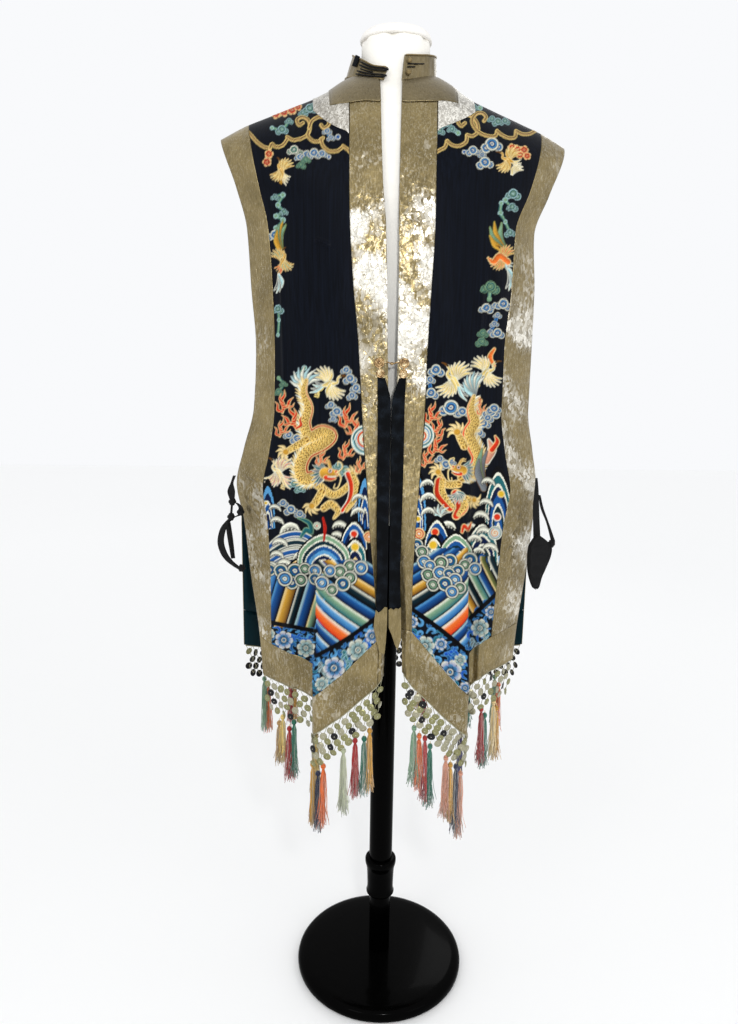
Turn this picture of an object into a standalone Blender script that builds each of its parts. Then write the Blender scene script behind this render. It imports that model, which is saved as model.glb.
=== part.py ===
# Ceremonial vest on a limbless dress form.
# Metres, Z up, front towards -Y, origin under the middle of the base.
# "right" is the wearer's right, on -X; "left" is on +X.
import math

import bpy
import numpy as np
from mathutils import Vector
from mathutils.bvhtree import BVHTree

CLOTH = 0.0014
LINING = 0.0011
SEAM = 0.00015
LAID = 0.0004
HEM_SEAM = (0.0003, 0.0036)

# The long edges of a front panel at each height, as distances out from the middle.
LINES = [
    # z, right: centre edge, centre seam, side seam, outer edge, left: the same four
    (1.60, 0.0275, 0.0755, 0.2420, 0.2920, 0.0065, 0.0605, 0.2420, 0.2825),
    (1.51, 0.0270, 0.0740, 0.2270, 0.2765, 0.0020, 0.0560, 0.2280, 0.2745),
    (1.43, 0.0245, 0.0740, 0.2115, 0.2490, 0.0000, 0.0540, 0.2085, 0.2470),
    (1.37, 0.0195, 0.0725, 0.1980, 0.2340, -0.0005, 0.0540, 0.1880, 0.2270),
    (1.28, 0.0160, 0.0665, 0.1920, 0.2290, 0.0010, 0.0510, 0.1850, 0.2330),
    (1.19, 0.0130, 0.0575, 0.1900, 0.2230, 0.0020, 0.0485, 0.1770, 0.2340),
    (1.09, 0.0100, 0.0515, 0.1910, 0.2280, 0.0025, 0.0475, 0.1770, 0.2340),
    (1.02, 0.0095, 0.0460, 0.2000, 0.2460, 0.0040, 0.0435, 0.1870, 0.2450),
    (0.96, 0.0095, 0.0410, 0.2110, 0.2590, 0.0055, 0.0395, 0.1990, 0.2540),
    (0.90, 0.0095, 0.0365, 0.2040, 0.2480, 0.0085, 0.0355, 0.1890, 0.2520),
    (0.80, 0.0100, 0.0270, 0.2000, 0.2370, 0.0140, 0.0320, 0.1820, 0.2430),
    (0.70, 0.0105, 0.0220, 0.2010, 0.2240, 0.0180, 0.0330, 0.1780, 0.2320),
    (0.55, 0.0140, 0.0240, 0.2000, 0.2140, 0.0220, 0.0360, 0.1780, 0.2230),
]

# How far cloth stands from the middle plane.
DEPTHS = [
    # z, front middle, front outer edge, back middle, back outer edge
    (1.62, 0.142, 0.040, 0.118, 0.035),
    (1.43, 0.142, 0.040, 0.118, 0.035),
    (1.34, 0.146, 0.036, 0.116, 0.032),
    (1.25, 0.142, 0.034, 0.106, 0.030),
    (1.15, 0.136, 0.032, 0.098, 0.028),
    (1.05, 0.136, 0.032, 0.112, 0.028),
    (0.95, 0.142, 0.032, 0.128, 0.028),
    (0.80, 0.149, 0.036, 0.134, 0.030),
    (0.50, 0.156, 0.042, 0.138, 0.034),
]

# Height of the shoulder line over each distance from the middle.
SHOULDER = [
    # distance, z
    (0.000, 1.618), (0.060, 1.607), (0.080, 1.598), (0.112, 1.578), (0.150, 1.562),
    (0.200, 1.543), (0.235, 1.530), (0.275, 1.511), (0.310, 1.494),
]

# Hem heights along a front: the seam over the hem band and the band's own lower edge.
HEMS = [
    # s, right seam, right edge, left seam, left edge
    (0.00, 0.738, 0.664, 0.745, 0.670),
    (1.00, 0.728, 0.650, 0.742, 0.651),
    (1.50, 0.627, 0.561, 0.629, 0.558),
    (1.60, 0.660, 0.600, 0.668, 0.604),
    (1.78, 0.674, 0.613, 0.695, 0.630),
    (2.00, 0.682, 0.617, 0.706, 0.643),
    (3.00, 0.690, 0.620, 0.715, 0.647),
]

# The deep pleat under the point of each front, at full depth.
PLEAT = [
    # s, out from the point, forward of the body line
    (1.44, -0.014, 0.028),
    (1.485, -0.003, 0.031),
    (1.515, 0.001, 0.026),
    (1.575, -0.003, -0.008),
    (1.61, -0.002, -0.020),
    (1.65, 0.007, -0.025),
]
POINT = {"right": 0.1265, "left": 0.1300}
PLEAT_TOP = 1.08
PLEAT_LOW = 0.62

# Soft folds: place across the piece, half width, forward push, height where it starts.
FRONT_FOLDS = [
    (1.26, 0.13, 0.004, 1.00),
    (1.82, 0.10, 0.006, 1.02),
    (0.45, 0.35, 0.003, 0.95),
]
BACK_FOLDS = [
    (-0.78, 0.15, 0.012, 1.05),
    (-0.42, 0.15, 0.014, 1.10),
    (-0.06, 0.15, 0.013, 1.06),
    (0.30, 0.15, 0.014, 1.10),
    (0.68, 0.15, 0.012, 1.04),
]

# Neck opening of the cloth: middle, half width, front reach, back reach.
NECK_X = -0.007
NECK_W = 0.0742
NECK_FRONT = 0.0692
NECK_BACK = 0.0630

ROWS = [0.0, 0.0035, 0.012, 0.03, 0.06, 0.10, 0.15, 0.21, 0.28, 0.35,
        0.42, 0.49, 0.56, 0.63, 0.70, 0.77, 0.84, 0.90, 0.95, 1.0]
BAND_S = [0.0, 0.35, 0.7, 1.0]
SILK_S = [1.0, 1.04, 1.15, 1.30, 1.44, 1.485, 1.515, 1.575, 1.61, 1.65, 1.76, 1.88, 2.0]
SIDE_S = [2.0, 3.0]
BACK_ROWS = [0.0, 0.004, 0.015, 0.04, 0.08, 0.14, 0.21, 0.29, 0.37, 0.45,
             0.53, 0.61, 0.69, 0.77, 0.85, 0.93, 1.0]
BACK_S = [-1.0, -0.87, -0.74, -0.61, -0.48, -0.375, -0.27, -0.15, -0.05,
          0.05, 0.15, 0.24, 0.345, 0.45, 0.57, 0.69, 0.80, 0.90, 1.0]

# Finish of each piece: words its name starts with, colour, roughness, metallic.
FINISHES = [
    ("back_lining", (0.020, 0.085, 0.095), 0.60, 0.0),
    ("back", (0.018, 0.020, 0.034), 0.45, 0.0),
    ("front_", (0.018, 0.020, 0.034), 0.45, 0.0),
    ("band_", (0.42, 0.38, 0.29), 0.42, 0.6),
    ("shoulder_patch", (0.42, 0.38, 0.29), 0.42, 0.6),
    ("yoke_", (0.20, 0.17, 0.09), 0.50, 0.6),
    ("collar_", (0.45, 0.33, 0.12), 0.35, 0.8),
    ("collar", (0.20, 0.17, 0.09), 0.50, 0.6),
    ("clasp_", (0.52, 0.42, 0.22), 0.30, 0.9),
    ("streamer_tip", (0.50, 0.36, 0.12), 0.40, 0.7),
    ("streamer_", (0.010, 0.010, 0.012), 0.85, 0.0),
    ("tie_", (0.012, 0.012, 0.014), 0.70, 0.0),
    ("fringe_", (0.42, 0.36, 0.26), 0.60, 0.0),
    ("form_torso", (0.74, 0.70, 0.62), 0.75, 0.0),
    ("neck_cap", (0.78, 0.75, 0.68), 0.70, 0.0),
    ("", (0.012, 0.012, 0.014), 0.18, 0.0),
]

made = {}
finishes = {}


def column(table, index, value):
    rows = sorted(table, key=lambda row: row[0])
    return float(np.interp(value, [row[0] for row in rows], [row[index] for row in rows]))


def smooth(value):
    value = min(max(value, 0.0), 1.0)
    return value * value * (3.0 - 2.0 * value)


def shoulder(distance):
    return column(SHOULDER, 1, abs(distance))


def full_depth(face, x, z, outer):
    first = 1 if face == "front" else 3
    middle = column(DEPTHS, first, z)
    edge = column(DEPTHS, first + 1, z)
    u = min(abs(x) / outer, 1.0)
    roll = 0.27 - 0.20 * u if face == "front" else 0.16 - 0.10 * u
    return edge + (middle - edge) * (1.0 - u ** 2.4), roll


def depth(face, x, z, outer):
    full, roll = full_depth(face, x, z, outer)
    q = min(max((shoulder(x) - z) / roll, 0.0), 1.0)
    return full * math.sqrt(1.0 - (1.0 - q) ** 2)


def neck_drop(face, x, outer):
    reach = NECK_FRONT if face == "front" else NECK_BACK
    off = (x - NECK_X) / NECK_W
    if abs(off) >= 1.0:
        return 0.0
    full, roll = full_depth(face, x, shoulder(x), outer)
    share = reach * math.sqrt(1.0 - off * off) / full
    return roll * (1.0 - math.sqrt(1.0 - share * share))


def front_lines(side, z):
    first = 1 if side == "right" else 5
    return [column(LINES, first + k, z) for k in range(4)]


def front_across(side, s, z):
    edges = front_lines(side, z)
    k = min(int(s), 2)
    flat = edges[k] + (edges[k + 1] - edges[k]) * (s - k)
    if s <= 1.0 or s >= 2.0:
        return flat
    deep = smooth((PLEAT_TOP - z) / (PLEAT_TOP - PLEAT_LOW))
    point = POINT[side]
    places = [1.0] + [row[0] for row in PLEAT] + [2.0]
    outs = [edges[1]] + [point + row[1] for row in PLEAT] + [edges[2]]
    return flat + (float(np.interp(s, places, outs)) - flat) * deep


def folds(table, s, z):
    push = 0.0
    for place, half, forward, start in table:
        near = (s - place) / half
        if abs(near) < 1.0:
            push += forward * smooth((start - z) / 0.35) * math.cos(near * math.pi / 2.0) ** 2
    return push


def front_point(side, s, t):
    sign = -1.0 if side == "right" else 1.0
    z = 1.59
    for _ in range(6):
        x = front_across(side, s, z)
        outer = front_lines(side, z)[3]
        z = shoulder(x) - neck_drop("front", sign * x, outer)
    first = 1 if side == "right" else 3
    seam = column(HEMS, first, s)
    edge = column(HEMS, first + 1, s)
    z = z + (seam - z) * t if t <= 1.0 else seam + (edge - seam) * (t - 1.0)
    x = front_across(side, s, z)
    y = depth("front", x, z, front_lines(side, z)[3])
    deep = smooth((PLEAT_TOP - z) / (PLEAT_TOP - PLEAT_LOW))
    places = [0.0, 1.0] + [row[0] for row in PLEAT] + [2.0, 3.0]
    pushes = [0.0, 0.012] + [row[2] for row in PLEAT] + [-0.006, 0.0]
    y += deep * float(np.interp(s, places, pushes)) + folds(FRONT_FOLDS, s, z)
    return np.array([sign * x, -max(y, SEAM), z])


def front_at(side, s, z):
    # The place on a front at a height, and the direction out of the cloth there.
    top = front_point(side, s, 0.0)[2]
    seam = column(HEMS, 1 if side == "right" else 3, s)
    return front_surface(side)(s, (top - z) / (top - seam))


def back_edge(side, z):
    outer = front_lines(side, z)[3]
    wide = 0.2615 if side == "right" else 0.2640
    low = smooth((1.0 - z) / 0.12)
    return outer - 0.0015 + (wide - outer) * low


def back_point(s, t):
    side = "right" if s < 0.0 else "left"
    sign = -1.0 if s < 0.0 else 1.0
    size = abs(s)

    def across(z):
        outer = back_edge(side, z)
        seam = outer - 0.042
        return seam * size if size <= 1.0 else seam + (outer - seam) * (size - 1.0)
    z = 1.59
    for _ in range(6):
        x = across(z)
        z = shoulder(x) - neck_drop("back", sign * x, back_edge(side, z))
    seam_z = 0.685 + 0.030 * (size / 2.0) ** 1.5
    edge_z = 0.619 + 0.028 * (size / 2.0) ** 1.5
    z = z + (seam_z - z) * t if t <= 1.0 else seam_z + (edge_z - seam_z) * (t - 1.0)
    x = across(z)
    y = depth("back", x, z, back_edge(side, z)) + folds(BACK_FOLDS, s, z)
    return np.array([sign * x, max(y, SEAM), z])


def normal_of(surface, s, t, turn, s_range):
    # Both sides of a seam get the normal of the seam itself, so their walls stay apart.
    if abs(s - round(s)) < 0.01:
        s = float(round(s))
    if abs(t - 1.0) < 0.005:
        t = 1.0
    centre = surface(s, t)

    def step(ds, dt):
        u = min(max(s + ds, s_range[0]), s_range[1])
        v = min(max(t + dt, 0.0), 2.0)
        reach = float(np.linalg.norm(surface(u, v) - centre))
        if reach < 1e-9:
            return centre
        share = min(0.0025 / reach, 1.0)
        return surface(s + (u - s) * share, t + (v - t) * share)
    a = step(0.02, 0.0) - step(-0.02, 0.0)
    b = step(0.0, 0.03) - step(0.0, -0.03)
    n = np.cross(a, b) * turn
    if abs(centre[1]) <= SEAM + 1e-6:
        n[1] = 0.0
    if t >= 2.0:
        n[2] = 0.0
    return n / np.linalg.norm(n)


def front_surface(side):
    turn = 1.0 if side == "right" else -1.0

    def surface(s, t):
        def point(u, v):
            return front_point(side, u, v)
        return point(s, t), normal_of(point, s, t, turn, (0.0, 3.0))
    return surface


def back_surface(s, t):
    return back_point(s, t), normal_of(back_point, s, t, 1.0, (-2.0, 2.0))


def solid(name, points, faces):
    pts = [Vector([float(v) for v in p]) for p in points]
    volume = 0.0
    for face in faces:
        for k in range(1, len(face) - 1):
            volume += pts[face[0]].dot(pts[face[k]].cross(pts[face[k + 1]]))
    if volume < 0.0:
        faces = [tuple(reversed(face)) for face in faces]
    mesh = bpy.data.meshes.new(name)
    mesh.from_pydata(pts, [], [tuple(face) for face in faces])
    mesh.update()
    mesh.materials.append(finish_for(name))
    obj = bpy.data.objects.new(name, mesh)
    bpy.context.scene.collection.objects.link(obj)
    made[name] = ([tuple(p) for p in pts], [tuple(face) for face in faces])
    return obj


def finish_for(name):
    start, colour, roughness, metallic = next(row for row in FINISHES if name.startswith(row[0]))
    if start not in finishes:
        material = bpy.data.materials.new((start or "stand").strip("_"))
        material.use_nodes = True
        shader = material.node_tree.nodes["Principled BSDF"]
        shader.inputs["Base Color"].default_value = (*colour, 1.0)
        shader.inputs["Roughness"].default_value = roughness
        shader.inputs["Metallic"].default_value = metallic
        material.diffuse_color = (*colour, 1.0)
        finishes[start] = material
    return finishes[start]


def skin(outer, inner, faces, left_open=()):
    # Joins two copies of a sheet of faces with walls round every free edge.
    n = len(outer)
    edges = set()
    for face in faces:
        for k in range(len(face)):
            edges.add((face[k], face[(k + 1) % len(face)]))
    walls = []
    for a, b in sorted(edges):
        if (b, a) not in edges and (a, b) not in left_open:
            walls.append((b, a, a + n, b + n))
    backs = [tuple(k + n for k in reversed(face)) for face in faces]
    return list(outer) + list(inner), list(faces) + backs + walls


def grid_faces(columns, rows, keep=None):
    faces = []
    for j in range(rows - 1):
        for i in range(columns - 1):
            if keep is not None and not keep(i, j):
                continue
            a = j * columns + i
            b = a + 1
            c = b + columns
            d = a + columns
            faces.append((a, b, c))
            faces.append((a, c, d))
    return faces


def trimmed(values, low, high):
    values = list(values)
    values[0] += low
    values[-1] -= high
    return values


def wall(name, surface, s_values, t_values, thick, lift=0.0, keep=None):
    # A sheet on a surface, its outer face lifted and its inner face one thickness in.
    outer = []
    inner = []
    for t in t_values:
        for s in s_values:
            point, normal = surface(s, t)
            outer.append(point + normal * lift)
            inner.append(point + normal * (lift - thick))
    faces = grid_faces(len(s_values), len(t_values), keep)
    points, faces = skin(outer, inner, faces)
    used = sorted({k for face in faces for k in face})
    place = {old: new for new, old in enumerate(used)}
    points = [points[k] for k in used]
    faces = [tuple(place[k] for k in face) for face in faces]
    return solid(name, points, faces)


def lathe(name, profile, count, centre=(0.0, 0.0, 0.0), axis="z", oval=1.0):
    # Rings of one profile of (radius, height) rows, closed by a fan at both ends.
    points = []
    faces = []
    cx, cy, cz = centre
    for radius, height in profile:
        for k in range(count):
            angle = 2.0 * math.pi * k / count
            a = radius * math.cos(angle)
            b = radius * math.sin(angle) * oval
            if axis == "z":
                points.append((cx + a, cy + b, cz + height))
            else:
                points.append((cx + a, cy - height, cz + b))
    for j in range(len(profile) - 1):
        for k in range(count):
            a = j * count + k
            b = j * count + (k + 1) % count
            faces.append((a, b, b + count, a + count))
    faces.append(tuple(reversed(range(count))))
    last = (len(profile) - 1) * count
    faces.append(tuple(range(last, last + count)))
    return solid(name, points, faces)


def strap(name, rows, thick):
    # A ribbon given as rows of (left point, right point).
    count = len(rows)
    outer = []
    inner = []
    for k, (left, right) in enumerate(rows):
        left = np.array(left)
        right = np.array(right)
        before = rows[max(k - 1, 0)]
        after = rows[min(k + 1, count - 1)]
        along = (np.array(after[0]) + np.array(after[1])) - (np.array(before[0]) + np.array(before[1]))
        normal = np.cross(right - left, along)
        normal = normal / np.linalg.norm(normal) * thick / 2.0
        outer += [left + normal, right + normal]
        inner += [left - normal, right - normal]
    points, faces = skin(outer, inner, grid_faces(2, count))
    return solid(name, points, faces)


def build_fronts():
    for side in ("right", "left"):
        surface = front_surface(side)
        rows = trimmed(ROWS, 0.0, HEM_SEAM[0])
        wall("front_" + side, surface, trimmed(SILK_S, 0.0012, 0.0012), rows, CLOTH)
        wall("band_center_" + side, surface, trimmed(BAND_S, 0.0, 0.006), rows, CLOTH)
        wall("band_side_front_" + side, surface, trimmed(SIDE_S, 0.006, 0.0), rows, CLOTH)
        across = BAND_S[:-1] + SILK_S + SIDE_S[1:]
        wall("band_hem_front_" + side, surface, across, [1.0 + HEM_SEAM[1], 2.0], CLOTH)


def build_back():
    rows = trimmed(BACK_ROWS, 0.0, HEM_SEAM[0])
    wall("back", back_surface, trimmed(BACK_S, 0.0008, 0.0008), rows, CLOTH)
    wall("band_side_back_right", back_surface, [-2.0, -1.004], rows, CLOTH)
    wall("band_side_back_left", back_surface, [1.004, 2.0], rows, CLOTH)
    wall("band_hem_back", back_surface, [-2.0] + BACK_S + [2.0], [1.0 + HEM_SEAM[1], 2.0], CLOTH)
    lift = -CLOTH - LAID
    wall("back_lining", back_surface, [-1.95] + BACK_S + [1.95], BACK_ROWS[7:], LINING, lift)


# How many rows of cells the yoke keeps below the shoulder line, by column, so that its lower edge steps in.
FRONT_YOKE_CELLS = [4, 4, 3, 3, 3]
BACK_YOKE_CELLS = [2, 3, 4, 4, 4, 4, 4, 3, 2]
YOKE_THICK = 0.0012


def build_yoke():
    lift = LAID + YOKE_THICK
    for side in ("right", "left"):
        surface = front_surface(side)
        across = [0.0, 0.35, 0.7, 1.0, 1.04, 1.15]
        wall("yoke_front_" + side, surface, across, ROWS[:5], YOKE_THICK, lift,
             keep=lambda i, j: j < FRONT_YOKE_CELLS[i])
        wall("shoulder_patch_" + side, surface, [1.152, 1.30], ROWS[:6], YOKE_THICK, lift)
    wall("yoke_back", back_surface, BACK_S[4:14], BACK_ROWS[:5], YOKE_THICK, lift,
         keep=lambda i, j: j < BACK_YOKE_CELLS[i])


# Stand collar: angle from the front, base height, top height.
COLLAR = [
    (10.0, 1.5850, 1.6220),
    (30.0, 1.5890, 1.6250),
    (50.0, 1.5950, 1.6300),
    (70.0, 1.6010, 1.6350),
    (90.0, 1.6035, 1.6400),
    (112.0, 1.6040, 1.6450),
    (135.0, 1.6045, 1.6500),
    (158.0, 1.6045, 1.6530),
    (180.0, 1.6045, 1.6540),
    (202.0, 1.6045, 1.6530),
    (225.0, 1.6045, 1.6500),
    (248.0, 1.6040, 1.6450),
    (270.0, 1.6035, 1.6400),
    (290.0, 1.6000, 1.6310),
    (310.0, 1.5940, 1.6200),
    (330.0, 1.5880, 1.6080),
    (348.0, 1.5850, 1.6040),
]


def collar_point(angle, share, lift=0.0):
    a = math.radians(angle)
    reach = 0.0670 if math.cos(a) > 0.0 else 0.0608
    low = (NECK_X + 0.0720 * math.sin(a), -reach * math.cos(a), column(COLLAR, 1, angle))
    top_reach = reach - (0.005 if math.cos(a) > 0.0 else 0.0025)
    high = (0.0655 * math.sin(a) - 0.002, -top_reach * math.cos(a), column(COLLAR, 2, angle))
    point = np.array(low) * (1.0 - share) + np.array(high) * share
    out = np.array([math.sin(a), -math.cos(a), 0.12])
    return point + out / np.linalg.norm(out) * lift, out / np.linalg.norm(out)


def build_collar():
    angles = [row[0] for row in COLLAR]
    outer = []
    inner = []
    for share in (0.0, 1.0):
        for angle in angles:
            point, out = collar_point(angle, share)
            outer.append(point)
            inner.append(point - out * 0.0022)
    points, faces = skin(outer, inner, grid_faces(len(angles), 2))
    solid("collar", points, faces)
    for name, low, high in (("collar_loop_upper", 0.56, 0.94), ("collar_loop_lower", 0.06, 0.44)):
        outer = []
        inner = []
        gap = (high - low) / 3.0
        for share in (high, high - gap, low + gap, low):
            for angle in (331.0, 335.5, 342.0, 346.5):
                point, out = collar_point(angle, share)
                outer.append(point + out * 0.0022)
                inner.append(point + out * 0.0008)
        faces = grid_faces(4, 4, keep=lambda i, j: not (i == 1 and j == 1))
        points, faces = skin(outer, inner, faces)
        solid(name, points, faces)
    knot = [(0.0018, 0.0), (0.0040, 0.0014), (0.0042, 0.0030), (0.0022, 0.0048)]
    for name, share in (("collar_button_upper", 0.74), ("collar_button_lower", 0.28)):
        point, out = collar_point(17.0, share, -0.0002)
        lathe(name, knot, 8, (point[0], point[1], point[2]), axis="y")


def plate(name, spots, faces, y, thick):
    # A flat piece facing the front: spots are (x, z), y is its back face.
    outer = [(x, y - thick, z) for x, z in spots]
    inner = [(x, y, z) for x, z in spots]
    points, faces = skin(outer, inner, faces)
    return solid(name, points, faces)


# Clasp discs on the right: middle x, middle z and radius; the left ones follow with their own x.
CLASP_DISCS = {
    "right": [(-0.0254, 1.1655, 0.0080), (-0.0236, 1.1495, 0.0068)],
    "left": [(0.0126, 1.1655, 0.0080), (0.0116, 1.1495, 0.0068)],
}
CLASP_THICK = 0.0026


def clasp_back():
    # The plane just in front of both bands, where the discs lie.
    spots = [front_at(side, s, z)[0][1] for side in ("right", "left")
             for s in (0.0, 0.35, 0.7) for z in (1.142, 1.160, 1.174)]
    return min(spots) - LAID


def build_clasp():
    back = clasp_back()
    for side, discs in CLASP_DISCS.items():
        spots = []
        faces = []
        for cx, cz, radius in discs:
            first = len(spots)
            for k in range(10):
                angle = math.radians(18.0 + 36.0 * k)
                spots.append((cx + radius * math.sin(angle), cz + radius * math.cos(angle)))
            faces.append(tuple(range(first, first + 10)))
        faces.append((5, 4, 10, 19))
        plate("clasp_" + side, spots, faces, back, CLASP_THICK)
    count = 8
    points = []
    faces = []
    start = CLASP_DISCS["right"][0][0] + CLASP_DISCS["right"][0][2] + 2.0 * SEAM
    end = CLASP_DISCS["left"][0][0] - CLASP_DISCS["left"][0][2] - 2.0 * SEAM
    stations = [(0.0, 0.0012), (0.17, 0.0022), (0.34, 0.0014), (0.50, 0.0036),
                (0.66, 0.0014), (0.83, 0.0022), (1.0, 0.0012)]
    for share, radius in stations:
        for k in range(count):
            angle = 2.0 * math.pi * k / count
            points.append((start + (end - start) * share,
                           back - CLASP_THICK / 2.0 + radius * math.cos(angle) * 0.6,
                           CLASP_DISCS["right"][0][1] + radius * math.sin(angle)))
    for j in range(len(stations) - 1):
        for k in range(count):
            a = j * count + k
            b = j * count + (k + 1) % count
            faces.append((a, b, b + count, a + count))
    faces.append(tuple(reversed(range(count))))
    faces.append(tuple(range(len(points) - count, len(points))))
    solid("clasp_hook", points, faces)


# Streamers: height, y, then left and right edge of each one.
STREAMERS = [
    (1.1427, -0.1382, -0.0280, -0.0165, 0.0055, 0.0160),
    (1.1250, -0.1420, -0.0275, -0.0110, -0.0010, 0.0150),
    (1.1000, -0.1450, -0.0272, -0.0074, -0.0055, 0.0142),
    (1.0000, -0.1500, -0.0270, -0.0074, -0.0056, 0.0140),
    (0.9000, -0.1560, -0.0262, -0.0076, -0.0060, 0.0125),
    (0.8400, -0.1590, -0.0250, -0.0078, -0.0058, 0.0118),
    (0.7660, -0.1620, -0.0262, -0.0086, -0.0050, 0.0136),
]


def build_streamers():
    for side, first in (("right", 2), ("left", 4)):
        rows = []
        for row in STREAMERS:
            rows.append(((row[first], row[1], row[0]), (row[first + 1], row[1], row[0])))
        strap("streamer_" + side, rows, 0.0014)
    for side, left, right, end in (("right", -0.0290, -0.0076, -0.0110), ("left", -0.0060, 0.0158, 0.0120)):
        step = (right - left) / 6.0
        spots = []
        for k in range(7):
            spots.append((left + step * k, 0.7830 if k % 2 else 0.7690))
        spots += [(right + 0.0006, 0.7500), (end, 0.6950), (left - 0.0006, 0.7500)]
        faces = [(0, 1, 2), (2, 3, 4), (4, 5, 6), (0, 2, 4, 6, 7, 8, 9)]
        plate("streamer_tip_" + side, spots, faces, -0.1636, 0.0014)


# Hip ties, below where they are sewn on: y, z and the two x edges of the folded ribbon.
TIE_THICK = 0.0014
TIE_RIGHT = [
    (-0.0470, 0.9480, -0.2540, -0.2700),
    (-0.0450, 0.9240, -0.2600, -0.2760),
    (-0.0400, 0.9000, -0.2680, -0.2850),
    (-0.0440, 0.8370, -0.2690, -0.2860),
    (-0.0500, 0.8290, -0.2690, -0.2850),
    (-0.0560, 0.8370, -0.2690, -0.2870),
    (-0.0560, 0.8680, -0.2700, -0.2900),
    (-0.0540, 0.9050, -0.2660, -0.2850),
    (-0.0570, 0.9240, -0.2650, -0.2800),
    (-0.0630, 0.9260, -0.2650, -0.2800),
    (-0.0670, 0.9180, -0.2650, -0.2800),
    (-0.0670, 0.8900, -0.2680, -0.2820),
]
TIE_LEFT = [
    (-0.0470, 0.9480, 0.2500, 0.2620),
    (-0.0450, 0.9180, 0.2560, 0.2700),
    (-0.0400, 0.8630, 0.2600, 0.2840),
    (-0.0440, 0.8230, 0.2560, 0.2760),
    (-0.0500, 0.8140, 0.2550, 0.2740),
    (-0.0560, 0.8210, 0.2560, 0.2760),
    (-0.0570, 0.8560, 0.2580, 0.2850),
    (-0.0550, 0.8780, 0.2600, 0.2860),
    (-0.0580, 0.8920, 0.2600, 0.2840),
    (-0.0640, 0.8940, 0.2600, 0.2840),
    (-0.0680, 0.8840, 0.2600, 0.2840),
    (-0.0680, 0.8530, 0.2600, 0.2820),
]


def tie_seat(side, across, down):
    # A place on the side band's flat facet between two rows, and the way out of the cloth.
    surface = front_surface(side)
    point = np.zeros(3)
    out = np.zeros(3)
    for s, share_s in ((2.0, 1.0 - across), (3.0, across)):
        for t, share_t in ((ROWS[13], 1.0 - down), (ROWS[14], down)):
            spot, normal = surface(s, t)
            point += spot * share_s * share_t
            out += normal * share_s * share_t
    return point + out / np.linalg.norm(out) * (LAID + TIE_THICK / 2.0)


def build_ties():
    for side, table in (("right", TIE_RIGHT), ("left", TIE_LEFT)):
        rows = []
        for down in (0.04, 0.48):
            rows.append((tie_seat(side, 0.70, down), tie_seat(side, 0.98, down)))
        rows += [((near, y, z), (far, y, z)) for y, z, near, far in table]
        strap("tie_" + side, rows, TIE_THICK)


def rail_of(point, s_values):
    # Lengths along a hem edge and a way back from a length to a place on it.
    nodes = [point(s) for s in s_values]
    lengths = [0.0]
    for a, b in zip(nodes[:-1], nodes[1:]):
        lengths.append(lengths[-1] + float(np.linalg.norm(b - a)))

    def place(u):
        x = np.interp(u, lengths, [p[0] for p in nodes])
        y = np.interp(u, lengths, [p[1] for p in nodes])
        z = np.interp(u, lengths, [p[2] for p in nodes])
        return np.array([x, y, z])
    return place, lengths


# Fringe, as drops below the hem: the strip's two edges, and the middles of the three rows of sequins.
STRIP = (0.0010, 0.0050)
NET_ROWS = (0.0152, 0.0318, 0.0484)
# Rings of a tassel: drop below the net's last row, then half width along and across the hem.
TASSEL_CORD = (0.0095, 0.0012, 0.0012)
TASSEL_HEAD = (0.0120, 0.0042, 0.0042)
TASSEL_WAIST = (0.0200, 0.0034, 0.0034)
TASSEL_FOOT = (0.0235, 0.0062, 0.0062)
# Strands of a tassel: how unequal their lengths are, and how much of its share of the foot each one fills.
STRAND_STEP = 0.004
STRAND_SHARE = 0.78


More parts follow.
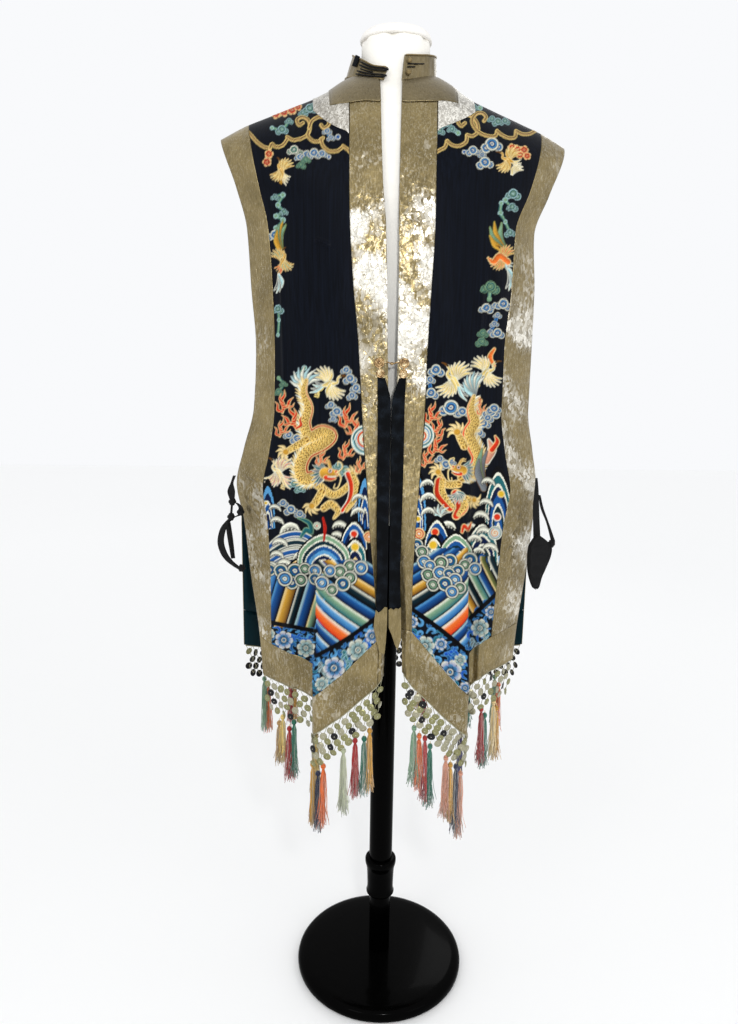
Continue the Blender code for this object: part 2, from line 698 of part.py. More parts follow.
def fringe(name, point, s_values, count, tassels, out_sign, tip=None):
    # tip is (mesh, place across) where a hem comes to a point: a hook of the net sits just there.
    place, lengths = rail_of(point, s_values)
    total = lengths[-1]
    margin = 0.004
    half = 0.0016
    radius = 0.0050
    spread = 13.0
    flat = []
    faces = []

    def add(u, v, aside=0.0):
        flat.append((u, v, aside))
        return len(flat) - 1

    if tip is None:
        hooks = [float(u) for u in np.linspace(margin, total - margin, count + 1)]
    else:
        middle = lengths[s_values.index(tip[1])]
        hooks = [float(np.interp(k, [0, tip[0], count], [margin, middle, total - margin]))
                 for k in range(count + 1)]
    meshes = [(a + b) / 2.0 for a, b in zip(hooks[:-1], hooks[1:])]
    stops = []
    for k, u in enumerate(hooks):
        stops += [(u - half, "l", k), (u, "m", k), (u + half, "r", k)]
    for u in lengths:
        if all(abs(u - hook) > half + 0.0012 for hook in hooks):
            stops.append((u, "n", 0))
    if all(abs(total - stop[0]) > 0.001 for stop in stops):
        stops.append((total, "n", 0))
    stops = sorted(set(stops))
    low = {}
    previous = None
    for u, kind, k in stops:
        top = add(u, STRIP[0])
        bottom = add(u, STRIP[1])
        low[(kind, k)] = bottom
        if previous is not None:
            faces.append((previous[0], top, bottom, previous[1]))
        previous = (top, bottom)

    def disc(u, v):
        ring = []
        for middle in (45.0, 135.0, 225.0, 315.0):
            for turn in (-spread, spread):
                a = math.radians(middle + turn)
                ring.append(add(u, v - radius * math.cos(a), radius * math.sin(a)))
        faces.append(tuple(ring))
        return ring

    row_a = [disc(u, NET_ROWS[0]) for u in meshes]
    for k in range(count):
        faces.append((low[("m", k)], low[("r", k)], row_a[k][7], row_a[k][6]))
        faces.append((low[("l", k + 1)], low[("m", k + 1)], row_a[k][1], row_a[k][0]))
    row_b = {}
    for k in range(1, count):
        ring = disc(hooks[k], NET_ROWS[1])
        row_b[k] = ring
        faces.append((row_a[k - 1][3], row_a[k - 1][2], ring[7], ring[6]))
        faces.append((row_a[k][5], row_a[k][4], ring[1], ring[0]))
    ends = []
    for k, size in tassels:
        ring = disc(meshes[k], NET_ROWS[2])
        faces.append((row_b[k][3], row_b[k][2], ring[7], ring[6]))
        faces.append((row_b[k + 1][5], row_b[k + 1][4], ring[1], ring[0]))
        ends.append((ring[3], ring[4], meshes[k], size))

    def frame(u):
        near = place(max(u - 0.012, 0.0))
        far = place(min(u + 0.012, total))
        along = far - near
        along[2] = 0.0
        along = along / np.linalg.norm(along)
        out = np.cross(along, (0.0, 0.0, 1.0)) * out_sign
        return along, out

    outer = []
    inner = []
    for u, v, aside in flat:
        along, out = frame(u)
        spot = place(u) + along * aside - np.array([0.0, 0.0, v])
        outer.append(spot - out * 0.0001)
        inner.append(spot - out * 0.0013)
    n = len(flat)
    left_open = {(a, b) for a, b, _, _ in ends}
    points, faces = skin(outer, inner, faces, left_open)
    points = [np.array(p) for p in points]
    for a, b, u, size in ends:
        along, out = frame(u)
        base = place(u) - out * 0.0007 - np.array([0.0, 0.0, NET_ROWS[2]])
        loop = [a, b, b + n, a + n]
        span = (points[a] + points[a + n] - points[b] - points[b + n]) / 2.0
        way = span / np.linalg.norm(span)
        across = np.cross(way, (0.0, 0.0, 1.0)) * out_sign

        def ring(drop, size_x, size_y, angles):
            first = len(points)
            for angle in angles:
                w = math.radians(angle)
                points.append(base + way * (size_x * math.cos(w)) + across * (size_y * math.sin(w))
                              - np.array([0.0, 0.0, drop]))
            return list(range(first, len(points)))

        quads = [45.0, 135.0, 225.0, 315.0]
        fives = [18.0, 90.0, 162.0, 234.0, 306.0]
        cord = ring(*TASSEL_CORD, quads)
        for k in range(4):
            j = (k + 1) % 4
            faces.append((loop[j], loop[k], cord[k], cord[j]))
        head = ring(*TASSEL_HEAD, fives)
        i = 0
        j = 0
        while i < 4 or j < 5:
            next_a = quads[i] + 90.0 if i < 4 else 1e9
            next_b = fives[j] + 72.0 if j < 5 else 1e9
            if next_a <= next_b:
                faces.append((cord[(i + 1) % 4], cord[i % 4], head[j % 5]))
                i += 1
            else:
                faces.append((cord[i % 4], head[j % 5], head[(j + 1) % 5]))
                j += 1
        waist = ring(*TASSEL_WAIST, fives)
        foot = ring(*TASSEL_FOOT, fives)
        for upper, lower in ((head, waist), (waist, foot)):
            for k in range(5):
                m = (k + 1) % 5
                faces.append((upper[m], upper[k], lower[k], lower[m]))
        middle = len(points)
        points.append(base - np.array([0.0, 0.0, TASSEL_FOOT[0]]))
        for k in range(5):
            corners = [foot[(k + 1) % 5], foot[k], middle]
            centre = sum(points[c] for c in corners) / 3.0
            inset = []
            for c in corners:
                inset.append(len(points))
                points.append(centre + (points[c] - centre) * STRAND_SHARE)
            for m in range(3):
                q = (m + 1) % 3
                faces.append((corners[m], corners[q], inset[q], inset[m]))
            away = centre - points[middle]
            upper = inset
            reach = size - TASSEL_FOOT[0] - STRAND_STEP * ((k * 2) % 5) / 4.0
            for drop, push, scale in ((reach * 0.5, 0.55, 0.80), (reach, 0.75, 0.62)):
                first = len(points)
                for c in inset:
                    spot = centre + away * push + (points[c] - centre) * scale
                    points.append(spot - np.array([0.0, 0.0, drop]))
                lower = [first, first + 1, first + 2]
                for m in range(3):
                    q = (m + 1) % 3
                    faces.append((upper[m], upper[q], lower[q], lower[m]))
                upper = lower
            faces.append(tuple(upper))
    return solid(name, points, faces)


# Tassels: place along the hem in whole meshes of the net, and length.
TASSELS_RIGHT = [(1, 0.105), (3, 0.118), (5, 0.100), (6, 0.108), (8, 0.112), (10, 0.100), (11, 0.104)]
TASSELS_LEFT = [(1, 0.098), (2, 0.112), (4, 0.104), (5, 0.120), (8, 0.108), (10, 0.100), (11, 0.100)]
TASSELS_BACK = [(1, 0.100), (3, 0.104), (6, 0.100), (9, 0.106), (12, 0.100), (15, 0.104), (17, 0.100)]


def build_fringe():
    across = BAND_S[:-1] + SILK_S + SIDE_S[1:]
    tip = (6, 1.485)
    fringe("fringe_front_right", lambda s: front_point("right", s, 2.0), across, 13, TASSELS_RIGHT, -1.0, tip)
    fringe("fringe_front_left", lambda s: front_point("left", s, 2.0), across, 13, TASSELS_LEFT, 1.0, tip)
    fringe("fringe_back", lambda s: back_point(s, 2.0), [-2.0] + BACK_S + [2.0], 19, TASSELS_BACK, -1.0)


# Dress form sections: height, half width, front reach, back reach.
FORM = [
    (0.9000, 0.1400, 0.092, 0.096),
    (0.9080, 0.1580, 0.107, 0.112),
    (0.9300, 0.1680, 0.116, 0.120),
    (0.9700, 0.1700, 0.120, 0.121),
    (1.0300, 0.1620, 0.118, 0.112),
    (1.1000, 0.1380, 0.108, 0.092),
    (1.1600, 0.1240, 0.104, 0.080),
    (1.2300, 0.1350, 0.118, 0.088),
    (1.3200, 0.1540, 0.132, 0.102),
    (1.4000, 0.1640, 0.132, 0.110),
    (1.4600, 0.1760, 0.124, 0.114),
    (1.5000, 0.1840, 0.112, 0.108),
    (1.5250, 0.1870, 0.102, 0.102),
    (1.5380, 0.1830, 0.096, 0.098),
    (1.5470, 0.1740, 0.091, 0.094),
    (1.5560, 0.1600, 0.086, 0.089),
    (1.5660, 0.1340, 0.079, 0.083),
    (1.5760, 0.1120, 0.071, 0.075),
    (1.5860, 0.0930, 0.060, 0.066),
    (1.5960, 0.0600, 0.0545, 0.0560),
    (1.6080, 0.0562, 0.0532, 0.0535),
    (1.6300, 0.0546, 0.0525, 0.0520),
    (1.6575, 0.0546, 0.0525, 0.0520),
]
FORM_GAP = 0.0007
FORM_SIDES = 24

# Turned pieces: radius and height of each ring, from the bottom up.
NECK_CAP = [
    (0.0540, 1.6578),
    (0.0555, 1.6610),
    (0.0545, 1.6660),
    (0.0500, 1.6710),
    (0.0360, 1.6745),
    (0.0100, 1.6760),
]
NECK_CAP_OVAL = 0.955
POLE = [(0.0220, 0.2270), (0.0220, 0.8995)]
FERRULE = [(0.0240, 0.1480), (0.0268, 0.1520), (0.0250, 0.1620), (0.0262, 0.2000),
           (0.0292, 0.2160), (0.0296, 0.2230), (0.0262, 0.2266)]
POLE_LOWER = [(0.0200, 0.0262), (0.0200, 0.1476)]
BASE = [(0.1560, 0.0), (0.1592, 0.0040), (0.1600, 0.0120), (0.1575, 0.0190),
        (0.1500, 0.0235), (0.0900, 0.0252), (0.0400, 0.0258)]


def build_form():
    points = []
    faces = []
    for name in ("front_right", "front_left", "band_center_right", "band_center_left",
                 "band_side_front_right", "band_side_front_left", "back",
                 "band_side_back_right", "band_side_back_left", "back_lining", "collar"):
        base = len(points)
        points += made[name][0]
        faces += [tuple(k + base for k in face) for face in made[name][1]]
    cloth = BVHTree.FromPolygons([Vector(p) for p in points], faces)
    count = FORM_SIDES
    rings = []
    for z, half, front, back in FORM:
        for k in range(count):
            a = 2.0 * math.pi * (k + 0.5) / count
            reach = front if math.cos(a) > 0.0 else back
            x = half * math.copysign(abs(math.sin(a)) ** 0.9, math.sin(a))
            y = -reach * math.copysign(abs(math.cos(a)) ** 0.9, math.cos(a))
            flat = math.hypot(x, y)
            way = Vector((x / flat, y / flat, 0.0))
            hit = cloth.ray_cast(Vector((0.0, 0.0, z)), way)
            if hit[0] is not None:
                flat = min(flat, hit[3] - FORM_GAP)
            for _ in range(200):
                spot = Vector((0.0, 0.0, z)) + way * flat
                near = cloth.find_nearest(spot)
                if near[3] >= FORM_GAP:
                    break
                flat -= 0.0004
            rings.append(spot)
    shapes = []
    for j in range(len(FORM) - 1):
        for k in range(count):
            a = j * count + k
            b = j * count + (k + 1) % count
            shapes.append((a, b, b + count))
            shapes.append((a, b + count, a + count))
    shapes.append(tuple(reversed(range(count))))
    last = (len(FORM) - 1) * count
    shapes.append(tuple(range(last, last + count)))
    for _ in range(80):
        tight = set()
        for face in shapes[:-2]:
            corners = [rings[k] for k in face]
            spots = [sum(corners, Vector()) / 3.0]
            spots += [(corners[k] + corners[k - 1]) / 2.0 for k in range(3)]
            for spot in spots:
                axis = Vector((0.0, 0.0, spot.z))
                way = spot - axis
                hit = cloth.ray_cast(axis, way.normalized(), way.length + FORM_GAP)
                if hit[0] is not None or cloth.find_nearest(spot, FORM_GAP)[0] is not None:
                    tight.update(face)
                    break
        if not tight:
            break
        for k in tight:
            flat = math.hypot(rings[k].x, rings[k].y)
            share = (flat - 0.0005) / flat
            rings[k] = Vector((rings[k].x * share, rings[k].y * share, rings[k].z))
    solid("form_torso", rings, shapes)
    lathe("neck_cap", NECK_CAP, 20, oval=NECK_CAP_OVAL)
    lathe("pole", POLE, 20)
    lathe("ferrule", FERRULE, 20)
    lathe("pole_lower", POLE_LOWER, 20)
    lathe("base", BASE, 32)


def main():
    for obj in list(bpy.data.objects):
        bpy.data.objects.remove(obj)
    build_fronts()
    build_back()
    build_yoke()
    build_collar()
    build_clasp()
    build_streamers()
    build_ties()
    build_fringe()
    build_form()


main()
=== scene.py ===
# Looks for the ceremonial vest on its dress form.
# Metres, Z up, front towards -Y. "right" is the wearer's right, on -X; "left" is on +X.
import math

import bpy
import numpy as np
from mathutils import Matrix, Vector


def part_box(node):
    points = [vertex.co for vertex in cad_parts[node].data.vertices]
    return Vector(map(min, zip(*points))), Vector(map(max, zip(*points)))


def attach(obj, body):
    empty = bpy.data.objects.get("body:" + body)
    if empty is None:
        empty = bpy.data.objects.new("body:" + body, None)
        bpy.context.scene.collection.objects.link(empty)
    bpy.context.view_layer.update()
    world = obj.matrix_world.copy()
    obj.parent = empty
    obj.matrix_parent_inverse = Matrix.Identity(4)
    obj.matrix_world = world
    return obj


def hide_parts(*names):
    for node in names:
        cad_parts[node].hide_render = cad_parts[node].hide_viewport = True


bl_info = {
    "name": "Ceremonial Vest",
    "version": (1, 0, 0),
    "blender": (4, 5, 0),
    "location": "View3D > Sidebar > Vest",
    "description": "Builds an embroidered vest with metal cloth bands and a net fringe on a dress form",
    "category": "Object",
}

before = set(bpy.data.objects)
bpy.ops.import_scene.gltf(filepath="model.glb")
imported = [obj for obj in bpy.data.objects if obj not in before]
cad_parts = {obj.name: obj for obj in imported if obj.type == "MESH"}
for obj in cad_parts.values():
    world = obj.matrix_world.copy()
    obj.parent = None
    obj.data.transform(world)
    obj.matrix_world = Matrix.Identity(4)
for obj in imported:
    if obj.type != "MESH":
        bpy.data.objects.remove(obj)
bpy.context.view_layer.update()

# The long edges of a front panel at each height, as distances out from the middle.
LINES = [
    # z, right: centre edge, centre seam, side seam, outer edge, left: the same four
    (0.55, 0.0140, 0.0240, 0.2000, 0.2140, 0.0220, 0.0360, 0.1780, 0.2230),
    (0.70, 0.0105, 0.0220, 0.2010, 0.2240, 0.0180, 0.0330, 0.1780, 0.2320),
    (0.80, 0.0100, 0.0270, 0.2000, 0.2370, 0.0140, 0.0320, 0.1820, 0.2430),
    (0.90, 0.0095, 0.0365, 0.2040, 0.2480, 0.0085, 0.0355, 0.1890, 0.2520),
    (0.96, 0.0095, 0.0410, 0.2110, 0.2590, 0.0055, 0.0395, 0.1990, 0.2540),
    (1.02, 0.0095, 0.0460, 0.2000, 0.2460, 0.0040, 0.0435, 0.1870, 0.2450),
    (1.09, 0.0100, 0.0515, 0.1910, 0.2280, 0.0025, 0.0475, 0.1770, 0.2340),
    (1.19, 0.0130, 0.0575, 0.1900, 0.2230, 0.0020, 0.0485, 0.1770, 0.2340),
    (1.28, 0.0160, 0.0665, 0.1920, 0.2290, 0.0010, 0.0510, 0.1850, 0.2330),
    (1.37, 0.0195, 0.0725, 0.1980, 0.2340, -0.0005, 0.0540, 0.1880, 0.2270),
    (1.43, 0.0245, 0.0740, 0.2115, 0.2490, 0.0000, 0.0540, 0.2085, 0.2470),
    (1.51, 0.0270, 0.0740, 0.2270, 0.2765, 0.0020, 0.0560, 0.2280, 0.2745),
    (1.60, 0.0275, 0.0755, 0.2420, 0.2920, 0.0065, 0.0605, 0.2420, 0.2825),
]

# How far cloth stands from the middle plane.
DEPTHS = [
    # z, front middle, front outer edge, back middle, back outer edge
    (0.50, 0.156, 0.042, 0.138, 0.034),
    (0.80, 0.149, 0.036, 0.134, 0.030),
    (0.95, 0.142, 0.032, 0.128, 0.028),
    (1.05, 0.136, 0.032, 0.112, 0.028),
    (1.15, 0.136, 0.032, 0.098, 0.028),
    (1.25, 0.142, 0.034, 0.106, 0.030),
    (1.34, 0.146, 0.036, 0.116, 0.032),
    (1.43, 0.142, 0.040, 0.118, 0.035),
    (1.62, 0.142, 0.040, 0.118, 0.035),
]

# Height of the shoulder line over each distance from the middle.
SHOULDER = [
    # distance, z
    (0.000, 1.618), (0.060, 1.607), (0.080, 1.598), (0.112, 1.578), (0.150, 1.562),
    (0.200, 1.543), (0.235, 1.530), (0.275, 1.511), (0.310, 1.494),
]

# Hem heights along a front: the seam over the hem band and the band's own lower edge.
HEMS = [
    # s, right seam, right edge, left seam, left edge
    (0.00, 0.738, 0.664, 0.745, 0.670),
    (1.00, 0.728, 0.650, 0.742, 0.651),
    (1.50, 0.627, 0.561, 0.629, 0.558),
    (1.60, 0.660, 0.600, 0.668, 0.604),
    (1.78, 0.674, 0.613, 0.695, 0.630),
    (2.00, 0.682, 0.617, 0.706, 0.643),
    (3.00, 0.690, 0.620, 0.715, 0.647),
]

# The deep pleat under the point of each front, at full depth.
PLEAT = [
    # s, out from the point, forward of the body line
    (1.44, -0.014, 0.028),
    (1.485, -0.003, 0.031),
    (1.515, 0.001, 0.026),
    (1.575, -0.003, -0.008),
    (1.61, -0.002, -0.020),
    (1.65, 0.007, -0.025),
]
POINT = {"right": 0.1265, "left": 0.1300}
PLEAT_TOP = 1.08
PLEAT_LOW = 0.62

# How far below the shoulder line the cloth stands full: over the middle, and how much less at the edge.
ROLLS = {"front": (0.27, 0.20), "back": (0.16, 0.10)}
FLATNESS = 2.4

# The heights of the neck edge are found by trying, from a guess on.
NECK_GUESS = 1.59
NECK_TRIES = 6

# Forward push at the centre seam and the side seam where the pleat is full, and how a fold starts.
CENTRE_PUSH = 0.012
SIDE_PUSH = -0.006
FOLD_FADE = 0.35

# The back: how far it stays within the fronts, its half width below the hip, its side band,
# and (height in the middle, rise to the edge) of its hem seam and lower edge.
BACK_INSET = 0.0015
BACK_WIDE = {"right": 0.2615, "left": 0.2640}
BACK_BAND = 0.042
BACK_SEAM = (0.685, 0.030)
BACK_HEM = (0.619, 0.028)

# Steps to both sides of a place, by which its outward direction is found.
NEAR_S = 0.004
NEAR_T = 0.002

# Soft folds: place across the piece, half width, forward push, height where it starts.
FRONT_FOLDS = [(1.26, 0.13, 0.004, 1.00), (1.82, 0.10, 0.006, 1.02), (0.45, 0.35, 0.003, 0.95)]
BACK_FOLDS = [
    (-0.78, 0.15, 0.012, 1.05),
    (-0.42, 0.15, 0.014, 1.10),
    (-0.06, 0.15, 0.013, 1.06),
    (0.30, 0.15, 0.014, 1.10),
    (0.68, 0.15, 0.012, 1.04),
]

# Neck opening of the cloth: middle, half width, front reach, back reach.
NECK_X = -0.007
NECK_W = 0.0742
NECK_FRONT = 0.0692
NECK_BACK = 0.0630

# The least distance of cloth from the middle plane, and the gap between cloths laid together.
SEAM = 0.00015
LAID = 0.0004

# The eye that looks at the vest: picture size, focal length in picture units, place and tilts.
PICTURE = (738.0, 1024.0)
FOCAL = 769.0
EYE_AWAY = 1.333
EYE_ASIDE = -0.032
EYE_HIGH = 1.172
EYE_DOWN = math.radians(11.3)
EYE_TURN = math.radians(2.5)
EYE_ROLL = 0.01425


def eye():
    """Where the eye is, with its right, its up and the way it looks."""
    right = Vector((math.cos(EYE_TURN), -math.sin(EYE_TURN), 0.0))
    ahead = Vector((math.sin(EYE_TURN), math.cos(EYE_TURN), 0.0))
    place = ahead * -EYE_AWAY + right * EYE_ASIDE + Vector((0.0, 0.0, EYE_HIGH))
    look = ahead * math.cos(EYE_DOWN) - Vector((0.0, 0.0, math.sin(EYE_DOWN)))
    up = ahead * math.sin(EYE_DOWN) + Vector((0.0, 0.0, math.cos(EYE_DOWN)))
    turned_right = right * math.cos(EYE_ROLL) + up * math.sin(EYE_ROLL)
    turned_up = up * math.cos(EYE_ROLL) - right * math.sin(EYE_ROLL)
    return place, turned_right, turned_up, look


def in_picture(points):
    """Where points of the cloth stand in the picture, in its units from the top left."""
    place, right, up, look = [np.array(v) for v in eye()]
    away = points - place
    reach = away @ look
    across = PICTURE[0] / 2.0 + FOCAL * (away @ right) / reach
    down = PICTURE[1] / 2.0 - FOCAL * (away @ up) / reach
    return across, down


def smooth(value):
    """A soft step from 0 to 1."""
    value = np.clip(value, 0.0, 1.0)
    return value * value * (3.0 - 2.0 * value)


def curve(value, places, sizes):
    """A smooth line through a table, with no swing past its rows."""
    places = np.array(places, dtype=float)
    sizes = np.array(sizes, dtype=float)
    value = np.clip(value, places[0], places[-1])
    gaps = np.diff(places)
    rates = np.diff(sizes) / gaps
    slopes = np.zeros(len(places))
    slopes[0] = rates[0]
    slopes[-1] = rates[-1]
    for k in range(1, len(places) - 1):
        if rates[k - 1] * rates[k] > 0.0:
            slopes[k] = 2.0 / (1.0 / rates[k - 1] + 1.0 / rates[k])
    k = np.clip(np.searchsorted(places, value, side="right") - 1, 0, len(gaps) - 1)
    u = (value - places[k]) / gaps[k]
    first = sizes[k] * (1.0 + 2.0 * u) * (1.0 - u) ** 2 + slopes[k] * gaps[k] * u * (1.0 - u) ** 2
    second = sizes[k + 1] * u * u * (3.0 - 2.0 * u) + slopes[k + 1] * gaps[k] * u * u * (u - 1.0)
    return first + second


def column(table, index, value, bend=True):
    """One column of a table at any value of its first one, bent or straight between rows."""
    places = [row[0] for row in table]
    sizes = [row[index] for row in table]
    return curve(value, places, sizes) if bend else np.interp(value, places, sizes)


def shoulder(distance):
    """Height of the shoulder line."""
    return column(SHOULDER, 1, np.abs(distance))


def full_depth(face, x, z, outer):
    """How far the cloth stands from the middle plane, and how far below the shoulder line it gets there."""
    first = 1 if face == "front" else 3
    middle = column(DEPTHS, first, z)
    edge = column(DEPTHS, first + 1, z)
    u = np.minimum(np.abs(x) / outer, 1.0)
    high, less = ROLLS[face]
    return edge + (middle - edge) * (1.0 - u ** FLATNESS), high - less * u


def depth(face, x, z, outer):
    """How far the cloth stands from the middle plane, rolled in to the shoulder line."""
    full, roll = full_depth(face, x, z, outer)
    q = np.clip((shoulder(x) - z) / roll, 0.0, 1.0)
    return full * np.sqrt(1.0 - (1.0 - q) ** 2)


def neck_drop(face, x, outer):
    """How far the neck opening lies below the shoulder line."""
    reach = NECK_FRONT if face == "front" else NECK_BACK
    off = np.clip((x - NECK_X) / NECK_W, -1.0, 1.0)
    full, roll = full_depth(face, x, shoulder(x), outer)
    share = np.minimum(reach * np.sqrt(1.0 - off * off) / full, 1.0)
    return roll * (1.0 - np.sqrt(1.0 - share * share))


def front_lines(side, z):
    """The four long edges of a front at a height."""
    first = 1 if side == "right" else 5
    return [column(LINES, first + k, z) for k in range(4)]


def front_across(side, s, z):
    """Distance from the middle of a front's place s, at a height, with its pleat."""
    edges = front_lines(side, z)
    flat = edges[2] + (edges[3] - edges[2]) * (s - 2.0)
    flat = np.where(s < 2.0, edges[1] + (edges[2] - edges[1]) * (s - 1.0), flat)
    flat = np.where(s < 1.0, edges[0] + (edges[1] - edges[0]) * s, flat)
    places = [row[0] for row in PLEAT]
    outs = [POINT[side] + row[1] for row in PLEAT]
    pleated = curve(s, places, outs)
    before = edges[1] + (outs[0] - edges[1]) * (s - 1.0) / (places[0] - 1.0)
    after = outs[-1] + (edges[2] - outs[-1]) * (s - places[-1]) / (2.0 - places[-1])
    pleated = np.where(s < places[0], before, np.where(s > places[-1], after, pleated))
    return flat + np.where((s > 1.0) & (s < 2.0), (pleated - flat) * pleat_share(z), 0.0)


def pleat_share(z):
    """How deep the pleat is at a height, from 0 to 1."""
    return smooth((PLEAT_TOP - z) / (PLEAT_TOP - PLEAT_LOW))


def folds(table, s, z):
    """Forward push of the soft folds in a table."""
    push = np.zeros(np.broadcast(s, z).shape)
    for place, half, forward, start in table:
        near = np.clip((s - place) / half, -1.0, 1.0)
        push += forward * smooth((start - z) / FOLD_FADE) * np.cos(near * math.pi / 2.0) ** 2
    return push


def front_point(side, s, t):
    """The middle of a front's cloth: s is 0 at the centre edge, 1 and 2 at the seams and 3 at the outer edge;
    t is 0 at the neck, 1 at the hem seam and 2 at the lower edge."""
    sign = -1.0 if side == "right" else 1.0
    z = np.full(s.shape, NECK_GUESS)
    for _ in range(NECK_TRIES):
        x = front_across(side, s, z)
        z = shoulder(x) - neck_drop("front", sign * x, front_lines(side, z)[3])
    first = 1 if side == "right" else 3
    seam = column(HEMS, first, s, False)
    edge = column(HEMS, first + 1, s, False)
    z = np.where(t <= 1.0, z + (seam - z) * t, seam + (edge - seam) * (t - 1.0))
    x = front_across(side, s, z)
    y = depth("front", x, z, front_lines(side, z)[3])
    places = [0.0, 1.0] + [row[0] for row in PLEAT] + [2.0, 3.0]
    pushes = [0.0, CENTRE_PUSH] + [row[2] for row in PLEAT] + [SIDE_PUSH, 0.0]
    y = y + pleat_share(z) * curve(s, places, pushes) + folds(FRONT_FOLDS, s, z)
    return np.stack([sign * x, -np.maximum(y, SEAM), z], axis=-1)


def back_edge(side, z):
    """Distance from the middle to the back's outer edge: it widens below the hip."""
    outer = front_lines(side, z)[3]
    return outer - BACK_INSET + (BACK_WIDE[side] - outer) * smooth((1.0 - z) / 0.12)


def back_point(s, t):
    """The middle of the back's cloth: s runs from -2 to 2 with the seams at -1 and 1, t as for a front."""
    sign = np.where(s < 0.0, -1.0, 1.0)
    size = np.abs(s)

    def outer_at(z):
        return np.where(s < 0.0, back_edge("right", z), back_edge("left", z))

    def across(z):
        outer = outer_at(z)
        seam = outer - BACK_BAND
        return np.where(size <= 1.0, seam * size, seam + (outer - seam) * (size - 1.0))
    z = np.full(s.shape, NECK_GUESS)
    for _ in range(NECK_TRIES):
        x = across(z)
        z = shoulder(x) - neck_drop("back", sign * x, outer_at(z))
    rise = (size / 2.0) ** 1.5
    seam_z = BACK_SEAM[0] + BACK_SEAM[1] * rise
    edge_z = BACK_HEM[0] + BACK_HEM[1] * rise
    z = np.where(t <= 1.0, z + (seam_z - z) * t, seam_z + (edge_z - seam_z) * (t - 1.0))
    x = across(z)
    y = depth("back", x, z, outer_at(z)) + folds(BACK_FOLDS, s, z)
    return np.stack([sign * x, np.maximum(y, SEAM), z], axis=-1)


def with_normals(point, s, t, turn, s_range):
    """Places on a surface with their outward directions, which lie level where front and back meet."""
    centre = point(s, t)
    low_s = np.clip(s - NEAR_S, *s_range)
    high_s = np.clip(s + NEAR_S, *s_range)
    low_t = np.clip(t - NEAR_T, 0.0, 2.0)
    high_t = np.clip(t + NEAR_T, 0.0, 2.0)
    a = point(high_s, t) - point(low_s, t)
    b = point(s, high_t) - point(s, low_t)
    n = np.cross(a, b) * turn
    n[..., 1] = np.where(np.abs(centre[..., 1]) <= SEAM + 1e-6, 0.0, n[..., 1])
    n /= np.maximum(np.linalg.norm(n, axis=-1), 1e-12)[..., None]
    return centre, n


def quads(grid, flipped=False):
    """Four-cornered faces over a grid of point numbers."""
    corners = [grid[:-1, :-1], grid[:-1, 1:], grid[1:, 1:], grid[1:, :-1]]
    if flipped:
        corners = [corners[k] for k in (0, 3, 2, 1)]
    return np.stack([c.ravel() for c in corners], axis=1).tolist()


def cut_size(outer):
    """Greatest width and length of a grid of points, measured along it, and its area."""
    a = outer[:-1, 1:] - outer[:-1, :-1]
    b = outer[1:, :-1] - outer[:-1, :-1]
    area = float(np.linalg.norm(np.cross(a, b), axis=2).sum())
    width = float(np.linalg.norm(np.diff(outer, axis=1), axis=2).sum(axis=1).max())
    length = float(np.linalg.norm(np.diff(outer, axis=0), axis=2).sum(axis=0).max())
    return (width, length), min(area, width * length)


def front_surface(side):
    """The outer direction and place of a front's cloth, by s and t."""
    turn = 1.0 if side == "right" else -1.0

    def surface(s, t):
        return with_normals(lambda u, v: front_point(side, u, v), s, t, turn, (0.0, 3.0))
    return surface


def back_surface(s, t):
    """The same for the back."""
    return with_normals(back_point, s, t, 1.0, (-2.0, 2.0))


def spaced(*runs):
    """Places in even runs: each run is (first, last, how many steps)."""
    places = [np.linspace(low, high, steps + 1)[1:] for low, high, steps in runs]
    return np.concatenate([[runs[0][0]]] + places)


def mesh_piece(name, points, faces, materials, slots=None, smooth_faces=True):
    """A new piece from points and faces."""
    mesh = bpy.data.meshes.new(name)
    mesh.from_pydata(points.tolist() if hasattr(points, "tolist") else points, [], faces)
    for material in materials:
        mesh.materials.append(material)
    if slots is not None:
        mesh.polygons.foreach_set("material_index", slots)
    mesh.polygons.foreach_set("use_smooth", [smooth_faces] * len(mesh.polygons))
    mesh.update()
    piece = bpy.data.objects.new(name, mesh)
    bpy.context.scene.collection.objects.link(piece)
    return piece


def tint(piece, name, colours):
    """Stores one colour and share for each point of a piece."""
    layer = piece.data.color_attributes.new(name, "FLOAT_COLOR", "POINT")
    layer.data.foreach_set("color", np.asarray(colours, dtype=np.float32).ravel())
    return layer


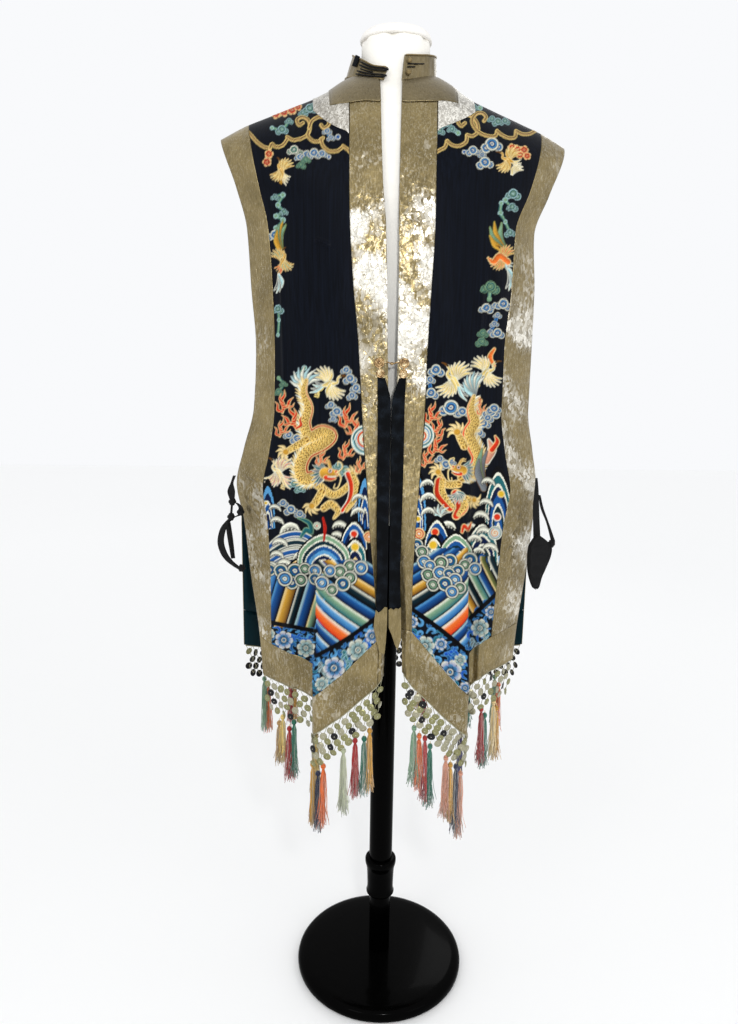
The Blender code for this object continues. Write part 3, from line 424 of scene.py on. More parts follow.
def shell(name, surface, across, down, thick, materials, lift=0.0, relief=0.0, step=1):
    """A closed cloth wall: a fine outer face, and an inner face on every step-th line of it.

    Gives the piece and the number of its outer points, which come first."""
    s, t = np.meshgrid(across, down)
    place, out = surface(s, t)
    outer = place + out * (np.zeros(s.shape) + lift + relief)[..., None]
    rows, columns = s.shape
    some_columns = sorted(set(range(0, columns, step)) | {columns - 1})
    some_rows = sorted(set(range(0, rows, step)) | {rows - 1})
    inner = (place + out * (lift - thick))[np.ix_(some_rows, some_columns)]
    total = rows * columns
    grid = np.arange(total).reshape(rows, columns)
    back = np.arange(len(some_rows) * len(some_columns)).reshape(len(some_rows), len(some_columns)) + total
    faces = quads(grid)
    slots = [0] * len(faces)
    inside = quads(back, True)
    faces += inside
    slots += [1 if len(materials) > 1 else 0] * len(inside)

    def close(edge, lining, picks, backwards):
        for k in range(len(picks) - 1):
            run = list(edge[picks[k]:picks[k + 1] + 1])
            ends = [lining[k], lining[k + 1]]
            rim = run[::-1] + ends if backwards else run + ends[::-1]
            faces.append([int(v) for v in rim])
            slots.append(0)
    close(grid[0], back[0], some_columns, True)
    close(grid[-1], back[-1], some_columns, False)
    close(grid[:, 0], back[:, 0], some_rows, False)
    close(grid[:, -1], back[:, -1], some_rows, True)
    points = np.concatenate([outer.reshape(-1, 3), inner.reshape(-1, 3)])
    a = outer[rows // 2, columns // 2 + 1] - outer[rows // 2, columns // 2]
    b = outer[rows // 2 + 1, columns // 2] - outer[rows // 2, columns // 2]
    if np.cross(a, b) @ out[rows // 2, columns // 2] < 0.0:
        faces = [face[::-1] for face in faces]
    piece = mesh_piece(name, points, faces, materials, slots)
    piece["cut_size"], piece["cut_area"] = cut_size(outer)
    return piece, total


def spline(points, steps):
    """A smooth line through points, in a plane or in space."""
    padded = np.vstack([2.0 * points[0] - points[1], points, 2.0 * points[-1] - points[-2]])
    line = []
    for k in range(len(points) - 1):
        a, b, c, d = padded[k:k + 4]
        for u in np.arange(steps) / steps:
            line.append(0.5 * (2 * b + (c - a) * u + (2 * a - 5 * b + 4 * c - d) * u * u
                               + (3 * b - a - 3 * c + d) * u ** 3))
    line.append(points[-1])
    return np.array(line)


def hung_cloth(piece):
    """Works out the size that a shell was cut to and an area, and keeps neither."""
    width, length = piece["cut_size"]
    area = max(piece["cut_area"], 0.31 * width * length)


def hue(red, green, blue):
    """A colour given as seen, from 0 to 255, as Blender mixes it."""
    parts = []
    for value in (red, green, blue):
        value /= 255.0
        parts.append(value / 12.92 if value <= 0.04045 else ((value + 0.055) / 1.055) ** 2.4)
    return tuple(parts)


def full(colour):
    """A colour with full opacity."""
    return (colour[0], colour[1], colour[2], 1.0)


class Nodes:
    """Short ways to add and join shader nodes in one material or group."""

    def __init__(self, tree):
        self.tree = tree

    def add(self, kind, inputs=None, **settings):
        node = self.tree.nodes.new("ShaderNode" + kind)
        for key, value in settings.items():
            setattr(node, key, value)
        for key, value in (inputs or {}).items():
            if hasattr(value, "is_output"):
                self.tree.links.new(value, node.inputs[key])
            else:
                node.inputs[key].default_value = value
        return node

    def math(self, operation, a, b=0.0):
        node = self.add("Math", {0: a, 1: b}, operation=operation)
        return node.outputs[0]

    def mix(self, share, a, b):
        node = self.add("Mix", {0: share, 6: a, 7: b}, data_type="RGBA")
        return node.outputs[2]

    def ramp(self, value, stops):
        node = self.add("ValToRGB", {0: value})
        ramp = node.color_ramp
        while len(ramp.elements) < len(stops):
            ramp.elements.new(0.5)
        for element, (place, colour) in zip(ramp.elements, stops):
            element.position = place
            element.color = full(colour) if not isinstance(colour, float) else (colour, colour, colour, 1.0)
        return node.outputs[0]


def finish(name, colour, roughness, metallic=0.0, sheen=0.0, coat=0.0):
    """A new material with its plain numbers set on the shader itself."""
    material = bpy.data.materials.new(name)
    material.use_nodes = True
    shader = material.node_tree.nodes["Principled BSDF"]
    shader.inputs["Base Color"].default_value = full(colour)
    shader.inputs["Roughness"].default_value = roughness
    shader.inputs["Metallic"].default_value = metallic
    shader.inputs["Sheen Weight"].default_value = sheen
    shader.inputs["Sheen Roughness"].default_value = 0.4
    shader.inputs["Coat Weight"].default_value = coat
    material.diffuse_color = full(colour)
    return material, shader, Nodes(material.node_tree)


def ports(group, names, direction):
    """Adds the inputs or outputs of a node group."""
    for name, kind, default in names:
        socket = group.interface.new_socket(name, in_out=direction, socket_type="NodeSocket" + kind)
        if default is not None:
            socket.default_value = default


def weave_group():
    """Fine crossed threads, as a height and a shade, from Object coordinates."""
    if "Fine weave" in bpy.data.node_groups:
        return bpy.data.node_groups["Fine weave"]
    group = bpy.data.node_groups.new("Fine weave", "ShaderNodeTree")
    ports(group, [("Threads per metre", "Float", 1800.0), ("Slubs", "Float", 0.3)], "INPUT")
    ports(group, [("Height", "Float", None), ("Shade", "Float", None)], "OUTPUT")
    n = Nodes(group)
    given = group.nodes.new("NodeGroupInput")
    made = group.nodes.new("NodeGroupOutput")
    where = n.add("SeparateXYZ", {0: n.add("TexCoord").outputs["Object"]})
    pitch = n.math("MULTIPLY", given.outputs["Threads per metre"], math.pi)
    across = n.math("SINE", n.math("MULTIPLY", n.math("ADD", where.outputs[0], where.outputs[1]), pitch))
    along = n.math("SINE", n.math("MULTIPLY", where.outputs[2], pitch))
    cross = n.math("MULTIPLY", across, along)
    spots = n.add("TexNoise", {"Vector": n.add("TexCoord").outputs["Object"], "Scale": 90.0, "Detail": 4.0})
    slub = n.math("MULTIPLY", spots.outputs[0], given.outputs["Slubs"])
    group.links.new(n.math("ADD", n.math("MULTIPLY", cross, 0.5), slub), made.inputs["Height"])
    shade = n.math("ADD", n.math("MULTIPLY", cross, 0.08), n.math("ADD", slub, 1.0 - 0.15))
    group.links.new(shade, made.inputs["Shade"])
    return group


def put_group(nodes, group, **values):
    """Adds a node group with its inputs set."""
    node = nodes.tree.nodes.new("ShaderNodeGroup")
    node.node_tree = group
    for key, value in values.items():
        node.inputs[key.replace("_", " ")].default_value = value
    return node


def shaded(nodes, colour, shade):
    """A colour times a shade."""
    node = nodes.add("Mix", {0: 1.0, 6: colour, 7: shade}, data_type="RGBA", blend_type="MULTIPLY")
    return node.outputs[2]


def bump(nodes, shader, height, strength, distance):
    """Raises the surface by a height."""
    node = nodes.add("Bump", {"Height": height, "Strength": strength, "Distance": distance})
    nodes.tree.links.new(node.outputs[0], shader.inputs["Normal"])


def woven(name, colour, roughness, threads=1500.0, slubs=0.3, metallic=0.0, sheen=0.3, depth_mm=0.15):
    """Plain woven cloth of one colour."""
    material, shader, n = finish(name, colour, roughness, metallic, sheen)
    shader.inputs["Specular IOR Level"].default_value = 0.1
    weave = put_group(n, weave_group(), Threads_per_metre=threads, Slubs=slubs)
    tone = shaded(n, full(colour), weave.outputs["Shade"])
    n.tree.links.new(tone, shader.inputs["Base Color"])
    bump(n, shader, weave.outputs["Height"], 0.5, depth_mm / 1000.0)
    return material


def embroidered_silk(colour):
    """Dark satin whose colour, thread share, metal share and stitch direction were laid on its points."""
    material, shader, n = finish("Embroidered silk", colour, 0.45, 0.0, 0.0)
    shader.inputs["Specular IOR Level"].default_value = 0.06
    laid = n.add("Attribute", attribute_name="laid")
    stitch = n.add("Attribute", attribute_name="stitch")
    parts = n.add("SeparateColor", {0: stitch.outputs["Color"]})
    where = n.add("SeparateXYZ", {0: n.add("TexCoord").outputs["Object"]})
    way_x = n.math("SUBTRACT", n.math("MULTIPLY", parts.outputs[2], 2.0), 1.0)
    way_z = n.math("SUBTRACT", n.math("MULTIPLY", stitch.outputs["Alpha"], 2.0), 1.0)
    side = n.math("SUBTRACT", n.math("MULTIPLY", where.outputs[0], way_z),
                  n.math("MULTIPLY", where.outputs[2], way_x))
    thread = n.math("SINE", n.math("MULTIPLY", side, 2.0 * math.pi / 0.0011))
    weave = put_group(n, weave_group(), Threads_per_metre=900.0, Slubs=0.25)
    strand = n.math("MULTIPLY", thread, parts.outputs[0])
    ground = n.math("MULTIPLY", weave.outputs["Height"], n.math("SUBTRACT", 1.0, parts.outputs[0]))
    height = n.math("ADD", strand, n.math("MULTIPLY", ground, 0.4))
    fleck = n.add("TexNoise", {"Vector": n.add("TexCoord").outputs["Object"], "Scale": 700.0, "Detail": 2.0})
    shade = n.math("ADD", n.math("MULTIPLY", strand, 0.14),
                   n.math("ADD", n.math("MULTIPLY", fleck.outputs[0], 0.7), 0.62))
    warp_at = n.add("Mapping", {"Vector": n.add("TexCoord").outputs["Object"], "Scale": (380.0, 380.0, 5.0)})
    warp = n.add("TexNoise", {"Vector": warp_at.outputs[0], "Scale": 1.0, "Detail": 4.0})
    warp_share = n.math("MULTIPLY", n.math("SUBTRACT", warp.outputs[0], 0.42),
                        n.math("SUBTRACT", 1.0, parts.outputs[0]))
    shade = n.math("ADD", shade, n.math("MULTIPLY", warp_share, 3.0))
    tone = shaded(n, laid.outputs["Color"], shade)
    n.tree.links.new(tone, shader.inputs["Base Color"])
    n.tree.links.new(parts.outputs[1], shader.inputs["Metallic"])
    rough = n.math("ADD", n.math("MULTIPLY", parts.outputs[0], 0.06), 0.46)
    n.tree.links.new(rough, shader.inputs["Roughness"])
    bump(n, shader, height, 0.6, 0.0003)
    return material


def foil_group():
    """Crushed foil: flat facets, each tilted its own way, as a height in metres from Object coordinates."""
    if "Crushed foil" in bpy.data.node_groups:
        return bpy.data.node_groups["Crushed foil"]
    group = bpy.data.node_groups.new("Crushed foil", "ShaderNodeTree")
    ports(group, [("Facets per metre", "Float", 60.0), ("Tilt", "Float", 0.3)], "INPUT")
    ports(group, [("Height", "Float", None), ("Glint", "Float", None), ("Crease", "Float", None)], "OUTPUT")
    n = Nodes(group)
    given = group.nodes.new("NodeGroupInput")
    made = group.nodes.new("NodeGroupOutput")
    where = n.add("TexCoord").outputs["Object"]
    wander = n.add("TexNoise", {"Vector": where, "Scale": 75.0, "Detail": 2.0})
    push = n.add("VectorMath", {0: wander.outputs["Color"], 1: (0.5, 0.5, 0.5)}, operation="SUBTRACT")
    push = n.add("VectorMath", {0: push.outputs[0], "Scale": 0.016}, operation="SCALE")
    place = n.add("VectorMath", {0: where, 1: push.outputs[0]}, operation="ADD").outputs[0]
    squeezed = n.add("Mapping", {"Vector": place, "Scale": (1.0, 1.0, 0.6),
                                 "Rotation": (0.0, 0.6, 0.0)}).outputs[0]
    cells = n.add("TexVoronoi", {"Vector": squeezed, "Scale": given.outputs["Facets per metre"]},
                  feature="F1")
    off = n.add("VectorMath", {0: squeezed, 1: cells.outputs["Position"]}, operation="SUBTRACT").outputs[0]
    lean = n.add("VectorMath", {0: cells.outputs["Color"], 1: (0.5, 0.5, 0.5)},
                 operation="SUBTRACT").outputs[0]
    height = n.add("VectorMath", {0: off, 1: lean}, operation="DOT_PRODUCT").outputs["Value"]
    group.links.new(n.math("MULTIPLY", height, given.outputs["Tilt"]), made.inputs["Height"])
    group.links.new(n.add("SeparateXYZ", {0: cells.outputs["Color"]}).outputs[0], made.inputs["Glint"])
    edges = n.add("TexVoronoi", {"Vector": squeezed, "Scale": given.outputs["Facets per metre"]},
                  feature="DISTANCE_TO_EDGE")
    group.links.new(n.ramp(edges.outputs["Distance"], [(0.0, 1.0), (0.10, 0.0)]), made.inputs["Crease"])
    return group


def metal_cloth(colour, name="Metal cloth", facet=190.0):
    """Dull metal cloth, whose facets tilt more where its points are marked as more crushed; there, pale
    glints and crease lines are also painted into its colour.
    """
    material, shader, n = finish(name, colour, 0.3, 0.85)
    where = n.add("TexCoord").outputs["Object"]
    drift = n.add("TexNoise", {"Vector": where, "Scale": 16.0, "Detail": 4.0, "Roughness": 0.6})
    drawn = n.add("Mapping", {"Vector": where, "Scale": (1.0, 1.0, 0.22),
                              "Rotation": (0.0, 0.45, 0.0)}).outputs[0]
    fine = n.add("TexNoise", {"Vector": drawn, "Scale": 420.0, "Detail": 2.0, "Roughness": 0.7})
    shade = n.math("ADD", n.math("MULTIPLY", fine.outputs[0], 0.4), n.math("MULTIPLY", drift.outputs[0], 0.6))
    base = tuple(c * 0.72 for c in colour)
    tone = n.ramp(shade, [(0.36, base), (0.50, colour), (0.64, tuple(min(c * 1.3, 1.0) for c in colour))])
    rough = n.math("ADD", n.math("MULTIPLY", fine.outputs[0], 0.30), 0.18)
    n.tree.links.new(rough, shader.inputs["Roughness"])
    crush_and_glint = n.add("Attribute", attribute_name="crush_and_glint").outputs["Fac"]
    facets = put_group(n, foil_group(), Facets_per_metre=facet, Tilt=1.0)
    # The crushed share moves the level above which the pattern turns pale: pale facets are painted glints,
    # near white.
    # Crease lines are painted highlights where the cloth is dull, and painted dark lines where it is pale.
    pattern = n.math("ADD", n.math("MULTIPLY", facets.outputs["Glint"], 0.40),
                     n.math("MULTIPLY", drift.outputs[0], 0.45))
    pattern = n.math("ADD", pattern, n.math("MULTIPLY", fine.outputs[0], 0.25))
    above = n.math("SUBTRACT", n.math("ADD", pattern, crush_and_glint), 0.95)
    pale = n.math("MULTIPLY", n.ramp(above, [(0.0, 0.0), (0.50, 1.0)]), 0.90)
    painted_crease_line = n.math("MULTIPLY", facets.outputs["Crease"], n.ramp(fine.outputs[0], [(0.45, 0.0), (0.58, 1.0)]))
    painted_crease_line = n.math("MULTIPLY", painted_crease_line, n.math("ADD", n.math("MULTIPLY", crush_and_glint, 0.7), 0.06))
    pale = n.math("ABSOLUTE", n.math("SUBTRACT", pale, painted_crease_line))
    # Painted glints: the colour goes towards near white, and the metal share down, where pale is high.
    n.tree.links.new(n.mix(pale, tone, full(hue(246, 243, 233))), shader.inputs["Base Color"])
    n.tree.links.new(n.math("SUBTRACT", 0.85, n.math("MULTIPLY", pale, 0.50)), shader.inputs["Metallic"])
    height = n.math("MULTIPLY", facets.outputs["Height"], n.math("ADD", n.math("MULTIPLY", crush_and_glint, 0.7), 0.03))
    height = n.math("ADD", height, n.math("MULTIPLY", fine.outputs[0], 0.00016))
    bump(n, shader, height, 1.0, 1.0)
    return material


class VestSizes(bpy.types.PropertyGroup):
    cloth: bpy.props.FloatProperty(name="Cloth thickness", description="Thickness of silk and metal cloth",
                                   default=0.0014, min=0.0005, max=0.003, unit="LENGTH")
    crumple: bpy.props.FloatProperty(name="Crumple depth",
                                     description="Depth of the creases in the metal cloth", default=0.0011,
                                     min=0.0, max=0.004, unit="LENGTH")
    stitch: bpy.props.FloatProperty(name="Embroidery height",
                                    description="How far embroidery stands off the silk", default=0.0005,
                                    min=0.0, max=0.002, unit="LENGTH")


class VestColours(bpy.types.PropertyGroup):
    silk: bpy.props.FloatVectorProperty(name="Silk", description="Ground colour of the silk", subtype="COLOR",
                                        size=3, default=hue(5, 8, 16), min=0.0, max=1.0)
    metal: bpy.props.FloatVectorProperty(name="Metal cloth", description="Colour of the metal cloth",
                                         subtype="COLOR", size=3, default=hue(136, 121, 84), min=0.0, max=1.0)
    lining: bpy.props.FloatVectorProperty(name="Lining", description="Colour of the lining", subtype="COLOR",
                                          size=3, default=hue(3, 35, 42), min=0.0, max=1.0)


# Thread colours of the embroidery.
THREADS = {
    "navy": hue(10, 26, 62), "blue": hue(24, 78, 140), "bright": hue(22, 76, 176),
    "sky": hue(84, 148, 196), "pale": hue(168, 204, 206), "white": hue(226, 226, 208),
    "teal": hue(30, 98, 104), "deep": hue(12, 40, 50), "sage": hue(120, 156, 124),
    "moss": hue(104, 110, 60), "green": hue(30, 110, 88), "mint": hue(186, 192, 162),
    "cream": hue(232, 206, 146), "gold": hue(198, 148, 52), "straw": hue(226, 200, 122),
    "sand": hue(186, 150, 96), "yellow": hue(214, 174, 44), "bronze": hue(104, 66, 22),
    "orange": hue(226, 112, 44), "red": hue(168, 22, 22), "flame": hue(206, 52, 24),
    "rose": hue(208, 146, 118), "violet": hue(58, 52, 120), "black": hue(5, 5, 8),
    "grey": hue(108, 114, 118), "cord": hue(150, 146, 118), "olive": hue(140, 138, 98),
    "clear": hue(164, 160, 136),
}
BLUES = ("white", "sky", "blue", "navy")
TEALS = ("pale", "teal", "sage", "deep")
GREENS = ("sage", "teal", "sage", "deep")
REDS = ("cream", "flame", "orange", "red")
EDGE = 0.9


class Board:
    """A drawing board over a panel: each point has a place, and takes colour, height and stitch direction."""

    def __init__(self, u, v, ground):
        self.u = u.ravel()
        self.v = v.ravel()
        count = self.u.size
        self.colour = np.tile(np.array(ground, dtype=float), (count, 1))
        self.height = np.zeros(count)
        self.thread = np.zeros(count)
        self.metal = np.zeros(count)
        self.way = np.tile((0.0, 1.0), (count, 1))

    def near(self, points, pad):
        low = points.min(axis=0) - pad
        high = points.max(axis=0) + pad
        return np.flatnonzero((self.u > low[0]) & (self.u < high[0]) & (self.v > low[1]) & (self.v < high[1]))

    def lay(self, k, edge, colour, height=1.0, way=None, metal=0.0, flat=False):
        """Lays thread where edge, a distance from the outline, is inside."""
        share = np.clip(0.5 - edge / EDGE, 0.0, 1.0)
        hit = share > 0.0
        k = k[hit]
        share = share[hit]
        if isinstance(colour, str):
            colour = THREADS[colour]
        colour = np.array(colour)
        if colour.ndim == 2:
            colour = colour[hit]
        part = share[:, None]
        self.colour[k] = self.colour[k] * (1.0 - part) + colour * part
        rise = height if flat else height * np.sqrt(np.clip(-edge[hit] / 3.0 + 0.25, 0.0, 1.0))
        self.height[k] = self.height[k] * (1.0 - share) + rise * share
        self.thread[k] = np.maximum(self.thread[k], share)
        self.metal[k] = self.metal[k] * (1.0 - share) + metal * share
        if way is not None:
            way = np.asarray(way, dtype=float)
            self.way[k] = way if way.ndim == 1 else way[hit]

    def stroke(self, points, widths, colour, rim=None, rim_width=1.0, steps=5, height=1.0, metal=0.0,
               pattern=None):
        """A satin stitched line; widths are half widths along it."""
        line, half = bent(points, widths, steps)
        k = self.near(line, half.max() + EDGE)
        if not len(k):
            return
        edge, share, side, way = from_line(self.u[k], self.v[k], line, half)
        tones = colour
        if isinstance(colour, str) and colour != "black":
            lean = 1.0 - 0.5 * np.clip(side / max(half.max(), 0.5), -1.0, 1.0)
            tones = np.clip(np.array(THREADS[colour]) * lean[:, None], 0.0, 1.0)
        if pattern is not None:
            tones = pattern(share * line_length(line), side)
        if rim is not None:
            self.lay(k, edge, rim, height, way, metal)
            self.lay(k, edge + rim_width, tones, height, way, metal)
        else:
            self.lay(k, edge, tones, height, way, metal)

    def disc(self, u, v, radius, colour, squash=1.0, turn=0.0, height=1.0, rim=None, rim_width=1.0):
        k = self.near(np.array([[u, v]]), radius * max(1.0, squash) + EDGE)
        if not len(k):
            return
        du = self.u[k] - u
        dv = self.v[k] - v
        a = du * math.cos(turn) + dv * math.sin(turn)
        b = (dv * math.cos(turn) - du * math.sin(turn)) / squash
        edge = np.hypot(a, b) - radius
        if rim is not None:
            self.lay(k, edge, rim, height)
            edge = edge + rim_width
        self.lay(k, edge, colour, height)

    def rings(self, u, v, radius, tones, steps=(1.0, 0.78, 0.58, 0.30), turn=0.0, height=1.0):
        """Rings of thread round a middle, drawn out to a coil by turn."""
        k = self.near(np.array([[u, v]]), radius + EDGE)
        if not len(k):
            return
        du = self.u[k] - u
        dv = self.v[k] - v
        away = np.hypot(du, dv)
        away = away + turn * radius * (np.arctan2(dv, du) / (2.0 * math.pi))
        way = np.stack([du, -dv], axis=1) / np.maximum(np.hypot(du, dv), 1e-6)[:, None]
        for share, tone in zip(steps, tones):
            self.lay(k, away - radius * share, tone, height, way)

    def inside(self, points):
        """Mask of points within an outline."""
        points = np.array(points, dtype=float)
        within = np.zeros(self.u.shape, dtype=bool)
        for a, b in zip(points, np.roll(points, -1, axis=0)):
            crosses = (a[1] > self.v) != (b[1] > self.v)
            with np.errstate(divide="ignore", invalid="ignore"):
                at = a[0] + (self.v - a[1]) * (b[0] - a[0]) / (b[1] - a[1])
            within ^= crosses & (self.u < at)
        return within

    def tints(self, extra, other):
        """The two colour layers, with a plain colour for the points past the board's own."""
        laid = np.ones((self.u.size + extra, 4))
        laid[:self.u.size, :3] = self.colour
        laid[self.u.size:, :3] = other
        stitch = np.zeros((self.u.size + extra, 4))
        stitch[:, 2] = 0.5
        stitch[:, 3] = 1.0
        stitch[:self.u.size, 0] = self.thread
        stitch[:self.u.size, 1] = self.metal
        stitch[:self.u.size, 2] = self.way[:, 0] * 0.5 + 0.5
        stitch[:self.u.size, 3] = self.way[:, 1] * 0.5 + 0.5
        return laid, stitch


def bent(points, widths, steps):
    """A smooth line through points, with a half width at each place on it."""
    points = np.array(points, dtype=float)
    widths = np.array(widths if np.ndim(widths) else [widths] * len(points), dtype=float)
    if len(widths) != len(points):
        widths = np.interp(np.linspace(0, 1, len(points)), np.linspace(0, 1, len(widths)), widths)
    if len(points) == 2 or steps == 1:
        return points, widths
    half = []
    for first, last in zip(widths, widths[1:]):
        half += [first * (1 - u) + last * u for u in np.arange(steps) / steps]
    half.append(widths[-1])
    return spline(points, steps), np.array(half)


def placed(board, at, size, turn=0.0, flip=False):
    """Gives a way to stroke the lines of a small drawing that is set at one place."""
    def draw(points, widths, *look, **more):
        board.stroke(turned_to(points, at, size, turn, flip), np.array(widths) * size, *look, **more)
    return draw


def line_length(line):
    """Length along a line."""
    return float(np.linalg.norm(np.diff(line, axis=0), axis=1).sum())


def from_line(u, v, line, half):
    """Distance to the outline of a stroke, place along it, place across it and the stitch direction."""
    best = np.full(u.shape, 1e9)
    share = np.zeros(u.shape)
    side = np.zeros(u.shape)
    way = np.zeros(u.shape + (2,))
    count = len(line) - 1
    for k in range(count):
        a = line[k]
        step = line[k + 1] - a
        size = max(float(np.hypot(*step)), 1e-6)
        w = np.clip(((u - a[0]) * step[0] + (v - a[1]) * step[1]) / size ** 2, 0.0, 1.0)
        du = u - a[0] - w * step[0]
        dv = v - a[1] - w * step[1]
        edge = np.hypot(du, dv) - (half[k] * (1 - w) + half[k + 1] * w)
        hit = edge < best
        best = np.where(hit, edge, best)
        share = np.where(hit, (k + w) / count, share)
        side = np.where(hit, (du * -step[1] + dv * step[0]) / size, side)
        across = np.array([-step[1], -step[0]]) / size
        way[hit] = across * 0.8 + np.array([step[0], -step[1]]) / size * 0.6
    return best, share, side, way


def turned_to(points, at, size, turn=0.0, flip=False):
    """A small drawing set at a place, sized, turned and mirrored."""
    points = np.array(points, dtype=float)
    if flip:
        points = points * np.array([-1.0, 1.0])
    c = math.cos(turn)
    s = math.sin(turn)
    return np.stack([at[0] + size * (points[:, 0] * c - points[:, 1] * s),
                     at[1] + size * (points[:, 0] * s + points[:, 1] * c)], axis=1)


def whorl(board, u, v, radius, tones=BLUES, hand=1.0):
    """A coiled cloud head: a dark outline, a pale edge, a dark gap, then a mid tone round a pale heart."""
    board.rings(u, v, radius * 1.14, ["black", tones[0], "black", tones[1], tones[2], "black", tones[0],
                                      tones[2]], (1.0, 0.92, 0.72, 0.64, 0.50, 0.34, 0.26, 0.12), 0.16 * hand)


def cloud(board, places, tones=BLUES):
    """Curled cloud heads, each of three coils, on one stem: each place is (u, v, radius)."""
    if len(places) > 1:
        sizes = [max(p[2] * 0.36, 1.4) for p in places]
        board.stroke([(p[0], p[1]) for p in places], sizes, tones[2], tones[1], 0.5)
    for k, (u, v, radius) in enumerate(places):
        side = 1.0 if k % 2 else -1.0
        if radius < 3.0:
            board.disc(u, v, radius, tones[2], rim=tones[0], rim_width=0.6)
            continue
        for aside, drop, share in ((-0.80, 0.45, 0.62), (0.85, 0.30, 0.55), (0.0, -0.10, 0.82)):
            whorl(board, u + aside * radius * side, v + drop * radius, radius * share, tones, side)


def flame(board, at, size, turn=0.0, flip=False, tones=("flame", "cream")):
    """A flame of five tongues."""
    tongues = [
        ([(0.0, 1.0), (0.05, 0.4), (-0.2, -0.1), (0.05, -0.6), (0.0, -1.1)], (0.08, 0.19, 0.18, 0.11, 0.02)),
        ([(0.0, 0.5), (0.4, 0.35), (0.5, -0.1), (0.8, -0.5)], (0.1, 0.15, 0.12, 0.02)),
        ([(0.0, 0.9), (-0.45, 0.75), (-0.5, 0.3), (-0.8, 0.05)], (0.1, 0.15, 0.1, 0.02)),
        ([(0.0, 0.1), (-0.35, -0.25), (-0.3, -0.75)], (0.12, 0.11, 0.02)),
        ([(0.35, 0.35), (0.75, 0.35), (0.95, 0.0)], (0.09, 0.09, 0.02)),
    ]
    draw = placed(board, at, size, turn, flip)
    for line, widths in tongues:
        draw(line, widths, tones[0], tones[1], 0.4)


def feathers(board, at, size, first, last, count, tones, flip=False, width=0.085, reach=1.0):
    """A fan of feathers from a shoulder, between two angles in degrees."""
    draw = placed(board, at, size, 0.0, flip)
    for k in range(count):
        share = k / max(count - 1, 1)
        angle = math.radians(first + (last - first) * share)
        length = reach * (0.72 + 0.28 * math.sin(math.pi * (0.25 + 0.75 * share)))
        tip = (math.cos(angle) * length, -math.sin(angle) * length)
        mid = (math.cos(angle + 0.22) * length * 0.55, -math.sin(angle + 0.22) * length * 0.55)
        draw([(0.0, 0.0), mid, tip], (0.09, width, 0.03), tones[k % 2], tones[2], 0.45)


def bird(board, at, size, flip=False, tones=("cream", "gold", "white"), tail=None, legs=True, turn=0.0):
    """A flying crane: fans of feathers, a long neck and trailing legs. It looks left unless flipped."""
    draw = placed(board, at, size, turn, flip)
    feathers(board, turned_to([(0.10, -0.05)], at, size, turn, flip)[0], size, 20, 105, 7, tones, flip)
    if legs:
        for drop in (0.0, 0.12):
            line = [(0.25, 0.25 + drop), (0.45, 0.55 + drop), (0.35, 0.75 + drop), (0.55, 0.8 + drop)]
            draw(line, 0.035, tones[0])
    tail = tail or tones
    for k in range(4):
        line = [(0.25, 0.15), (0.55, 0.22 + 0.13 * k), (0.9, 0.12 + 0.24 * k)]
        draw(line, (0.07, 0.085, 0.02), tail[k % 2], tail[2], 0.4)
    draw([(-0.25, -0.12), (0.0, 0.0), (0.32, 0.20)], (0.10, 0.20, 0.08), tones[0], tones[2], 0.6)
    shoulder_at = turned_to([(-0.05, 0.02)], at, size, turn, flip)[0]
    feathers(board, shoulder_at, size, 205, 285, 7, tones, flip, reach=0.95)
    neck = [(-0.18, -0.08), (-0.36, -0.22), (-0.30, -0.45), (-0.42, -0.62)]
    draw(neck, (0.10, 0.07, 0.06, 0.07), tones[0], tones[2], 0.4)
    draw([(-0.44, -0.63), (-0.62, -0.70), (-0.76, -0.70)], (0.06, 0.04, 0.01), "bronze")
    eye_at = turned_to([(-0.44, -0.64)], at, size, turn, flip)[0]
    board.disc(eye_at[0], eye_at[1], 0.03 * size + 0.3, "black")


def flower(board, u, v, radius, tones=("white", "sky", "blue", "navy"), petals=7, turn=0.0):
    """A peony: two rounds of petals with dark lines between, and a coiled heart."""
    k = board.near(np.array([[u, v]]), radius + EDGE)
    if not len(k):
        return
    du = board.u[k] - u
    dv = board.v[k] - v
    away = np.hypot(du, dv)
    angle = np.arctan2(dv, du) + turn
    way = np.stack([du, -dv], axis=1) / np.maximum(away, 1e-6)[:, None]
    for reach, inner, outer, shift in ((1.0, tones[2], tones[0], 0.0), (0.66, tones[3], tones[1], 0.5)):
        lobe = np.abs(np.cos(petals * (angle / 2.0) + shift * math.pi / 2.0))
        edge = away - radius * reach * (0.72 + 0.28 * np.sqrt(lobe))
        share = np.clip(away / (radius * reach), 0.0, 1.0)[:, None] ** 2
        tone = np.array(THREADS[inner]) * (1.0 - share) + np.array(THREADS[outer]) * share
        gap = np.where(lobe < 0.22, 0.25, 1.0)[:, None]
        board.lay(k, edge, tone * gap, 1.0, way)
    board.rings(u, v, radius * 0.26, [tones[0], tones[3], tones[1]], (1.0, 0.7, 0.35))


def leaf_scroll(board, points, tone="bright", rim="sky", size=3.2):
    """A curling leafy stem with lobes to both sides."""
    board.stroke(points, (0.5 * size, 0.35 * size, 0.2 * size), tone, rim, 0.5)
    line, _ = bent(points, 1.0, 4)
    for k in range(1, len(line) - 1, 2):
        ahead = line[k + 1] - line[k - 1]
        ahead = ahead / max(np.hypot(*ahead), 1e-6)
        out = np.array([-ahead[1], ahead[0]]) * (1.0 if k % 4 == 1 else -1.0)
        lobe = [line[k], line[k] + out * size * 0.7 + ahead * size * 0.2,
                line[k] + out * size * 0.9 + ahead * size * 0.9]
        board.stroke(lobe, (size * 0.28, size * 0.34, size * 0.12), tone, rim, 0.5, 3)


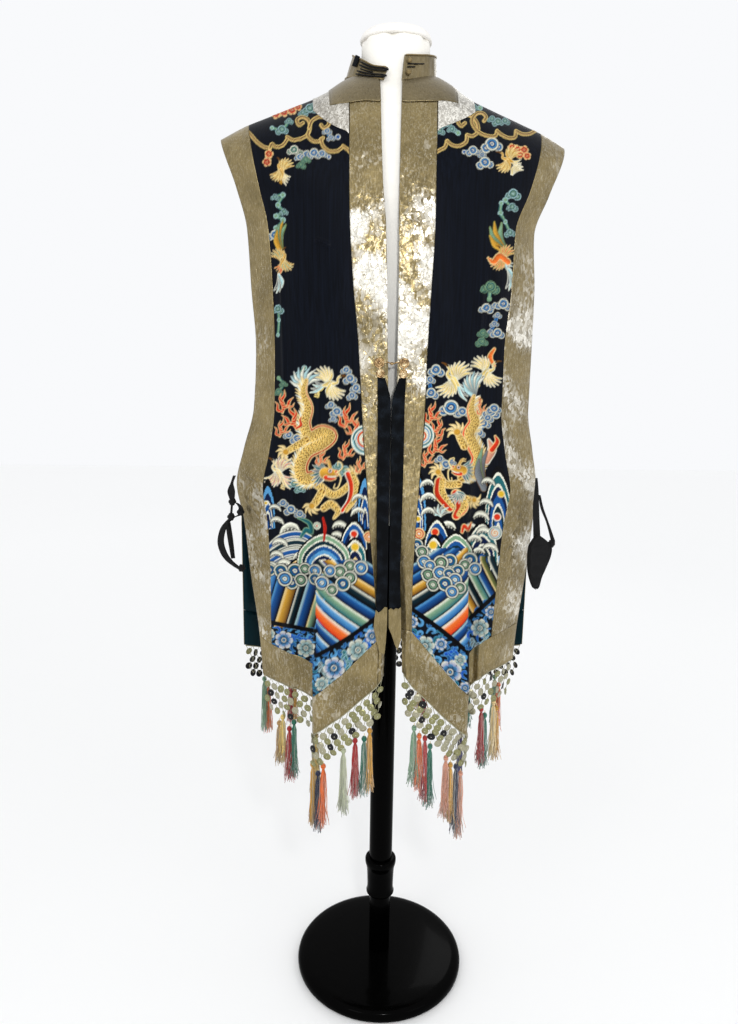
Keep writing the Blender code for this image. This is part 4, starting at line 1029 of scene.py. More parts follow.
def scales(along, side):
    """A pattern of overlapping scales for a dragon's body."""
    cell = along / 3.0 + np.abs(((side / 3.2) % 1.0) - 0.5) * 1.2
    share = (cell % 1.0)[:, None]
    tone = np.array(THREADS["straw"]) * share + np.array(THREADS["gold"]) * (1.0 - share)
    tone = tone * (1.0 - 0.35 * np.clip(side / 6.0, -1.0, 1.0))[:, None]
    return np.where(share < 0.20, np.array(THREADS["bronze"]), tone)


def claw(board, at, size, turn, tones=("gold", "cream")):
    """A claw of five toes."""
    for angle in (-75, -38, 0, 38, 75):
        a = math.radians(angle) + turn
        mid = (at[0] + math.cos(a) * size * 0.62, at[1] - math.sin(a) * size * 0.62)
        tip = (at[0] + math.cos(a + 0.45) * size * 1.05, at[1] - math.sin(a + 0.45) * size * 1.05)
        board.stroke([at, mid, tip], (size * 0.20, size * 0.16, 0.25), tones[1], None, steps=3)
    board.disc(at[0], at[1], size * 0.36, tones[0], rim=tones[1], rim_width=0.5)


def leg(board, points, width, size, turn):
    """A scaled leg with its claw at the last point."""
    board.stroke(points, (width * 1.1, width, width * 0.75), "gold", "cream", 0.7, pattern=scales)
    claw(board, points[-1], size, turn)


def dragon(board, spine, width, legs, head, flip=False, belly=1.0):
    """A scaled body with a pale fin on one side and a red belly on the other, then legs, then the head."""
    line, _ = bent(spine, 1.0, 7)
    ahead = np.gradient(line, axis=0)
    ahead /= np.maximum(np.hypot(ahead[:, 0], ahead[:, 1]), 1e-6)[:, None]
    out = np.stack([-ahead[:, 1], ahead[:, 0]], axis=1) * belly
    share = np.linspace(0.0, 1.0, len(line))
    half = width * np.interp(share, (0.0, 0.15, 0.75, 1.0), (0.75, 1.0, 0.85, 0.30))
    for k in range(0, len(line) - 1):
        root = line[k] - out[k] * half[k] * 0.8
        tip = root - out[k] * width * 0.62 + ahead[k] * width * 0.55
        board.stroke([root, tip], (width * 0.20, 0.2), "cream" if k % 3 else "white", None, steps=1)
    board.stroke(line + out * (half * 0.55)[:, None], half * 0.62, "flame", "cream", 0.6, steps=1)
    board.stroke(line, half * 0.86, "gold", "cream", 0.7, steps=1, pattern=scales, height=1.4)
    for points, size, turn in legs:
        leg(board, points, width * 0.52, size, turn)
    dragon_head(board, *head, flip)


def dragon_head(board, at, size, turn, flip):
    """A head with a mane, horns, open jaws, a round eye and curled whiskers."""
    draw = placed(board, at, size, turn, flip)

    def spot(x, z):
        return turned_to([(x, z)], at, size, turn, flip)[0]
    for k in range(8):
        a = math.radians(-70 + 22 * k)
        lock = [(0.25, -0.05), (0.55 + 0.35 * math.cos(a), 0.55 * math.sin(a)),
                (0.8 + 0.55 * math.cos(a), 1.0 * math.sin(a))]
        draw(lock, (0.16, 0.14, 0.02), "grey" if k % 2 else "teal", "white", 0.35)
    for lift in (0.0, 0.16):
        draw([(0.0, -0.35), (0.25, -0.75 - lift), (0.55, -0.80 - lift)], (0.10, 0.07, 0.02), "gold", "cream",
             0.4)
    draw([(0.35, 0.0), (0.0, -0.05), (-0.45, -0.12)], (0.42, 0.36, 0.22), "gold", "cream", 0.6)
    draw([(0.25, 0.30), (-0.10, 0.34), (-0.42, 0.26)], (0.20, 0.15, 0.08), "flame", "cream", 0.6)
    draw([(0.10, 0.22), (-0.15, 0.20), (-0.45, 0.10)], (0.04, 0.05, 0.03), "white")
    for x, z in ((-0.42, -0.22), (-0.52, -0.08)):
        board.disc(*spot(x, z), 0.13 * size, "flame", rim="cream", rim_width=0.5)
    board.disc(*spot(0.02, -0.22), 0.17 * size, "white", rim="red", rim_width=0.5)
    board.disc(*spot(0.02, -0.22), 0.08 * size, "black")
    for side in (-1.0, 1.0):
        curl = [(-0.5, -0.15), (-0.8, -0.35 * side - 0.2), (-0.7, -0.85 * side), (-0.42, -0.95 * side),
                (-0.45, -0.70 * side)]
        draw(curl, (0.06, 0.05, 0.04, 0.03), "cream")


def rock(board, u, v, wide, high, tones, knob=None):
    """Nested arches standing on a level: pale ones are thin lines, the others broad."""
    weights = np.array([0.4 if tone in ("white", "cream", "pale") else 1.0 for tone in tones])
    starts = np.concatenate([[0.0], np.cumsum(weights)[:-1]]) / weights.sum()
    for tone, start in zip(("black",) + tuple(tones), np.concatenate([[-1.3 / wide], starts])):
        share = 1.0 - start
        outline = [(u - wide * share, v), (u - wide * share * 0.86, v - high * share * 0.62),
                   (u, v - high * share), (u + wide * share * 0.86, v - high * share * 0.62),
                   (u + wide * share, v)]
        line, _ = bent(outline, 1.0, 5)
        spots = board.near(line, EDGE)
        within = board.inside(np.vstack([line, [[u, v + 2.0]]]))[spots]
        board.lay(spots, np.where(within, -EDGE, EDGE), tone, 1.0, (0.3, 0.95))
    if knob:
        board.disc(u, v - high * 0.30, wide * 0.42, knob, rim="cream", rim_width=0.8)


def spray(board, at, size, flip=False):
    """The white crest of a breaking wave, with hooked fingers below it, each round a dark eye."""
    crest = turned_to([(-0.95, 0.45), (-0.60, -0.10), (0.0, -0.40), (0.55, -0.28), (0.90, 0.10)], at, size,
                      0.0, flip)
    for grow, tone in ((0.07, "black"), (0.0, "white")):
        board.stroke(crest, (np.array((0.08, 0.22, 0.26, 0.20, 0.07)) + grow) * size, tone)
    for (x, y), radius in (((-0.52, 0.18), 0.15), ((-0.18, 0.02), 0.17), ((0.20, -0.02), 0.16),
                           ((0.52, 0.08), 0.14), ((0.82, 0.30), 0.11)):
        tip, eye_spot = turned_to([(x, y), (x + 0.06, y + 0.05)], at, size, 0.0, flip)
        board.disc(tip[0], tip[1], radius * size, "white", rim="black", rim_width=0.4)
        board.disc(eye_spot[0], eye_spot[1], radius * size * 0.42, "black")


def sprays(board, rows):
    """Wave crests: each is (u, v, size, mirrored)."""
    for u, v, size, flip in rows:
        spray(board, (u, v), size, flip)


def foliage(board, outline, step, seed, tones=("bright", "blue", "sky", "teal", "blue")):
    """Fills an outline with small curled leaves, set on a loose lattice."""
    rng = np.random.default_rng(seed)
    outline = np.array(outline, dtype=float)
    low, high = outline.min(axis=0), outline.max(axis=0)
    within = Board(*np.meshgrid(np.arange(low[0], high[0], step), np.arange(low[1], high[1], step)),
                   (0.0, 0.0, 0.0))
    for u, v, keep in zip(within.u, within.v, within.inside(outline)):
        turn = rng.uniform(0.0, 6.3)
        size = rng.uniform(0.75, 1.15) * step
        tone = tones[int(rng.integers(len(tones)))]
        at = (u + rng.uniform(-0.2, 0.2) * step, v + rng.uniform(-0.2, 0.2) * step)
        if keep:
            curl = [(-0.55, 0.2), (-0.15, -0.25), (0.3, -0.2), (0.42, 0.15), (0.15, 0.25)]
            placed(board, at, size, turn)(curl, (0.05, 0.16, 0.18, 0.14, 0.09), tone, "sky", 0.4)


def banded(board, mask, value, rows):
    """Satin stripes by value, shaded across, with dark gaps: rows are (start, end, light, middle, dark)."""
    k = np.flatnonzero(mask)
    value = value[k]
    for start, end, light, middle, dark in rows:
        share = np.clip((value - start) / (end - start), 0.0, 1.0)[:, None]
        pale, full_tone, deep = [np.array(THREADS[tone]) for tone in (light, middle, dark)]
        first = pale * (1.0 - share * 3.0) + full_tone * share * 3.0
        second = full_tone * (1.5 - share * 1.5) + deep * (share * 1.5 - 0.5)
        tone = np.where(share < 1.0 / 3.0, first, second)
        board.lay(k, np.maximum(start - value, value - end), np.clip(tone, 0.0, 1.0), 1.0)


# The couched gold lines that edge the shoulder collar, in places of the picture.
GOLD_LINES = {
    "right": [[(245, 129), (250, 134), (257, 142), (264, 147), (270, 148)],
              [(270, 148), (272, 144), (276, 147), (283, 145), (288, 138)],
              [(287, 137), (293, 140), (300, 139), (307, 135), (310, 128), (308, 120), (302, 117), (297, 120),
               (299, 125), (303, 123)], [(309, 131), (308, 136), (313, 141), (320, 141), (323, 138)],
              [(309, 128), (312, 121), (319, 117), (327, 118), (329, 124), (324, 128), (321, 125)],
              [(321, 139), (323, 146), (329, 151), (337, 151), (343, 147)],
              [(343, 146), (347, 149), (351, 153)]],
    "left": [[(435, 153), (440, 150), (445, 147), (447, 141)],
             [(447, 141), (452, 145), (459, 146), (466, 142), (467, 135)],
             [(467, 135), (473, 136), (478, 131), (477, 123), (471, 116), (463, 116), (458, 121), (461, 126),
              (465, 123)], [(484, 121), (486, 117), (482, 113), (476, 114), (472, 120), (474, 127),
                            (480, 133), (488, 136), (495, 136), (497, 131)],
             [(497, 131), (502, 135), (509, 138), (515, 137), (516, 131)],
             [(516, 131), (522, 134), (529, 134), (535, 131)]],
}
BIRD_GOLD = ("gold", "straw", "cream")
BIRD_CREAM = ("straw", "cream", "white")
BIRD_GREY = ("grey", "pale", "white")
PLUME = ("white", "pale", "grey")


def gold_lines(board, side):
    """Double couched gold line that edges the shoulder collar."""
    for line in GOLD_LINES[side]:
        board.stroke(line, 1.65, "sand", "straw", 0.5, height=1.2, metal=0.3)
        board.stroke(np.array(line) + (0.3, -0.5), 0.34, "black", height=0.9)


def clouds(board, rows):
    """Clouds: each is its tones, then its heads."""
    for tones, *places in rows:
        cloud(board, places, tones)


def flames(board, rows):
    """Flames: each is (u, v, size, turn, mirrored)."""
    for u, v, size, turn, flip in rows:
        flame(board, (u, v), size, turn, flip)


def circles(board, places, radius=6.4):
    """Ringed wave heads, laid in turn, so that each hides part of the last."""
    for k, (u, v) in enumerate(places):
        mid, low = (("blue", "teal"), ("sage", "deep"), ("sky", "blue"))[k % 3]
        size = radius * (0.9 + 0.2 * ((k * 5) % 4) / 3.0)
        board.rings(u, v, size * 1.14, ["black", "white", "black", low, mid, "black", "white", mid],
                    (1.0, 0.90, 0.74, 0.66, 0.54, 0.36, 0.26, 0.10), 0.12)


def pearl(board, u, v, radius):
    """A ringed pearl with a red coil."""
    board.disc(u, v, radius, "pale", rim="white", rim_width=1.2)
    board.rings(u, v, radius * 0.85, ["teal", "white", "sky", "white"], (1.0, 0.88, 0.76, 0.66), 0.1)
    turns = np.linspace(0.3, 3.4 * math.pi, 22)
    coil = [(u + math.cos(a) * radius * 0.055 * a, v + math.sin(a) * radius * 0.055 * a) for a in turns]
    board.stroke(coil, radius * 0.075, "flame", "cream", 0.3, steps=2)


def plumes(board, root, size, first, last, count, tones=PLUME):
    """A fan of broad plumes."""
    feathers(board, root, size, first, last, count, tones, False, 0.10)


GOLDEN = ("cream", "gold", "bronze")
AZURE = ("white", "sky", "blue")
OCEAN = ("sky", "blue", "navy")
DEEP_SEA = ("pale", "blue", "navy")
REED = ("white", "sage", "teal")
DUSK = ("white", "deep", "black")
EMBER = ("white", "orange", "flame")
SLANTED = ((7, REED), (9, AZURE), (11, OCEAN), (12, GOLDEN), (8, DUSK), (12, DEEP_SEA),
           (9, ("cream", "sage", "black")), (12, OCEAN), (9, REED), (12, AZURE))
SLANTED_DARK = ((9, DUSK), (8, ("sage", "moss", "black")), (9, GOLDEN), (8, DUSK), (9, REED), (9, DEEP_SEA),
                (8, ("cream", "moss", "black")), (9, DUSK), (9, AZURE), (9, DUSK), (8, GOLDEN))
ARCHED = ((11, DEEP_SEA), (11, OCEAN), (11, GOLDEN), (12, DUSK), (12, OCEAN), (13, REED), (12, AZURE),
          (16, EMBER), (13, DEEP_SEA), (12, AZURE), (11, OCEAN), (12, REED), (12, OCEAN))


def lined_up(start, rows):
    """Stripes side by side from a start, each with a dark gap after it."""
    out = []
    for size, tones in rows:
        out.append((start, start + size - 1.8) + tones)
        start += size
    return out


def flower_band(board, edge, flowers, leaves, low):
    """Black strip along the hem with leaves, peonies and leafy stems, under a black couched line."""
    foliage(board, list(edge) + list(low), 8.5, int(edge[0][0]))
    board.stroke(edge, 2.2, "black", steps=3)
    for line, tone, rim in leaves:
        leaf_scroll(board, line, tone, rim, 4.2)
    for u, v, radius, tones in flowers:
        flower(board, u, v, radius, tones, 7, u * 0.3)


PEONY = ("white", "sky", "bright", "navy")
WHITE_PEONY = ("white", "pale", "teal", "deep")


def draw_right(board):
    """The embroidery of the right front, in places of the picture."""
    clouds(board, ((TEALS, (303, 113, 3.5), (310, 109, 5), (315, 104, 3)),
                   (TEALS, (272, 128, 2), (282, 130, 4.5), (289, 121, 3)),
                   (BLUES, (327, 131, 3.5), (331, 138, 3), (338, 137, 2.5)),
                   (("white", "sage", "teal", "deep"), (294, 150, 5), (301, 154, 3.5)),
                   (BLUES, (300, 157, 4), (307, 155, 4.5)),
                   (BLUES, (314, 153, 5), (322, 154, 4), (329, 157, 2)),
                   (GREENS, (301, 165, 3.5), (306, 160, 3.5)),
                   (TEALS, (275, 197, 3), (283, 195, 2.5), (278, 205, 2.5), (284, 212, 3), (276, 216, 2.5),
                    (283, 220, 2.5), (276, 228, 2.5)), (BLUES, (275, 235, 5.5),),
                   (TEALS, (278, 309, 4.5), (279, 320, 2), (278, 335, 1.8)),
                   (GREENS, (279, 392, 4), (284, 384, 3), (279, 378, 2)),
                   (BLUES, (346, 370, 4), (350, 379, 5), (356, 388, 4.5), (352, 396, 4)),
                   (BLUES, (331, 405, 4), (337, 412, 5), (333, 419, 3)),
                   (BLUES, (289, 435, 4), (297, 439, 5), (303, 444, 3)),
                   (TEALS, (338, 466, 4), (345, 471, 5)), (TEALS, (294, 484, 4), (300, 489, 4)),
                   (BLUES, (283, 503, 4), (291, 510, 5), (300, 514, 4)),
                   (TEALS, (298, 375, 3.5), (304, 368, 2.5)), (BLUES, (352, 500, 4), (358, 508, 4))))
    gold_lines(board, "right")
    for u, v, size, tones in ((276, 114, 5, REDS), (284, 112, 5, REDS), (292, 110, 5, REDS),
                              (298, 107, 4, REDS), (269, 154, 4.5, REDS),
                              (267, 162, 4.5, ("cream", "red", "flame", "red"))):
        flower(board, u, v, size, tones, 5, u)
    bird(board, (281, 170), 13, False, BIRD_GOLD, BIRD_CREAM, True, 0.5)
    plumes(board, (281, 252), 30, 80, 100, 4, ("sage", "gold", "moss"))
    bird(board, (283, 260), 13, True, ("gold", "sage", "cream"), ("orange", "flame", "cream"), False, -0.6)
    plumes(board, (279, 275), 18, 250, 285, 4, BIRD_GREY)
    bird(board, (330, 384), 18, True, BIRD_CREAM, BIRD_GREY, True, 0.35)
    bird(board, (278, 472), 17, False, ("cream", "rose", "white"), ("rose", "cream", "white"), True, 0.2)
    plumes(board, (304, 386), 20, 20, 160, 9)
    # The dragon: spine from neck to tail, legs as (line, claw size, turn), then the head.
    spine = [(322, 472), (312, 478), (303, 478), (300, 466), (307, 452), (322, 444), (330, 436), (322, 432),
             (310, 437), (304, 424), (308, 408), (303, 392), (306, 380)]
    legs = (([(306, 440), (296, 446), (286, 452)], 9, 3.3),
            ([(318, 485), (334, 495), (350, 484), (352, 474)], 8, 1.4),
            ([(322, 492), (316, 502), (312, 506)], 9, 4.2))
    dragon(board, spine, 7.2, legs, ((330, 474), 14, 0.15), True, 1.0)
    belly = [(348, 474), (352, 486), (350, 500), (342, 511)]
    board.stroke(belly, (3.2, 3.6, 3.2, 2.2), "flame", "white", 0.8)
    board.stroke([(u + 4.4, v - 1.0) for u, v in belly], (2.4, 3.2, 3.0, 2.2), "gold", "cream", 0.7,
                 pattern=scales)
    board.stroke([(324, 508), (331, 504), (338, 511), (334, 518)], (3.5, 4.0, 3.0, 1.5), "gold", "cream", 0.8,
                 pattern=scales)
    flames(board, ((284, 402, 11, 0.1, False), (293, 418, 12, -0.3, True), (282, 428, 9, 0.2, False),
                   (347, 416, 12, 0.2, False), (355, 428, 11, -0.2, True), (346, 450, 10, 0.3, False),
                   (360, 465, 8, 0.0, False), (322, 458, 8, 0.4, False)))
    pearl(board, 366, 440, 15)
    for u, high in ((268, 42), (365, 50)):
        rock(board, u, 528, 7, high, ("sky", "navy", "white", "blue", "white", "navy", "blue"), None)
    board.disc(266, 503, 2.4, "yellow", rim="white")
    sprays(board, ((275, 508, 6, True), (277, 521, 7, True), (358, 498, 6, False), (358, 512, 7, False),
                   (290, 529, 10, False), (340, 526, 8, True), (337, 536, 7, True)))
    rock(board, 354, 560, 13, 38, ("white", "blue", "navy", "white", "bright", "cream", "navy", "white",
                                   "blue"), None)
    board.disc(354, 534, 4.2, "flame", rim="white", rim_width=1.0)
    rock(board, 355, 566, 11, 26, ("white", "teal", "white", "navy", "cream", "navy"), None)
    board.disc(355, 547, 4.2, "yellow", rim="cream", rim_width=0.8)
    board.rings(369, 537, 5.5, ["cream", "flame", "cream", "orange", "white"], (1.0, 0.8, 0.6, 0.4, 0.2),
                0.15)
    billows = (([(270, 548), (282, 538), (300, 535), (320, 545)], "blue"),
               ([(268, 556), (284, 546), (302, 544), (322, 556)], "deep"),
               ([(268, 564), (284, 555), (302, 553), (322, 564)], "blue"),
               ([(270, 570), (288, 563), (306, 563), (322, 570)], "navy"))
    for line, tone in billows:
        board.stroke(line, 4.6, "black")
        board.stroke(line, 4.2, tone, "white", 1.3)
        board.stroke([(u, v + 1.6) for u, v in line], 0.5, "white")
    sprays(board, ((280, 543, 8, True), (277, 555, 7, True), (285, 564, 8, True), (312, 546, 8, False),
                   (316, 556, 8, False), (300, 556, 7, False), (272, 566, 7, True)))
    rock(board, 298, 574, 9, 14, ("cream", "orange", "cream", "sage", "cream", "deep"), None)
    rock(board, 324, 574, 27, 40, ("white", "sage", "white", "deep", "white", "blue", "sky", "white", "navy",
                                   "white", "blue", "sky", "white", "navy"), None)
    board.stroke([(301, 537), (306, 530), (311, 532), (310, 524), (304, 520), (298, 518)],
                 (1.4, 2.6, 2.6, 2.4, 1.8, 0.8), "teal", "sage", 0.7)
    board.stroke([(324, 540), (325, 528), (323, 518)], (1.0, 1.4, 0.8), "red", "flame", 0.4)
    board.rings(317, 526, 3.6, ["white", "sage", "white", "flame"], (1.0, 0.75, 0.5, 0.25), 0.12)
    under = (board.v > 566) & (board.v < 660) & (board.u < 325)
    value = board.u + 0.3 * (board.v - 590)
    banded(board, under & (board.v < 626 + (board.u - 271) * 0.15), value, lined_up(258, SLANTED))
    inner = (board.v > 560) & (board.u >= 316) & (board.v < 656 - (board.u - 316) * 0.62)
    banded(board, inner, board.v - 2.2 * np.clip(board.u - 316, 0, 99) ** 0.75, lined_up(520, ARCHED))
    circles(board, ((270, 570), (350, 566), (361, 568), (295, 571), (305, 569), (315, 571), (281, 571),
                    (340, 572), (330, 571), (292, 583), (350, 578), (285, 579), (315, 579), (301, 580),
                    (322, 583), (343, 584), (332, 590)))
    flower_band(board, [(268, 622), (316, 631)], ((284, 640, 9, PEONY), (306, 648, 9, WHITE_PEONY),
                                                  (270, 634, 5, WHITE_PEONY)),
                (([(276, 650), (290, 656), (302, 662)], "grey", "pale"),
                 ([(292, 636), (300, 638), (312, 640)], "bright", "sky")),
                [(316, 690), (300, 676), (268, 660)])
    flower_band(board, [(316, 656), (345, 640), (376, 618)],
                ((334, 668, 11, PEONY), (358, 650, 11, WHITE_PEONY), (372, 636, 7, PEONY),
                 (322, 684, 7, WHITE_PEONY)), (([(320, 664), (326, 676), (334, 684)], "grey", "pale"),
                                               ([(344, 652), (348, 664), (352, 672)], "teal", "pale"),
                                               ([(366, 640), (372, 650), (374, 658)], "bright", "sky")),
                [(378, 650), (350, 676), (316, 698)])


def draw_left(board):
    """The embroidery of the left front, in places of the picture."""
    clouds(board, ((TEALS, (440, 131, 3.5), (446, 124, 4), (452, 129, 3.5), (458, 133, 2.5)),
                   (TEALS, (466, 112, 2.2),), (TEALS, (474, 107, 3), (480, 108, 2.5)),
                   (TEALS, (492, 119, 3.5), (498, 122, 4), (505, 121, 3.5)),
                   (BLUES, (464, 152, 2), (473, 151, 5), (482, 152, 3), (492, 145, 7.5)),
                   (BLUES, (482, 155, 3), (485, 163, 6)),
                   (TEALS, (513, 194, 5.5), (505, 200, 2.5), (512, 207, 4.2)),
                   (TEALS, (501, 203, 2), (500, 213, 2.2), (505, 222, 2.2), (510, 233, 4)),
                   (GREENS, (490, 287, 6.5), (489, 299, 2.5)),
                   (BLUES, (486, 308, 5), (495, 306, 3.5), (503, 304, 6)),
                   (BLUES, (497, 315, 3), (494, 324, 3), (490, 332, 3)), (BLUES, (497, 333, 5),),
                   (GREENS, (483, 333, 4), (482, 342, 4.5)),
                   (BLUES, (436, 370, 6), (430, 380, 4), (431, 393, 5.5)),
                   (BLUES, (451, 408, 8.5), (462, 412, 5)),
                   (BLUES, (491, 412, 6), (484, 424, 5), (480, 433, 4)),
                   (BLUES, (440, 459, 4), (446, 465, 5), (452, 462, 3)),
                   (BLUES, (488, 418, 4), (494, 409, 5))))
    gold_lines(board, "left")
    for u, v, size in ((512, 148, 4.5), (517, 150, 5), (524, 150, 4.5), (527, 156, 4), (520, 155, 4)):
        flower(board, u, v, size, REDS, 5, u)
    flower(board, 478, 401, 5, REDS, 5)
    bird(board, (508, 160), 14, False, BIRD_GOLD, BIRD_CREAM, False, -0.15)
    feathers(board, (512, 174), 13, 20, 75, 5, BIRD_CREAM)
    plumes(board, (506, 252), 32, 100, 135, 4, ("sage", "gold", "moss"))
    bird(board, (502, 258), 14, False, ("gold", "orange", "cream"), BIRD_GREY, False, 0.3)
    board.stroke([(508, 262), (499, 256), (493, 262), (488, 258)], (3.2, 3.4, 2.8, 1.0), "orange", "cream",
                 0.7)
    plumes(board, (509, 270), 20, 260, 290, 4, BIRD_GREY)
    board.stroke([(494, 349), (490, 357), (494, 366)], (1.5, 2.6, 1.5), "orange", "cream", 0.6)
    bird(board, (453, 380), 20, False, BIRD_CREAM, BIRD_GREY, False, 0.25)
    bird(board, (487, 372), 17, True, BIRD_CREAM, ("grey", "sky", "white"), True, 0.1)
    plumes(board, (474, 396), 24, 60, 130, 8)
    spine = [(462, 478), (474, 470), (479, 458), (474, 446), (469, 434), (475, 422), (471, 410), (474, 396)]
    legs = (([(464, 446), (460, 438), (457, 432)], 10, 1.9), ([(458, 484), (446, 484), (438, 472)], 9, 2.2),
            ([(462, 498), (470, 500), (474, 500)], 8, 5.2))
    dragon(board, spine, 7.0, legs, ((458, 470), 12, 0.1), False, -1.0)
    for line, widths in (([(440, 482), (440, 494), (450, 508)], (5.5, 6.0, 4.0)),
                         ([(456, 494), (462, 506), (456, 516)], (5.0, 7.0, 4.0))):
        board.stroke(line, widths, "flame", "cream", 0.9)
        board.stroke([(u + 2.5, v - 1.5) for u, v in line], np.array(widths) * 0.55, "gold", "cream", 0.5,
                     pattern=scales)
    plumes(board, (458, 492), 12, 200, 330, 8, ("grey", "teal", "white"))
    plumes(board, (440, 516), 12, 20, 150, 6, BIRD_GREY)
    flames(board, ((432, 413, 11, 0.3, False), (438, 427, 10, 0.1, True), (437, 445, 11, 0.5, False),
                   (426, 458, 9, 0.2, False), (481, 408, 7, 0.0, False)))
    pearl(board, 421, 435, 13)
    board.stroke([(487, 462), (492, 450), (489, 440)], (3.0, 4.5, 1.5), "rose", "white", 0.8)
    board.stroke([(492, 450), (497, 442), (495, 436)], (3.0, 2.5, 1.0), "flame", "cream", 0.7)
    plumes(board, (484, 488), 40, 85, 100, 3, ("grey", "sage", "bronze"))
    rock(board, 498, 534, 13, 62, ("white", "teal", "white", "navy", "blue", "white", "deep", "blue", "white",
                                   "navy"), None)
    board.disc(501, 494, 3.6, "yellow", rim="cream", rim_width=0.8)
    board.disc(497, 517, 4.2, "flame", rim="white", rim_width=1.0)
    rock(board, 417, 530, 9, 56, ("sky", "navy", "white", "blue", "white", "navy", "blue"), None)
    board.disc(418, 519, 3.4, "yellow", rim="white")
    board.disc(417, 497, 2.6, "flame", rim="cream")
    sprays(board, ((427, 484, 7, False), (428, 498, 8, False), (428, 512, 7, False), (488, 482, 7, True),
                   (486, 503, 7, True), (447, 527, 9, False), (481, 516, 8, True), (470, 528, 7, False)))
    rock(board, 437, 568, 13, 48, ("white", "blue", "navy", "white", "sky", "bright", "cream", "navy",
                                   "white"), None)
    board.disc(435, 532, 4.2, "flame", rim="cream", rim_width=0.9)
    rock(board, 434, 566, 9, 28, ("white", "teal", "white", "navy", "cream", "navy"), None)
    board.disc(433, 545, 4.4, "yellow", rim="cream", rim_width=0.8)
    board.rings(419, 534, 6.0, ["cream", "flame", "cream", "orange", "white"], (1.0, 0.8, 0.6, 0.4, 0.2),
                0.15)
    rock(board, 482, 570, 16, 46, ("white", "teal", "white", "navy", "white", "deep", "blue", "white",
                                   "navy"), None)
    sprays(board, ((474, 540, 8, False), (484, 532, 8, True), (490, 548, 8, True), (478, 552, 7, False),
                   (424, 552, 7, True)))
    rock(board, 456, 574, 18, 40, ("white", "sage", "white", "blue", "deep", "white", "sky", "blue", "white",
                                   "navy", "white", "blue", "navy"), None)
    board.stroke([(462, 532), (464, 526), (468, 529), (471, 523)], (1.6, 2.2, 2.2, 1.0), "flame", "cream",
                 0.6)
    pearl(board, 495, 533, 7)
    lower = (board.v > 548) & (board.u <= 468)
    banded(board, lower & (board.v < 608 + (board.u - 411) * 0.77),
           board.v - 2.2 * np.clip(468 - board.u, 0, 99) ** 0.75, lined_up(520, ARCHED))
    outer = (board.v > 556) & (board.u > 468) & (board.v < 616 - (board.u - 470) * 0.87)
    banded(board, outer, board.u - 0.35 * np.clip(board.v - 560, 0, 99) ** 1.1, lined_up(428, SLANTED_DARK))
    circles(board, ((417, 545), (422, 552), (424, 562), (470, 560), (465, 565), (475, 569), (450, 561),
                    (441, 563), (430, 566), (458, 571), (428, 575), (440, 573), (449, 574), (433, 585),
                    (455, 580), (445, 584), (460, 588), (452, 592)))
    flower_band(board, [(409, 607), (440, 629), (470, 654)],
                ((425, 646, 10, WHITE_PEONY), (450, 672, 12, PEONY), (412, 622, 6, PEONY),
                 (441, 644, 6, PEONY), (460, 660, 6, WHITE_PEONY), (465, 688, 6, PEONY)),
                (([(412, 634), (418, 640), (424, 658)], "bright", "sky"),
                 ([(432, 656), (436, 668), (444, 684)], "teal", "white"),
                 ([(446, 654), (456, 652), (464, 668)], "bright", "sky")),
                [(470, 698), (440, 676), (404, 640)])
    flower_band(board, [(470, 618), (480, 609), (496, 594)],
                ((480, 628, 9, WHITE_PEONY), (491, 612, 6, PEONY)),
                (([(472, 640), (478, 646), (488, 636)], "grey", "pale"),),
                [(498, 624), (482, 646), (470, 652)])


